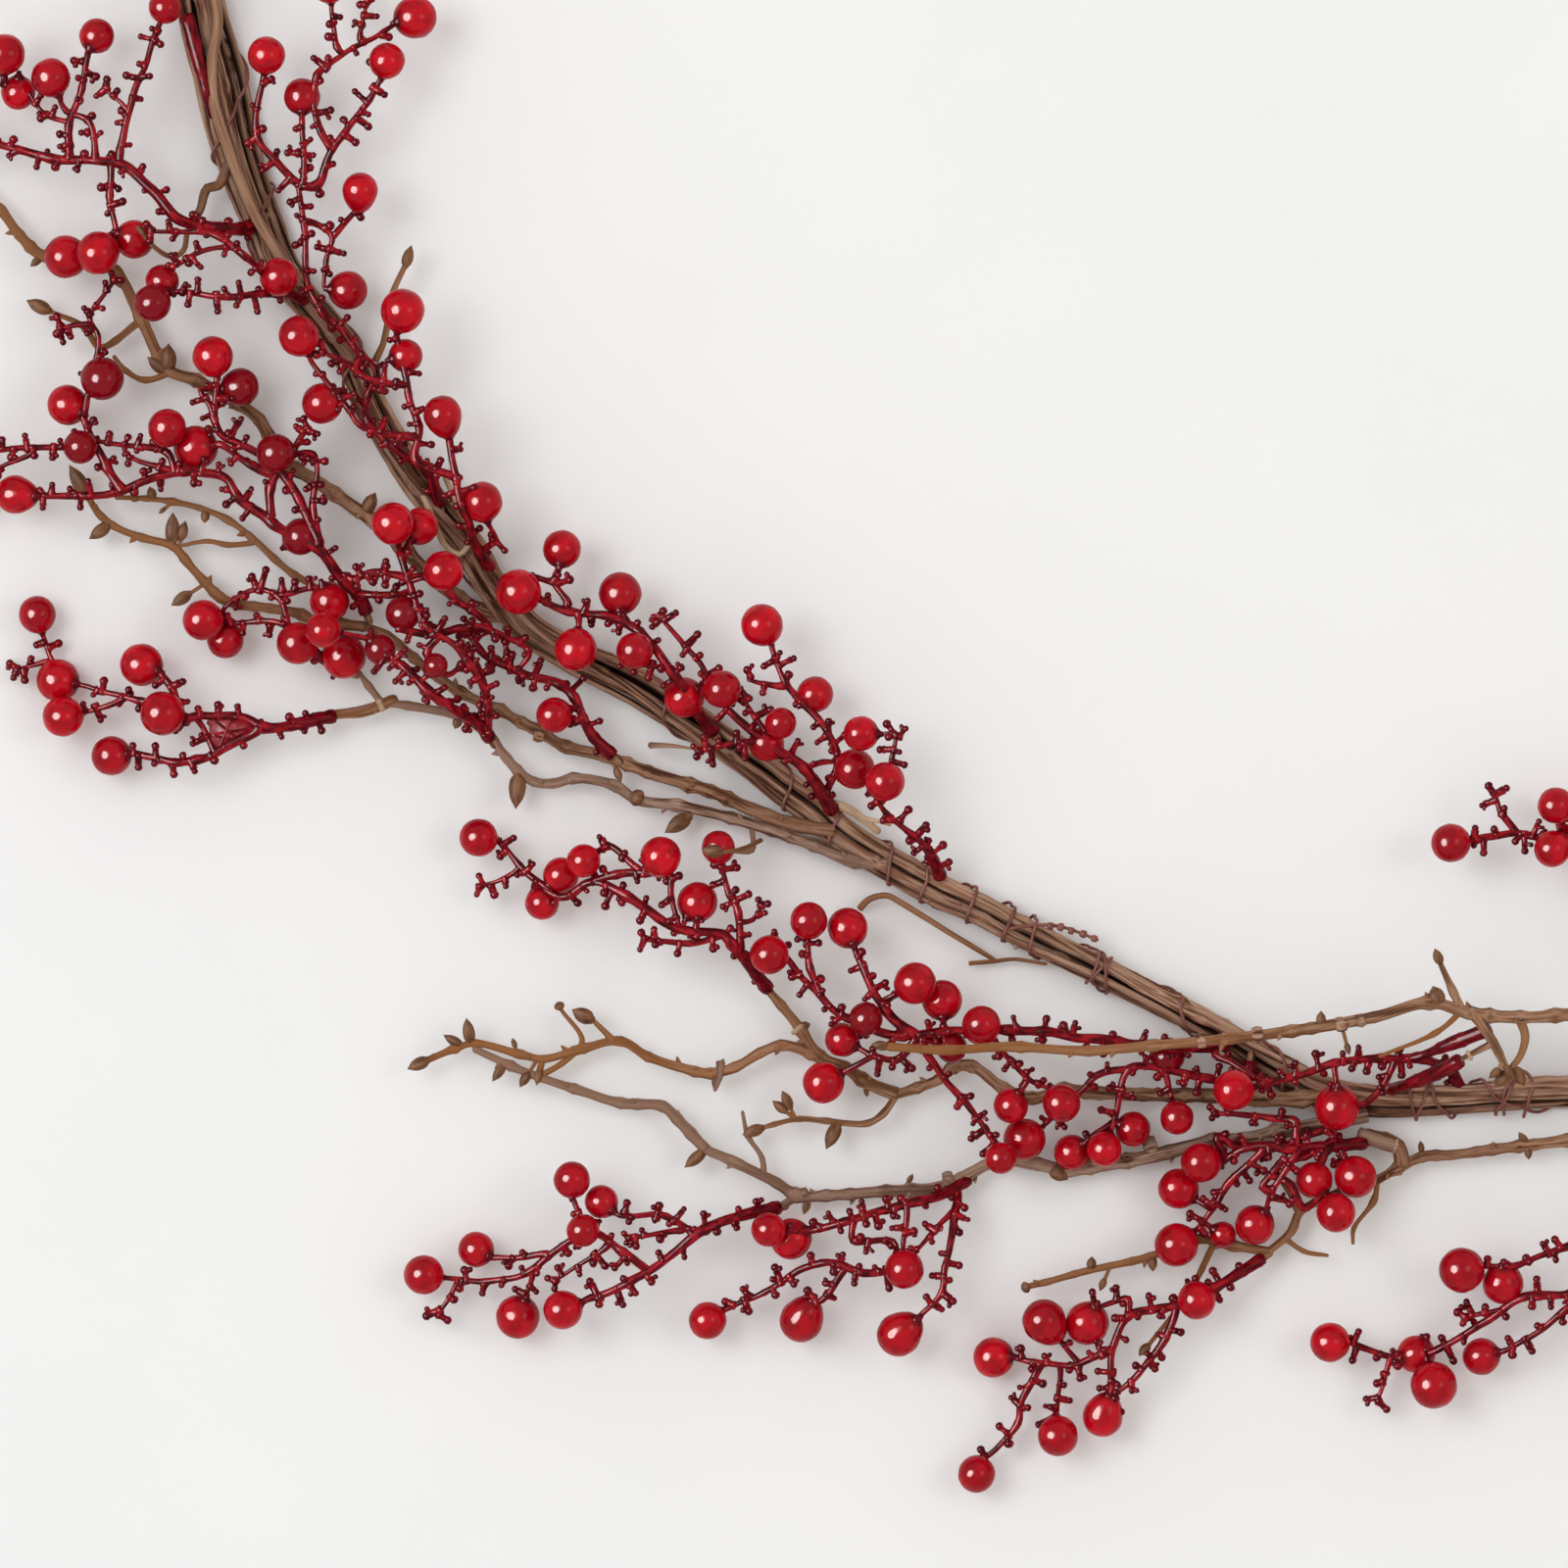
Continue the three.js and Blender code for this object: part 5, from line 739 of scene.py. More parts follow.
class Finish:
    """A procedural material under construction on its Principled shader."""

    def __init__(self, name, **sockets):
        self.material = bpy.data.materials.new(name)
        self.material.use_nodes = True
        self.tree = self.material.node_tree
        self.shader = self.tree.nodes["Principled BSDF"]
        for socket, value in sockets.items():
            self.shader.inputs[socket.replace("_", " ")].default_value = value

    def node(self, kind, sockets=None, **settings):
        made = self.tree.nodes.new("ShaderNode" + kind)
        for setting, value in settings.items():
            setattr(made, setting, value)
        for socket, value in (sockets or {}).items():
            if isinstance(value, bpy.types.NodeSocket):
                self.tree.links.new(value, made.inputs[socket])
            else:
                made.inputs[socket].default_value = value
        return made

    def look(self):
        """The sockets that carry a vertex's tone (a painted shade on berries in shade), its wear and the
        painted shade of a groove between strands.
        """
        read = self.node("Attribute", attribute_name="look")
        return self.node("SeparateXYZ", {"Vector": read.outputs["Vector"]}).outputs

    def grain(self, lengthwise):
        """Coordinates that run along a stem, drawn out so many times in its length."""
        read = self.node("Attribute", attribute_name="grain")
        sockets = {0: read.outputs["Vector"], 1: (1, 1, 1 / lengthwise)}
        return self.node("VectorMath", sockets, operation="MULTIPLY").outputs["Vector"]

    def noise(self, vector, scale, detail=3.0, roughness=0.55):
        """A soft noise from 0 to 1."""
        sockets = {"Vector": vector, "Scale": scale, "Detail": detail, "Roughness": roughness}
        return self.node("TexNoise", sockets).outputs["Fac"]

    def ramp(self, factor, stops):
        made = self.node("ValToRGB", {"Fac": factor})
        bar = made.color_ramp.elements
        while len(bar) < len(stops):
            bar.new(1.0)
        for element, (place, colour) in zip(bar, stops):
            element.position = place
            element.color = (*colour, 1)
        return made.outputs["Color"]

    def blend(self, factor, a, b):
        factor_in, a_in, b_in, colour_out = 0, 6, 7, 2
        sockets = {factor_in: factor, a_in: opaque(a), b_in: opaque(b)}
        return self.node("Mix", sockets, data_type="RGBA").outputs[colour_out]

    def span(self, value, low, high):
        return self.node("MapRange", {"Value": value, "To Min": low, "To Max": high}).outputs["Result"]

    def bump(self, height, strength, distance):
        made = self.node("Bump", {"Height": height, "Strength": strength, "Distance": distance})
        self.set("Normal", made.outputs["Normal"])

    def set(self, socket, value):
        self.tree.links.new(value, self.shader.inputs[socket])


BERRY_REDS = [(0.38, (0.36, 0.0006, 0.006)), (0.62, (0.58, 0.0016, 0.011))]
# Darker red that a berry's tone blends to: a little, at random, on most berries, and far on the berries with
# painted shade
BERRY_DARK_AND_SHADE = (0.19, 0.001, 0.006)
BERRY_NECK = (0.060, 0.004, 0.004)
STEM_REDS = [(0.38, (0.050, 0.0005, 0.002)), (0.5, (0.17, 0.001, 0.006)), (0.62, (0.36, 0.008, 0.016))]
STEM_TIP = (0.085, 0.001, 0.006)


def berry_material():
    made = Finish("berry_lacquer", Coat_Weight=0.34, Coat_Roughness=0.11, Specular_IOR_Level=0.02)
    tone, neck, _ = made.look()
    cloud = made.noise(made.grain(1), scale=0.22, detail=2.0)
    # The tone darkens a berry at random, or as painted shade on a berry that lies in shade under other parts
    deep = made.blend(tone, made.ramp(cloud, BERRY_REDS), BERRY_DARK_AND_SHADE)
    made.set("Base Color", made.blend(neck, deep, BERRY_NECK))
    made.set("Roughness", made.span(made.noise(made.grain(1), scale=0.9), low=0.13, high=0.26))
    made.bump(made.noise(made.grain(1), scale=0.6, detail=4.0), strength=0.12, distance=0.0004)
    return made.material


def stem_material():
    made = Finish("red_stem", Coat_Weight=0.16, Coat_Roughness=0.16, Specular_IOR_Level=0.02)
    _, tip, _ = made.look()
    cloud = made.noise(made.grain(3), scale=0.8, detail=4.0)
    made.set("Base Color", made.blend(tip, made.ramp(cloud, STEM_REDS), STEM_TIP))
    made.set("Roughness", made.span(cloud, low=0.28, high=0.5))
    made.bump(made.noise(made.grain(3), scale=1.6), strength=0.35, distance=0.0003)
    return made.material


def bark_material(name, dark, base, pale, young, roughness=0.8):
    """Bark with lengthwise streaks, which goes over to the young colour where a twig is thin, and has a
    painted shade on the side of a vine strand that faces a groove.
    """
    made = Finish(name, Specular_IOR_Level=0.025)
    _, wear, painted_groove_shade = made.look()
    streaks = made.noise(made.grain(16), scale=0.72, roughness=0.5)
    patches = made.noise(made.grain(3), scale=0.14)
    old = made.ramp(streaks, [(0.38, dark), (0.46, base), (0.56, pale), (0.63, base)])
    shaded = made.blend(made.span(patches, low=-0.35, high=1.0), old, shade(base, 0.55))
    grown = made.blend(wear, shaded, young)
    # Painted shade: the groove side of a vine strand blends towards a dark colour, as the shade between
    # strands
    made.set("Base Color", made.blend(painted_groove_shade, grown, shade(dark, 0.35)))
    made.set("Roughness", made.span(streaks, roughness - 0.12, roughness + 0.1))
    made.bump(streaks, strength=0.75, distance=0.0005)
    return made.material


def plain_material(name, dark, pale, roughness, metallic=0.0):
    made = Finish(name, Metallic=metallic, Specular_IOR_Level=0.12)
    cloud = made.noise(made.grain(5), scale=0.9, detail=4.0)
    made.set("Base Color", made.ramp(cloud, [(0.3, dark), (0.7, pale)]))
    made.set("Roughness", made.span(cloud, roughness - 0.08, roughness + 0.1))
    made.bump(made.noise(made.grain(6), scale=2.2), strength=0.4, distance=0.0003)
    return made.material


# Each bark has its name, its dark, base, pale and young colours and, for twigs, its roughness
BARKS = {
    "vine": ["vine_bark", (0.055, 0.018, 0.010), (0.335, 0.160, 0.098), (0.63, 0.41, 0.295),
             (0.20, 0.11, 0.07)],
    "vine_dark": ["vine_bark_dark", (0.036, 0.011, 0.006), (0.265, 0.120, 0.072), (0.50, 0.315, 0.225),
                  (0.22, 0.105, 0.064)],
    "vine_tan": ["vine_bark_tan", (0.060, 0.021, 0.011), (0.315, 0.155, 0.095), (0.56, 0.36, 0.25),
                 (0.36, 0.20, 0.12)],
    "twig_grey": ["twig_bark_grey", (0.075, 0.034, 0.021), (0.275, 0.152, 0.105), (0.47, 0.315, 0.24),
                  (0.27, 0.148, 0.098), 0.72],
    "twig_olive": ["twig_bark_olive", (0.068, 0.024, 0.012), (0.255, 0.115, 0.062), (0.44, 0.25, 0.155),
                   (0.27, 0.112, 0.044), 0.66],
    "twig_tan": ["twig_bark_tan", (0.085, 0.035, 0.018), (0.29, 0.14, 0.077), (0.50, 0.29, 0.18),
                 (0.275, 0.105, 0.034), 0.66],
}
# Each plain finish has its name, its dark and pale colours, its roughness and, for metal, how metallic it is
PLAIN = {
    "web": ["red_web", (0.20, 0.012, 0.020), (0.46, 0.075, 0.085), 0.35],
    "bud": ["bud_brown", (0.075, 0.026, 0.010), (0.27, 0.118, 0.050), 0.6],
    "cut": ["cut_wood", (0.33, 0.19, 0.10), (0.58, 0.41, 0.27), 0.6],
    "wire": ["tying_wire", (0.13, 0.038, 0.028), (0.29, 0.105, 0.080), 0.5, 0.02],
}
MATERIALS = {"berry": berry_material(), "stem": stem_material()}
MATERIALS.update((key, bark_material(*values)) for key, values in BARKS.items())
MATERIALS.update((key, plain_material(*values)) for key, values in PLAIN.items())


END_SPREAD = 60  # length over which the strands spread at either end of the vine
LOOSE_LENGTH = 26  # and to either side of the place in the upper left where they part
LOOSE_SHARE = 0.45
END_REST = 80  # how near an end the strands may lie on the surface


class Vine:
    """The vine's centre line, measured along its length."""

    def __init__(self):
        points, _ = spline([Vector((x, y, 0)) for x, y in VINE], 0.4)
        steps = [(b - a).length for a, b in zip(points, points[1:])]
        self.points = np.array(points)
        self.reached = np.concatenate([[0], np.cumsum(steps)])
        self.length = float(self.reached[-1])
        self.origin = self.nearest(0, 0)
        self.upper_loose = self.nearest(*UPPER_LOOSE)

    def point(self, at):
        return Vector([float(np.interp(at, self.reached, self.points[:, axis])) for axis in range(3)])

    def tangent(self, at):
        return (self.point(min(at + 0.5, self.length)) - self.point(max(at - 0.5, 0))).normalized()

    def nearest(self, x, y):
        away = np.hypot(self.points[:, 0] - x, self.points[:, 1] - y)
        return float(self.reached[int(away.argmin())])

    def beside(self, at, angle, distance):
        """A point beside the centre line. The angle round it is 0 to the side and a quarter turn on top."""
        at = min(max(at, 0), self.length)
        tangent = self.tangent(at)
        side = Vector((-tangent.y, tangent.x, 0)).normalized()
        place = self.point(at) + side * math.cos(angle) * distance
        place.z = VINE_HEIGHT - DIP * bell(at - self.origin, DIP_WIDTH) + math.sin(angle) * distance
        return place

    def spread(self, at):
        ends = smooth(1 - at / END_SPREAD) + smooth((at - self.length + END_SPREAD) / END_SPREAD)
        return TWIST_RADIUS + LOOSE * LOOSE_SHARE * bell(at - self.upper_loose, LOOSE_LENGTH) + LOOSE * ends

    def near_end(self, at):
        return at < END_REST or at > self.length - END_REST


vine = Vine()


class Member:
    """A strand or a thin shoot of the vine. turn is its angle round the centre from the first strand's."""

    def __init__(self, start, end, turn, distance, radius, drift=0.0):
        self.start = start
        self.end = end
        self.turn = turn
        self.distance = distance
        self.radius = radius
        self.drift = drift

    def angle(self, at):
        first = -math.pi / 2 + (at - vine.origin) / TWIST_LENGTH * math.tau
        return first + self.turn + self.drift * noise.noise((at * 0.011, self.turn * 9, 0))

    def reach(self, at):
        return self.distance + vine.spread(at) - TWIST_RADIUS

    def place(self, at):
        place = vine.beside(at, self.angle(at), self.reach(at))
        resting = self.radius == STRAND_RADIUS and vine.near_end(at)
        place.z = max(place.z, STRAND_LIFT if resting else self.radius)
        return place


STRAND_FINISH = ["vine", "vine_tan", "vine_dark"]
STRAND_ENDS = 9, 7  # how much sooner each strand ends than the one before it, at either end
SHOOTS = [  # start and end along the vine, angle from the first strand, distance, radius, drift, finish
    (0, 470, -1.05, 2.7, 0.7, 0.2, "vine"), (520, 1000, -1.0, 2.9, 0.8, 0.3, "vine_tan"),
    (10, 560, 0.2, 4.4, 0.95, 1.6, "vine"), (300, 1010, 4.0, 4.4, 0.95, 1.6, "vine_dark"),
    (170, 300, 2.2, 5.0, 1.2, 0.8, "vine_tan"), (190, 330, 0.6, 5.0, 1.1, 0.8, "vine"),
    (330, 640, 5.2, 4.4, 0.9, 1.8, "vine_tan"), (560, 840, 1.9, 4.4, 0.9, 1.6, "vine"),
]
JOINT_SIZE = 0.08, 0.32  # how much a joint swells a strand, as a share of its radius
JOINT_WIDTH = 0.9, 2.2
JOINT_GAPS = 0.6, 1.4  # as shares of the usual gap
FIRST_JOINT = 10
THIN_END = 0.45
TAPER_LENGTH = 45
STRAND_STRAY = 0.7
STRAND_BENDS = 0.021, 0.023  # how fast it strays, to either side
MEMBERS = []


def lay_strand(piece, member, finish, sides, every, tone):
    """A strand of the vine, with swollen joints about so far apart."""
    MEMBERS.append(member)
    joints = []
    start, end = member.start, member.end
    at = start + random.uniform(FIRST_JOINT, every)
    while at < end:
        joints.append((at, between(JOINT_SIZE), between(JOINT_WIDTH)))
        at += every * between(JOINT_GAPS)
    points, radii, inward = [], [], []
    count = int((end - start) / STEP)
    across, up = STRAND_BENDS
    for i in range(count + 1):
        at = mix(start, end, i / count)
        taper = THIN_END + (1 - THIN_END) * smooth(min(at - start, end - at) / TAPER_LENGTH)
        swell = sum(size * bell(at - joint, width) for joint, size, width in joints)
        points.append(member.place(at) + wander(at * across, at * up, tone * 50) * STRAND_STRAY)
        radii.append(member.radius * taper * (1 + swell))
        # the way to the vine's middle; the side of the strand that faces it gets a painted shade
        inward.append((vine.beside(at, 0, 0) - points[-1]).normalized())
    piece.tube(points, radii, finish, tone, sides, relief=0.2, inward=inward)


def make_vine():
    for index, finish in enumerate(STRAND_FINISH):
        start, end = index * STRAND_ENDS[0], vine.length - index * STRAND_ENDS[1]
        member = Member(start, end, index * math.tau / STRANDS, TWIST_RADIUS, STRAND_RADIUS)
        strand = Piece(f"vine_strand_{index + 1}_bark")
        lay_strand(strand, member, finish, sides=18, every=36, tone=0.1 + index * 0.27)
        strand.finish("bark", f"vine_strand_{index + 1}")
    shoots = Piece("vine_shoots")
    for index, (*sizes, finish) in enumerate(SHOOTS):
        lay_strand(shoots, Member(*sizes), finish, sides=10, every=48, tone=0.15 + index * 0.13)
    shoots.finish("bark")


WIRE_LEAD = -0.02, 0.2  # how far a turn of the wire runs ahead of an even winding
WIRE_SEAT = 0.7  # the wire's middle above the strands, in its radii
# Turns that cross the others: x, y where the wire comes over one edge of the vine, then over the other
CROSS_TURNS = [
    (80.6, -43.7, 82.4, -53.8), (83.5, -45, 77, -51), (164.5, -75, 161.5, -85), (187, -73, 182, -84),
]


def on_vine(at, angle):
    """A point of the wire, which lies on the outermost strand or shoot at that angle."""
    distance = max(member.reach(at) * math.cos(angle - member.angle(at)) + member.radius
                   for member in MEMBERS if member.start < at < member.end)
    place = vine.beside(at, angle, distance + WIRE_RADIUS * WIRE_SEAT)
    place.z = max(place.z, WIRE_RADIUS)
    return place


def lay_wire(piece, places):
    path, _ = spline(places, 1.0)
    piece.tube(path, [WIRE_RADIUS] * len(path), "wire", 0.3, sides=8, relief=0.1)


def make_wire():
    wire = Piece("binding_wire_fine")
    crossings = [vine.nearest(x, y) for x, y in WIRE_TOPS]
    places = []
    for low, high in zip(crossings, crossings[1:]):
        lead = between(WIRE_LEAD)
        for share in (step / WIRE_STEPS for step in range(WIRE_STEPS)):
            at = mix(low, high, share - lead * math.sin(share * math.tau))
            places.append(on_vine(at, math.pi / 2 + share * math.tau))
    lay_wire(wire, places)
    for left, top, right, low in CROSS_TURNS:
        first, last = vine.nearest(left, top), vine.nearest(right, low)
        turns = [math.pi * (step / WIRE_STEPS * 2 - 0.5) for step in range(WIRE_STEPS + 1)]
        lay_wire(wire, [on_vine(mix(first, last, smooth(turn / math.pi)), turn) for turn in turns])
    wire.finish("wire", "binding_wire")


def nearest_on(lines, x, y):
    """The point of the lines that lies nearest to x, y in plan."""
    best, least = None, math.inf
    for points in lines:
        for a, b in zip(points, points[1:]):
            square = (b.x - a.x) ** 2 + (b.y - a.y) ** 2
            along = (x - a.x) * (b.x - a.x) + (y - a.y) * (b.y - a.y)
            t = 0 if square == 0 else min(1, max(0, along / square))
            spot = a.lerp(b, t)
            away = math.hypot(x - spot.x, y - spot.y)
            if away < least:
                best, least = spot, away
    return best


TOUCHING = 0.2


def stem_lines(form):
    """The stems of a form as [radius, points], each starting at its joint with the stems before it."""
    lines = []
    for radius, *flat in form.stems:
        points = [Vector((x, y, max(form.height(x, y), radius))) for x, y in groups(flat, 2)]
        if lines:
            drawn = [line[1] for line in lines]
            first = nearest_on(drawn, points[0].x, points[0].y)
            last = nearest_on(drawn, points[-1].x, points[-1].y)
            if (first - points[0]).xy.length <= (last - points[-1]).xy.length:
                points = [first, *points]
            else:
                points = [last, *reversed(points)]
            if (points[1] - points[0]).length < TOUCHING:
                del points[1]
        lines.append([radius, points])
    return lines


def repeated(form, form_angle, x, y, side, level):
    """A form moved so that its root lies on the vine at x, y, on one side of it."""
    at = vine.nearest(x, y)
    root = vine.point(at)
    tangent = -vine.tangent(at)
    to_angle = math.atan2(tangent.y, tangent.x)
    from_angle = math.radians(form_angle)

    def move(px, py):
        dx, dy = px - form.root[0], py - form.root[1]
        u = dx * math.cos(from_angle) + dy * math.sin(from_angle)
        v = (dy * math.cos(from_angle) - dx * math.sin(from_angle)) * side
        return [root.x + u * math.cos(to_angle) - v * math.sin(to_angle),
                root.y + u * math.sin(to_angle) + v * math.cos(to_angle)]

    def moved(flat):
        return [c for place in groups(flat, 2) for c in move(*place)]

    return Form(
        [root.x, root.y, form.root[2]], level, min(form.tip, level),
        stems=[[radius, *moved(flat)] for radius, *flat in form.stems],
        buds=[c for *places, width in groups(form.buds, 5) for c in (*moved(places), width)],
        nubs=moved(form.nubs),
        berries=[c for *place, radius in groups(form.berries, 3) for c in (*move(*place), radius)],
    )


SWELL_LENGTH = 1.3  # of a joint, to either side
SWELL_RINGS = 4  # to either side of it that it widens


def swellings(points, marks, sizes):
    """How much thicker a stem is at each point: it has a joint wherever it bends."""
    swell = [1.0] * len(points)
    for mark in marks[1:]:
        size = between(sizes)
        for i in range(max(0, mark - SWELL_RINGS), min(len(points), mark + SWELL_RINGS + 1)):
            swell[i] += size * bell((points[i] - points[mark]).length, SWELL_LENGTH)
    return swell


# Outline of a bud, in shares of its length and width: a foot with a rim of scales, a full belly, a point
BUD = [
    (0, 0), (0.02, 0.42), (0.07, 0.62), (0.11, 0.58), (0.18, 0.84), (0.28, 1.0), (0.42, 1.06), (0.56, 1.0),
    (0.69, 0.84), (0.79, 0.60), (0.87, 0.36), (0.94, 0.16), (1, 0),
]
BUD_GIRTH = 0.51
BUD_RISE = 0.4  # of its point above its base, by its width
LONG_BUD = 2.6  # a bud that is longer by its width gets a stalk
BUD_SHARE = 2.1  # and is then as long as this, by its width
BUD_STALK = [0.55, 0.5, 0.5]
STALK_ENTRY = 0.12  # how far the stalk runs into it, as a share of its length
TWIG_BARK = {
    "twig_left": "twig_olive", "twig_long_upper": "twig_olive", "twig_long_lower": "twig_grey",
    "twig_base": "twig_tan", "twig_lower": "twig_grey", "twig_top": "twig_tan", "twig_right": "twig_olive",
}
TWIG_TAPER = 1.28, 0.8  # from root to tip, by the stem's own radius
TWIG_JOINTS = 0.06, 0.38  # how much a joint swells it, as a share of its radius
FIRST_TWIG_JOINT = 4, 9  # in rings
TWIG_JOINT_GAPS = 8, 15
THIN_TWIG = 0.75  # the radius below which a twig is young and has no thorns
YOUNG = 0.9  # the wear of a thin twig
YOUNG_END = 0.85  # and of a thick one at its far end
THORN = [(0.3, 0.7), (1.1, 0.35), (1.7, 0)]  # distance out from the bark and radius
FIRST_THORN = 6, 14  # in rings
THORN_GAPS = 8, 22
THORN_LEAN = 0.5


def add_bud(piece, base, point, width):
    along = point - base
    outline = [(share * along.length, radius * width * BUD_GIRTH) for share, radius in BUD]
    piece.lathe(base, along, outline, "bud", random.random(), sides=12)


def make_twig(name, form, bark):
    piece = Piece(f"{name}_bark")
    lines = stem_lines(form)
    tone = random.random()
    for index, (radius, points) in enumerate(lines):
        path, marks = spline(points, STEP)
        last = len(path) - 1
        marks += range(random.randint(*FIRST_TWIG_JOINT), last, random.randint(*TWIG_JOINT_GAPS))
        swell = swellings(path, marks, TWIG_JOINTS)
        radii = [radius * mix(*TWIG_TAPER, i / last) * swell[i] for i in range(last + 1)]
        shares = [form.away(x, y) / form.reach for x, y, _ in path]
        wear = [YOUNG if radius < THIN_TWIG else YOUNG_END * smooth((share - 0.35) / 0.6) for share in shares]
        piece.tube(path, radii, bark, tone + index * 0.07, sides=10, relief=0.14, wear=wear)
        spot = random.randint(*FIRST_THORN)
        while spot < last and radius > THIN_TWIG:
            along = (path[spot] - path[spot - 1]).normalized()
            turn = random.uniform(0, math.tau)
            out = Vector((-along.y, along.x, 0)) * math.cos(turn) + Vector((0, 0, abs(math.sin(turn))))
            outline = [(0, 0), (0.1, 0.95), *((radii[spot] + far, width) for far, width in THORN)]
            piece.lathe(path[spot], out + along * THORN_LEAN, outline, bark, tone, sides=7,
                        wear=lambda share: wear[spot], wobble=0.2)
            spot += random.randint(*THORN_GAPS)
    drawn = [points for _, points in lines]
    for bx, by, px, py, width in groups(form.buds, 5):
        base = root = nearest_on(drawn, bx, by)
        point = Vector((px, py, base.z + width * BUD_RISE))
        length = (point - base).length
        if length > width * LONG_BUD:
            base = point + (base - point) * (width * BUD_SHARE / length)
            stalk = [root, root.lerp(base, 0.5), base.lerp(point, STALK_ENTRY)]
            piece.tube(stalk, BUD_STALK, bark, tone, relief=0.1, wear=[0.8] * len(stalk))
        add_bud(piece, base, point, width)
    piece.finish("twig", name)


ROUND_BERRY, PEAR_BERRY = 0.03, 0.30  # how much further a berry runs out towards its stalk
NEAR = 2.5  # how close a berry lies to a place listed here
PEARS = [
    (-107.7, 150.8), (-86.4, 93.5), (-195.8, 73.7), (29.2, -140.3), (81.3, -161.4), (4.4, -136.9),
    (66.2, -136.8),
]
# Berries that lie in shade under other parts, darkened as painted shade
PAINTED_SHADE_BERRIES = [
    (-88.3, 30), (-102.5, 34.2), (-96.7, 43.3), (-178.3, 86.1), (-128.9, 84.4), (-123.3, 63.3),
    (-159.4, 121.1), (-173.3, 102.2), (-137.8, 101.1), (21.3, -61.3), (41.9, -67.5), (97.5, -70),
    (83.8, -91.3), (93.8, -82.5),
]
# how far the painted shade darkens them
PAINTED_SHADE_TONE = 0.9
BERRY_TONES = 0, 0.5
NECK_START, NECK_LENGTH = 0.05, 0.95  # of a pear shape, by the berry's radius
NECK_SLIMMING = 0.35
DIMPLE = 0.035  # depth of the sunk blossom end
DARK_NECK = 0.11  # the share of a berry that is dark at its stalk
CUP_WEAR = 0.8
# The cup under a berry: distance from the berry's stalk end and radius
CUP = [(-1.5, 0), (-1.4, 0.62), (-0.7, 0.75), (-0.1, 1.25), (0.35, 1.75), (0.8, 1.5), (0.9, 0)]


@dataclass
class Berry:
    """A berry, the foot of its stalk and the number of the stem that runs on into it, if one does."""

    centre: Vector
    radius: float
    foot: Vector
    stem: int
    stretch: float
    tone: float
    away: Vector = None


def is_near(places, x, y):
    return any(math.hypot(x - px, y - py) < NEAR for px, py in places)


def berry_outline(radius, stretch):
    """Outline of a berry from its stalk end to its blossom end, which is a little sunk."""
    outline = []
    for k in range(BERRY_RINGS + 1):
        turn = math.pi * k / BERRY_RINGS
        reach, width = -math.cos(turn), math.sin(turn)
        neck = smooth((-reach - NECK_START) / NECK_LENGTH)
        reach -= stretch * neck
        width *= 1 - stretch * NECK_SLIMMING * neck
        reach -= DIMPLE * smooth((reach - 0.94) / 0.06)
        outline.append((reach * radius, width * radius))
    return outline


def make_berry(piece, berry):
    outline = berry_outline(berry.radius, berry.stretch)
    piece.lathe(berry.centre, berry.away, outline, "berry", berry.tone, sides=BERRY_SIDES,
                wear=lambda share: 0.75 * smooth((DARK_NECK - share) / DARK_NECK), wobble=0.035)
    rim = -berry.radius * (1 + berry.stretch)
    cup = [(rim + far, radius) for far, radius in CUP]
    piece.lathe(berry.centre, berry.away, cup, "stem", berry.tone, wear=lambda share: CUP_WEAR)


NUB_FOOT = [(-0.5, 0), (-0.45, 1.05), (0.15, 1.25), (0.7, 1.0)]  # distance along the peg and radius
BALL_RINGS = 4
BALL_SEAT = 0.8  # how far below its middle a ball starts, by its radius
NUB_SIZES = 0.8, 1.2
PEG_WIDTHS = 0.72, 0.98
LONG_NUB = 2.2
FORKED = 0.4  # the share of the long nubs that fork
FORK_PLACES = 0.55, 0.75  # as shares of the way from foot to head
FORK_ANGLES = 0.8, 1.3
FORK_REACHES = 1.2, 1.9
FORK_SIZE = 0.7
FORK_BALL = [(-0.4, 0.9), (0, 1), (0.6, 0.7), (1, 0)]  # distance from its middle and radius, by its size


def dark_from(start):
    """The wear of a nub that darkens from that share of its length on."""
    return lambda share: 0.8 * smooth((share - start) / 0.4)


def make_nub(piece, foot, head):
    """A peg that ends in a ball, and sometimes in two."""
    along = head - foot
    length = along.length
    ball = NUB_HEAD * between(NUB_SIZES)
    peg = between(PEG_WIDTHS)
    neck = length - ball * BALL_SEAT
    outline = [*NUB_FOOT, (mix(NUB_FOOT[-1][0], neck, 0.5), peg), (neck, peg * 1.05)]
    for k in range(BALL_RINGS):
        turn = math.pi * (k + 1 - 0.6) / (BALL_RINGS + 0.4)
        outline.append((length - math.cos(turn) * ball, math.sin(turn) * ball))
    outline.append((length + ball, 0))
    piece.lathe(foot, along, outline, "stem", random.random(), sides=8, wear=dark_from(0.55), wobble=0.35)
    if length > LONG_NUB and random.random() < FORKED:
        fork = foot.lerp(head, between(FORK_PLACES))
        turn = random.choice((-1, 1)) * between(FORK_ANGLES)
        way = Vector((along.x * math.cos(turn) - along.y * math.sin(turn),
                      along.x * math.sin(turn) + along.y * math.cos(turn), along.z)).normalized()
        reach = between(FORK_REACHES)
        small = ball * FORK_SIZE
        outline = [(0, 0), (0.1, 0.6), (reach - small * BALL_SEAT, 0.55)]
        outline += [(reach + small * far, small * width) for far, width in FORK_BALL]
        piece.lathe(fork, way, outline, "stem", random.random(), sides=7, wear=dark_from(0.4), wobble=0.3)


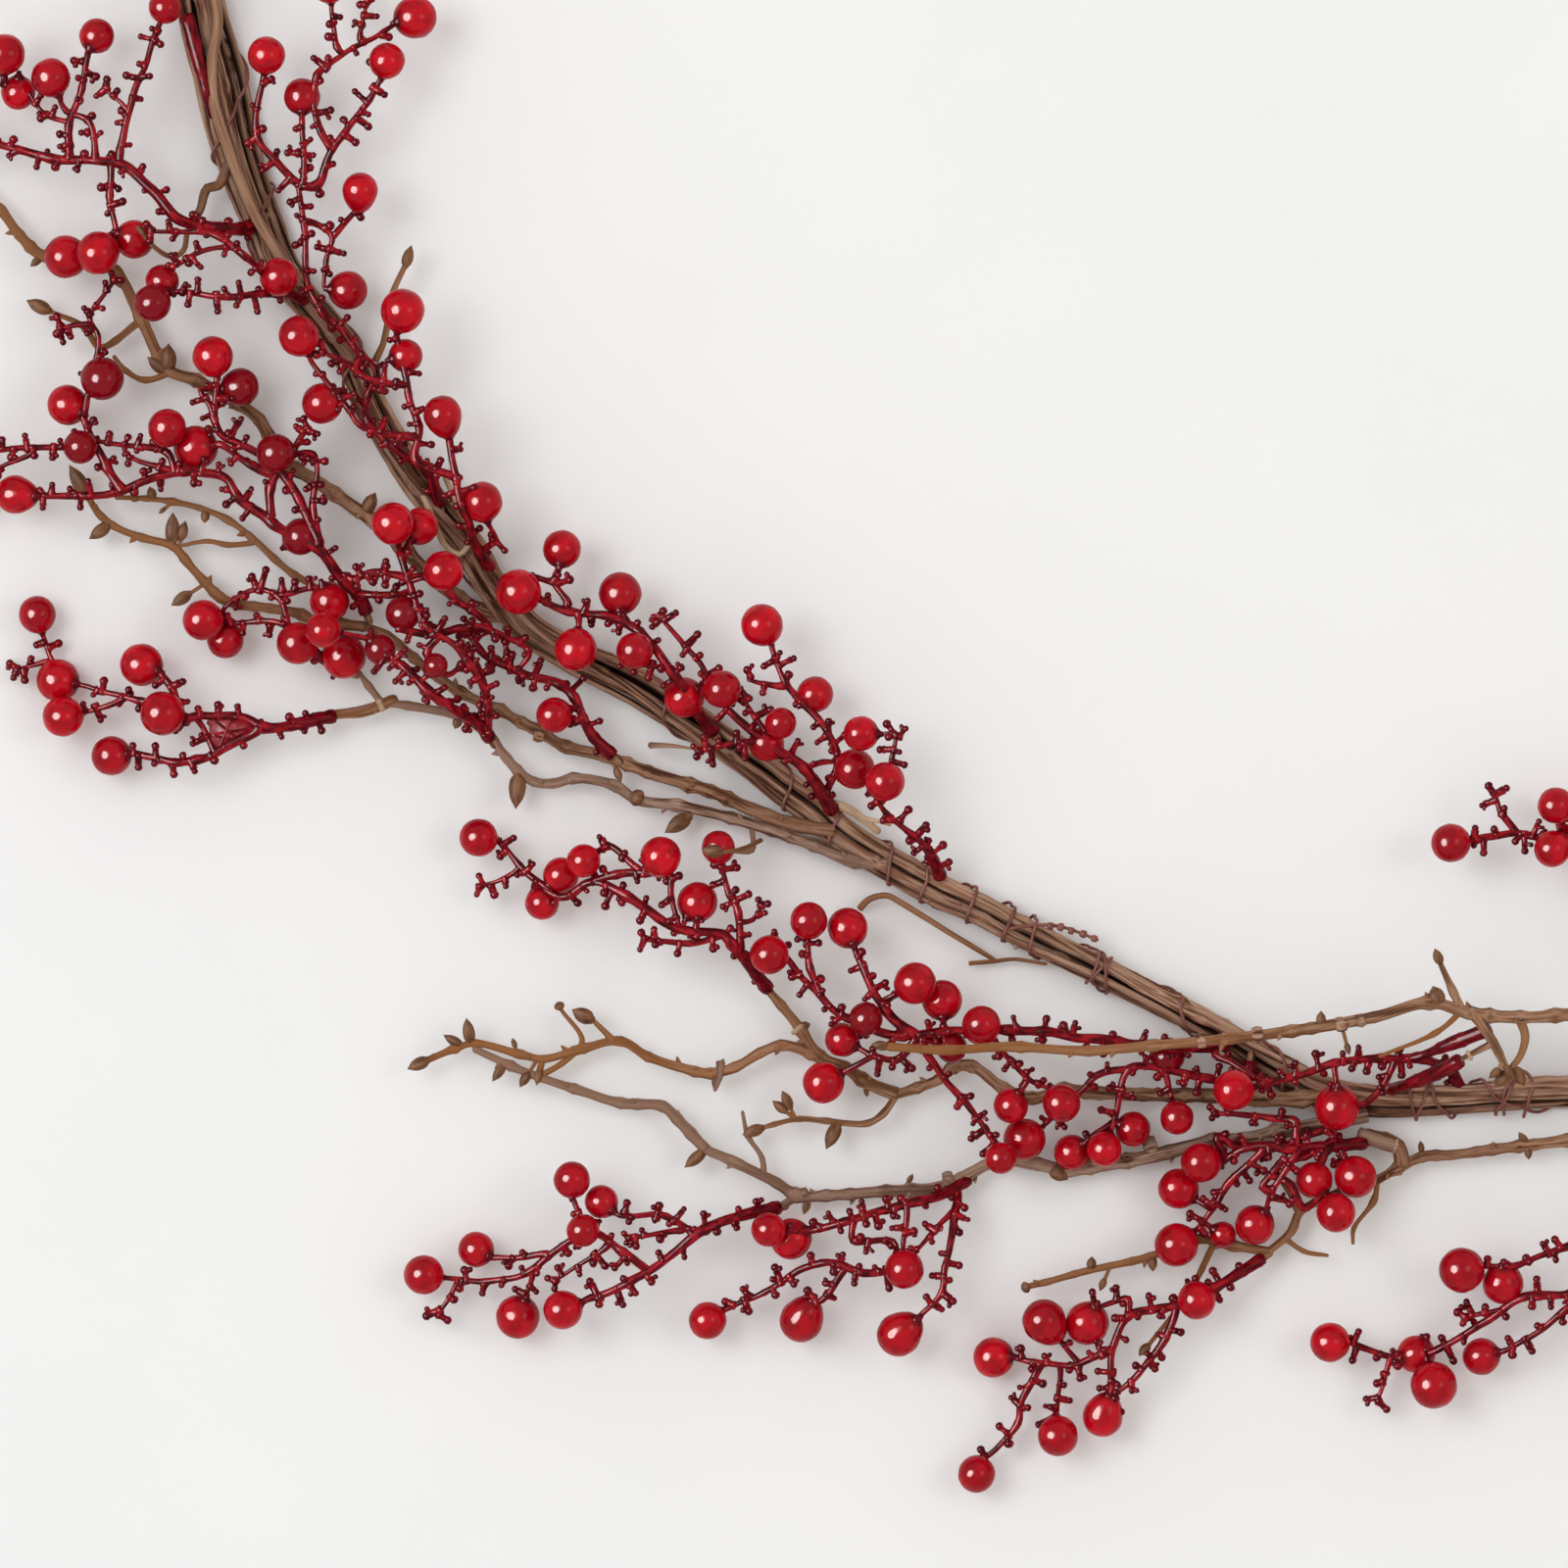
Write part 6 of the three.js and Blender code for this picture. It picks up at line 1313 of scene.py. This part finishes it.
NUB_FLOOR = NUB_HEAD * 1.15  # least height of a nub's head
FIRST_NUB = 3.5, 6  # how far along a stem it stands
NUB_GAPS = 2.6, 7.5
NUB_REACHES = 0.7, 1.9
NUB_RETRY = 1.2  # how far on another is tried where one had no room
NUB_TILTS = -0.6, 0.6  # up or down, in radians
NUB_LEANS = -0.3, 0.9  # back or on along the stem
LAST_LEAN = 0.8
LAST_ROOM = 0.75  # how close a pair at a bare end may stand, as a share of the usual room
BERRY_ROOM = 0.9


def fill_nubs(piece, lines, heads, berries):
    """More nubs to both sides of the stems, where no other nub or berry stands, and a pair at a bare end."""
    for radius, points in lines:
        path, _ = spline(points, 0.5)
        travelled, wait, hand = 0, between(FIRST_NUB), random.choice((-1, 1))
        for before, point in zip(path, path[1:]):
            travelled += (point - before).length
            along = (point - before).normalized()
            across = Vector((-along.y, along.x, 0)).normalized()
            last = point is path[-1]
            if travelled < wait and not last:
                continue
            hand = -hand
            tilt = between(NUB_TILTS)
            up = Vector((0, 0, math.sin(tilt)))
            ways = [across * hand * math.cos(tilt) + up + along * between(NUB_LEANS)]
            if last:
                ways = [along * LAST_LEAN + across, along * LAST_LEAN - across]
            for way in ways:
                head = point + way.normalized() * (radius * 0.8 + between(NUB_REACHES))
                room = NUB_ROOM * LAST_ROOM if last else NUB_ROOM
                crowded = any((head.xy - other).length < room for other in heads)
                buried = any((head - berry.centre).length < berry.radius + BERRY_ROOM for berry in berries)
                if crowded or buried or head.z < NUB_FLOOR:
                    wait = travelled + NUB_RETRY
                    continue
                heads.append(head.xy)
                make_nub(piece, point, head)
                wait = travelled + between(NUB_GAPS)


STEM_TAPER = 1.15, 0.68
STEM_JOINTS = 0.0, 0.35
HELD_RINGS = 3  # near each end, where a stem keeps to its line
STRAY_STEP = 0.17


def make_stem(piece, radius, points):
    """A red stem that wanders a little and is thicker where it bends."""
    path, marks = spline(points, STEP)
    swell = swellings(path, marks, STEM_JOINTS)
    last = len(path) - 1
    radii = [radius * mix(*STEM_TAPER, i / last) * swell[i] for i in range(last + 1)]
    turn = random.uniform(0, 90)
    for i, place in enumerate(path):
        held = min(1, i / HELD_RINGS, (last - i) / HELD_RINGS)
        path[i] = place + wander(i * STRAY_STEP, i * STRAY_STEP, turn) * STEM_SWAY * held
    piece.tube(path, radii, "stem", random.random(), sides=9, relief=0.24)


SLEEVE_RINGS = 10
SLEEVE_RADIUS = 1.2  # least, before its wall
SLEEVE_WALL = 0.5
SLEEVE_FALL = 0.35  # how much slimmer it is at its far end
SLEEVE_RIBS = 1, 5  # which rings stand out as ribs
SLEEVE_RIB = 0.2
PLUG_LENGTH = 2.2  # of the brown peg that comes out of a sleeve
PLUG_RADII = [1.05, 1.0]
PLUG_FLOOR = 1.2
STALK_RADIUS = 0.75
STALK_ARCH = 0.5
STEEPEST = 0.5  # slope of a berry's stalk
ENTRY = 0.9  # how deep a stem runs into a berry, by its radius from the middle
CLEAR = 1.15  # how near the middle its points may lie
FOOT_STRAY = -0.8, 0.8


class Spray:
    """A red spray: its stems and the places of its berries, before its mesh is made."""

    def __init__(self, name, form):
        self.name = name
        self.form = form
        self.lines = stem_lines(form)
        self.bare = [list(points) for _, points in self.lines]
        self.berries = []
        ended = set()
        for index, (x, y, radius) in enumerate(groups(form.berries, 3)):
            foot = nearest_on(self.bare, x, y)
            lift = BERRY_OFFSET if index % 2 == 0 else -BERRY_OFFSET
            centre = Vector((x, y, max(foot.z + lift, radius)))
            stem = None
            for number, points in enumerate(self.bare):
                if number not in ended and (points[-1] - centre).xy.length < BERRY_REACH:
                    stem = number
                    foot = points[-1]
                    ended.add(number)
                    break
            stretch = PEAR_BERRY if is_near(PEARS, x, y) else ROUND_BERRY
            # A berry in shade gets a painted shade tone, the others a random one
            tone = PAINTED_SHADE_TONE if is_near(PAINTED_SHADE_BERRIES, x, y) else between(BERRY_TONES)
            self.berries.append(Berry(centre, radius, foot, stem, stretch, tone))

    def make_sleeve(self, piece):
        """The thick moulded socket at the root of the spray, and the brown peg in it."""
        radius, points = self.lines[0]
        path, _ = spline(points, STEP)
        count = min(len(path), SLEEVE_RINGS)
        wall = max(radius, SLEEVE_RADIUS) + SLEEVE_WALL
        radii = [wall - SLEEVE_FALL * smooth(i / (count - 1)) + (SLEEVE_RIB if i in SLEEVE_RIBS else 0)
                 for i in range(count)]
        piece.tube(path[:count], radii, "stem", random.random(), sides=10, relief=0.12, wear=[0.45] * count)
        end = path[0] + (path[0] - path[2]).normalized() * PLUG_LENGTH
        end.z = max(end.z, PLUG_FLOOR)
        piece.tube([path[0], end], PLUG_RADII, "twig_tan", random.random(), sides=9, relief=0.1)

    def join_berry(self, piece, berry):
        """Turns the berry away from its stem, and runs the stem or a stalk of its own into it."""
        away = berry.centre - berry.foot
        if away.xy.length < 0.5:
            turn = random.uniform(0, math.tau)
            away = Vector((math.cos(turn), math.sin(turn), 0.3)) * berry.radius
        away.z = max(-STEEPEST * away.xy.length, min(away.z, STEEPEST * away.xy.length))
        berry.away = away.normalized()
        entry = berry.centre - berry.away * berry.radius * ENTRY
        if berry.stem is not None:
            points = self.lines[berry.stem][1]
            while len(points) > 2 and (points[-1] - berry.centre).length < berry.radius * CLEAR:
                points.pop()
            points.append(entry)
        elif away.length > berry.radius:
            middle = berry.foot.lerp(entry, 0.5) + Vector((0, 0, STALK_ARCH))
            path, _ = spline([berry.foot, middle, entry], STEP)
            piece.tube(path, [STALK_RADIUS] * len(path), "stem", random.random(), relief=0.12)

    def make(self):
        piece = Piece(f"{self.name}_red")
        for berry in self.berries:
            self.join_berry(piece, berry)
            make_berry(piece, berry)
        for radius, points in self.lines:
            make_stem(piece, radius, points)
        self.make_sleeve(piece)
        nubs = groups(self.form.nubs, 2)
        for index, (x, y) in enumerate(nubs):
            foot = nearest_on(self.bare, x, y) + Vector((between(FOOT_STRAY), between(FOOT_STRAY), 0))
            lean = NUB_LEAN if index % 4 < 2 else -NUB_LEAN
            make_nub(piece, foot, Vector((x, y, max(foot.z + lean, NUB_FLOOR))))
        fill_nubs(piece, self.lines, [Vector(place) for place in nubs], self.berries)
        piece.finish("berry", self.name)


PARTINGS = 12  # rounds of it
PARTING_SHARE = 0.3  # of what is short that each of two berries moves


def part_berries(berries):
    """Berries that would cut through one another move apart, up and down."""
    rest = [berry.centre.z for berry in berries]
    for _ in range(PARTINGS):
        for i, a in enumerate(berries):
            for b in berries[i + 1 :]:
                apart = (a.centre - b.centre).xy.length
                room = a.radius + b.radius
                if apart >= room:
                    continue
                rise = a.centre.z - b.centre.z
                short = math.sqrt(room**2 - apart**2) - abs(rise)
                if short > 0:
                    upper, lower = (a, b) if rise >= 0 else (b, a)
                    upper.centre.z += short * PARTING_SHARE
                    lower.centre.z -= short * PARTING_SHARE
        for berry, z in zip(berries, rest):
            berry.centre.z = min(max(berry.centre.z, z - BERRY_SHIFT, berry.radius), z + BERRY_SHIFT)


# Short red stems that fill two thick clusters, each [x, y, x, y, ...]
TANGLE = [
    [-98.5, 39.5, -89.5, 38, -82.5, 39.5, -77.5, 40, -72.5, 38, -65, 34],
    [-109.5, 52, -103.5, 53.5, -95.5, 53], [-107.5, 48, -100.5, 48, -95.5, 48.5],
    [-86, 50, -82.5, 46, -77.5, 42.5, -75, 39.5],
    [-90.5, 33, -85.5, 28], [-97.5, 30.5, -92.5, 26, -85.5, 21, -81.5, 18.5, -75, 13.5],
    [-82.5, 35.5, -78.5, 30.5, -76, 25, -75.5, 21.5], [-71, 37.5, -70.5, 32.5],
    [-97.5, 59, -95.5, 52.5, -93, 45, -91.5, 39.5], [110, -69, 115, -71.5, 121.5, -76],
    [155, -70.5, 153, -75, 149, -80, 147, -81.5], [130, -86, 124, -85, 117.5, -84, 110, -84],
    [110, -90, 115, -92.5, 125, -92.5, 131, -90.5, 137, -88.5, 140, -88],
    [121.5, -102.5, 125, -98, 127.5, -94], [127.5, -97, 132.5, -95, 137.5, -92, 140, -90.5],
    [129, -102, 130, -105, 132, -108],
]
TANGLE_RADIUS = 0.95
TANGLE_JOIN = 0.5, 7  # how near and how far the stem may lie that an end runs on to
# Thick sleeves that come down to the vine's sprays, from a twig or along the vine: [x, y, z, ...]
SLEEVES = [
    [178.6, -62, 30, 173.8, -64, 28, 167.5, -66.5, 25, 161, -69.3, 20.5],
    [-152.5, 196, 12.6, -150.5, 189, 13, -148.4, 181, 12.8, -147, 175, 11.8, -146, 171, 9.2],
    [171.2, -69.9, 30.5, 168, -71.8, 28.5, 163.5, -74.2, 24, 158.5, -76.3, 18.5, 154.5, -78.5, 8],
]
SLEEVE_TAPER = 1.85, 1.2
HIGH_END = 10  # a sleeve that ends higher than this runs on to the nearest red stem


def make_cluster(berries):
    tangle = Piece("cluster_stems_red")
    lines = []
    for flat in TANGLE:
        first, last = nearest_on(carriers, *flat[:2]), nearest_on(carriers, *flat[-2:])
        count = len(flat) // 2
        points = [Vector((x, y, mix(first.z, last.z, (i + 0.5) / count)))
                  for i, (x, y) in enumerate(groups(flat, 2))]
        low, high = TANGLE_JOIN
        joins_first = low < (first - points[0]).xy.length < high
        joins_last = low < (last - points[-1]).xy.length < high
        points = [first] * joins_first + points + [last] * joins_last
        lines.append([TANGLE_RADIUS, points])
        make_stem(tangle, TANGLE_RADIUS, points)
    fill_nubs(tangle, lines, [], berries)
    for flat in SLEEVES:
        points = [Vector(place) for place in groups(flat, 3)]
        if points[-1].z > HIGH_END:
            points.append(nearest_on(carriers, points[-1].x - 4, points[-1].y - 1))
        path, _ = spline(points, STEP)
        last = len(path) - 1
        radii = [mix(*SLEEVE_TAPER, smooth((i / last - 0.35) / 0.4)) for i in range(last + 1)]
        radii = [radius + (SLEEVE_RIB if i % 5 == 1 else 0) for i, radius in enumerate(radii)]
        tangle.tube(path, radii, "stem", random.random(), sides=12, relief=0.14, wear=[0.35] * len(path))
    tangle.finish("berry")


# Small things that only the picture shows: [finish, first radius, last radius, x, y, z, x, y, z, ...]
TRIFLES = [
    ["twig_olive", 0.9, 0.6, 19.4, -31.9, 2.5, 21.9, -29.4, 4.5, 26.3, -28.5, 7, 29.4, -30, 7.5,
     38.8, -35.9, 6, 53.8, -45, 4],
    ["twig_olive", 0.6, 0.45, 47.3, -45.9, 3.5, 53.8, -45.3, 4, 58.8, -44.8, 3.5, 66.9, -46, 4.2],
    ["wire", 0.42, 0.42, 57.5, -36.9, 10, 63.8, -36, 9, 70, -36.3, 7.5, 75, -37.8, 7.5, 80, -39.8, 7],
    ["wire", 0.42, 0.42, 36.9, -29.4, 8, 38.1, -31.3, 5.5, 42.5, -32.3, 5.5, 45, -30.6, 8],
    ["cut", 1.3, 1.0, 11, -4.6, 8.3, 17, -6.8, 9.6, 23.8, -11.9, 10],
    ["cut", 0.7, 0.4, 20, -8.6, 9.8, 24.5, -9.6, 10.6, 27, -10.4, 11],
    ["vine_tan", 0.9, 0.25, -34, 9.9, 5, -32, 9.9, 8, -27, 9.6, 9.5, -22.5, 8.8, 10],
    ["cut", 0.9, 0.75, -93.5, 76.5, 8, -91.7, 72.8, 10.3, -88.9, 66.1, 11.2, -86.1, 60.6, 11.5,
     -82.8, 58.6, 11.6, -80, 61.7, 11.6, -81.3, 68.3, 11.2, -84.5, 74, 10, -86.5, 78, 7.5],
    ["twig_olive", 1.0, 1.55, -120.5, 17.4, None, -117.8, 17.5, None, -112, 18, None, -106.7, 18.6, None,
     -100, 21.4, None],
    ["vine_tan", 1.3, 1.45, -150, 224, 5, -147.5, 210, 10.5, -144.4, 195.1, 12, -145.8, 184.7, 12,
     -145.6, 175, 12, -142.8, 165.3, 11.8, -138.9, 154.2, 11.5, -134.7, 144.4, 11.3, -129.9, 136.8, 10.5,
     -124, 127, 7],
    ["twig_grey", 2.0, 1.9, 146.5, -89.5, 8.5, 151, -91, 8.2, 155.6, -92.4, 7.8],
    ["twig_olive", 0.65, 0.5, -6, -14.4, 8, -9, -15.8, 18, -12, -16.8, 25, -16, -17.3, 28],
    ["twig_olive", 0.95, 0.7, -104.5, 108, 6, -102.4, 112.3, 7, -100.8, 119.5, 8.5, -99.6, 125.9, 9,
     -96.4, 133, 10],
    ["bud", 1.7, 0.85, -140, 163, 7, -144.5, 152.8, 8, -147.2, 152.1, 9, -149.3, 145.8, 10,
     -152.1, 142.8, 10.5],
    ["twig_olive", 0.75, 0.6, -150.5, 144.6, 10, -152.1, 140.3, 13, -152.8, 135.8, 16, -155.6, 134, 19,
     -160.4, 136.8, 23.5, -162.8, 140, 25],
    ["twig_tan", 1.2, 0.8, 186, -59.3, 31, 187.5, -64, 30, 186.3, -69, 29, 183.6, -72.5, 28.5],
    ["wire", 0.45, 0.45, 184, -84.5, 6, 183.5, -80, 9.6, 185.2, -75.5, 10.4, 188.5, -73.2, 10, 191, -76, 9.8,
     190, -80.5, 10, 189, -85, 6],
    ["vine_tan", 1.5, 1.2, 139.5, -60.8, 30.6, 144, -59.8, 31.2, 150, -59, 31],
    ["twig_grey", 1.25, 0.5, -16.1, -71, 8, -16.5, -75, 9.5, -17.6, -78, 10],
]
# Their buds: x, y, z of the base, x, y, z of the point, width
TRIFLE_BUDS = [
    (-96.8, 131.5, 9.8, -95, 137.5, 10.4, 2.8), (183.6, -72.5, 28.5, 180, -77, 28, 3.4),
    (184.5, -71.5, 28.5, 187.6, -76.5, 28, 3.4), (-15.5, -17.3, 28, -21, -16.6, 28.6, 3.2),
    (-161.8, 138.8, 24.7, -164.6, 141.8, 25.4, 1.5),
]
# Cut ends, joints and beads: finish, x, y, z, direction in the surface in degrees, radius, half length
RINGS = [
    ("cut", 156, -92.6, 7.8, -16, 1.8, 0.5), ("cut", -103, 20.2, None, 22, 1.75, 0.9),
    ("cut", 3.4, -62.7, None, 130, 1.75, 0.8), ("cut", 173.4, -68.8, 30.8, 28, 1.3, 0.6),
    ("cut", 59.4, -41.5, 4, 150, 0.9, 0.6), ("vine_tan", 141, -60.6, None, 5, 1.9, 1.7),
    ("vine_tan", 119.7, -63.5, None, 5, 2.0, 1.6), ("vine_tan", 105.5, -65, None, 8, 1.8, 1.3),
    ("vine_tan", 146, -59.8, None, 8, 1.8, 1.2), ("twig_olive", -62.5, 12.5, None, -12, 1.9, 1.6),
    ("twig_grey", 93.5, -92.5, None, 15, 2.4, 2.0), ("twig_grey", 42, -101.5, None, 10, 2.2, 1.6),
    ("wire", 68, -36.2, 8, -5, 0.95, 0.9), ("wire", 70.6, -36.6, 7.5, -12, 1.0, 0.9),
    ("wire", 73.4, -37.4, 7.5, -18, 0.9, 0.9), ("wire", 76.4, -38.4, 7.3, -20, 1.0, 1.0),
    ("wire", 79.2, -39.5, 7.1, -20, 0.9, 0.9),
]
RING_OUTLINE = [(-1, 0), (-0.8, 0.9), (0, 1.1), (0.8, 0.95), (1, 0)]  # by its half length and its radius


def make_trifles():
    twig_lines = [line[1] for form in TWIGS.values() for line in stem_lines(form)]

    def placed(x, y, z):
        """A point at its own height, or where that is None at the height of the twig under or over it."""
        return Vector((x, y, nearest_on(twig_lines, x, y).z if z is None else z))

    trifles = Piece("loose_ends")
    for index, (finish, first, last, *flat) in enumerate(TRIFLES):
        path, _ = spline([placed(*place) for place in groups(flat, 3)], STEP)
        radii = [mix(first, last, i / (len(path) - 1)) for i in range(len(path))]
        trifles.tube(path, radii, finish, 0.2 + index * 0.11, sides=9, relief=0.2, wear=[0.5] * len(path))
    for *places, width in TRIFLE_BUDS:
        add_bud(trifles, Vector(places[:3]), Vector(places[3:]), width)
    for finish, x, y, z, degrees, radius, half in RINGS:
        turn = math.radians(degrees)
        outline = [(far * half, width * radius) for far, width in RING_OUTLINE]
        way = Vector((math.cos(turn), math.sin(turn), 0))
        trifles.lathe(placed(x, y, z), way, outline, finish, random.random(), sides=12, wobble=0.3)
    trifles.finish("twig")


# The thin web between two stems of the leftmost spray: its corners x, y and the corners that its ribs join
WEB = [-146.7, 17.6, -140, 18.4, -133, 14.6, -137.8, 10.6, -144.4, 7.8, -146.2, 12.5]
WEB_RIBS = [(0, 2), (0, 3), (5, 3), (5, 2), (1, 4)]
WEB_HALF = 0.28
RIB_RADIUS = 0.42
RIB_ARCH = 0.25


def make_web():
    web = Piece("spray_web_red")
    edge = [Vector((x, y, nearest_on(carriers, x, y).z)) for x, y in groups(WEB, 2)]
    middle = sum(edge, Vector()) / len(edge)
    for side in (-WEB_HALF, WEB_HALF):
        for place in (middle, *edge):
            web.add_vert(place + Vector((0, 0, side)), place, (0.1, 0, 0))
    count = len(edge)
    up = count + 1
    for i in range(count):
        low, following = 1 + i, 1 + (i + 1) % count
        web.faces += [(0, following, low), (up, low + up, following + up),
                      (low, following, following + up, low + up)]
    web.finishes += ["web"] * len(web.faces)
    for a, b in WEB_RIBS:
        path, _ = spline([edge[a], edge[a].lerp(edge[b], 0.5) + Vector((0, 0, RIB_ARCH)), edge[b]], STEP)
        web.tube(path, [RIB_RADIUS] * len(path), "stem", random.random(), sides=7, relief=0.2)
    web.finish("berry")


# The pale surface, the light and the camera, in metres
FLOOR_SIZE = 6.0
FLOOR_DROP = 0.0002
FLOOR_WHITES = [(0.3, (0.885, 0.885, 0.89)), (0.7, (0.915, 0.913, 0.911))]
WORLD_COLOUR = (1.0, 0.983, 0.956, 1)
WORLD_STRENGTH = 0.72
CAMERA_HEIGHT = 2.5
PICTURE_WIDTH = 0.4
PICTURE_LEVEL = 0.010  # height at which the picture is that wide
SENSOR = 36.0  # mm


def make_floor():
    half = FLOOR_SIZE / 2
    mesh = bpy.data.meshes.new("floor")
    corners = [(-half, -half), (half, -half), (half, half), (-half, half)]
    mesh.from_pydata([(x, y, -FLOOR_DROP) for x, y in corners], [], [(0, 1, 2, 3)])
    made = Finish("pale_board", Roughness=0.75, Specular_IOR_Level=0.0)
    place = made.node("TexCoord").outputs["Object"]
    made.set("Base Color", made.ramp(made.noise(place, 9.0, 3.0), FLOOR_WHITES))
    mesh.materials.append(made.material)
    floor = bpy.data.objects.new("floor", mesh)
    bpy.context.scene.collection.objects.link(floor)


def make_lamp(name, place, size, watts, colour):
    lamp = bpy.data.lights.new(name, "AREA")
    lamp.shape = "DISK"
    lamp.size = size
    lamp.energy = watts
    lamp.color = colour
    obj = bpy.data.objects.new(name, lamp)
    obj.location = place
    obj.rotation_euler = (-Vector(place)).to_track_quat("-Z", "Y").to_euler()
    bpy.context.scene.collection.objects.link(obj)
    return obj


def make_world():
    world = bpy.data.worlds.new("studio")
    world.use_nodes = True
    background = world.node_tree.nodes["Background"]
    background.inputs["Color"].default_value = WORLD_COLOUR
    background.inputs["Strength"].default_value = WORLD_STRENGTH
    bpy.context.scene.world = world
    bpy.context.scene.view_settings.view_transform = "Standard"


def make_camera():
    lens = bpy.data.cameras.new("camera")
    lens.sensor_width = SENSOR
    lens.lens = SENSOR * (CAMERA_HEIGHT - PICTURE_LEVEL) / PICTURE_WIDTH
    camera = bpy.data.objects.new("camera", lens)
    camera.location = (0, 0, CAMERA_HEIGHT)
    bpy.context.scene.collection.objects.link(camera)
    bpy.context.scene.camera = camera


make_vine()
make_wire()
for name, form in TWIGS.items():
    make_twig(name, form, TWIG_BARK[name])
for index, (name, *where) in enumerate(TWIG_REPEATS):
    make_twig(f"twig_repeat_{index + 1}", repeated(TWIGS[name], FORM_ANGLE[name], *where), TWIG_BARK[name])
sprays = [Spray(name, form) for name, form in SPRAYS.items()]
for index, (name, *where) in enumerate(REPEATS):
    sprays.append(Spray(f"spray_repeat_{index + 1}", repeated(SPRAYS[name], FORM_ANGLE[name], *where)))
all_berries = [berry for spray in sprays for berry in spray.berries]
part_berries(all_berries)
for spray in sprays:
    spray.make()
carriers = [points for spray in sprays for points in spray.bare]  # what the small red pieces grow from
make_cluster(all_berries)
make_trifles()
make_web()
make_floor()
make_lamp("key", (-0.95, 0.4, 1.95), 1.2, 13.5, (0.94, 0.97, 1.0))
make_lamp("glow", (1.4, 0.2, 1.9), 1.0, 5.2, (1.0, 0.98, 0.95))
glint = make_lamp("glint", (-1.35, 0.12, 1.6), 1.45, 195, (1.0, 0.99, 0.97))
glint.visible_diffuse = False  # it shows in the coats only and casts no shadows
make_world()
make_camera()
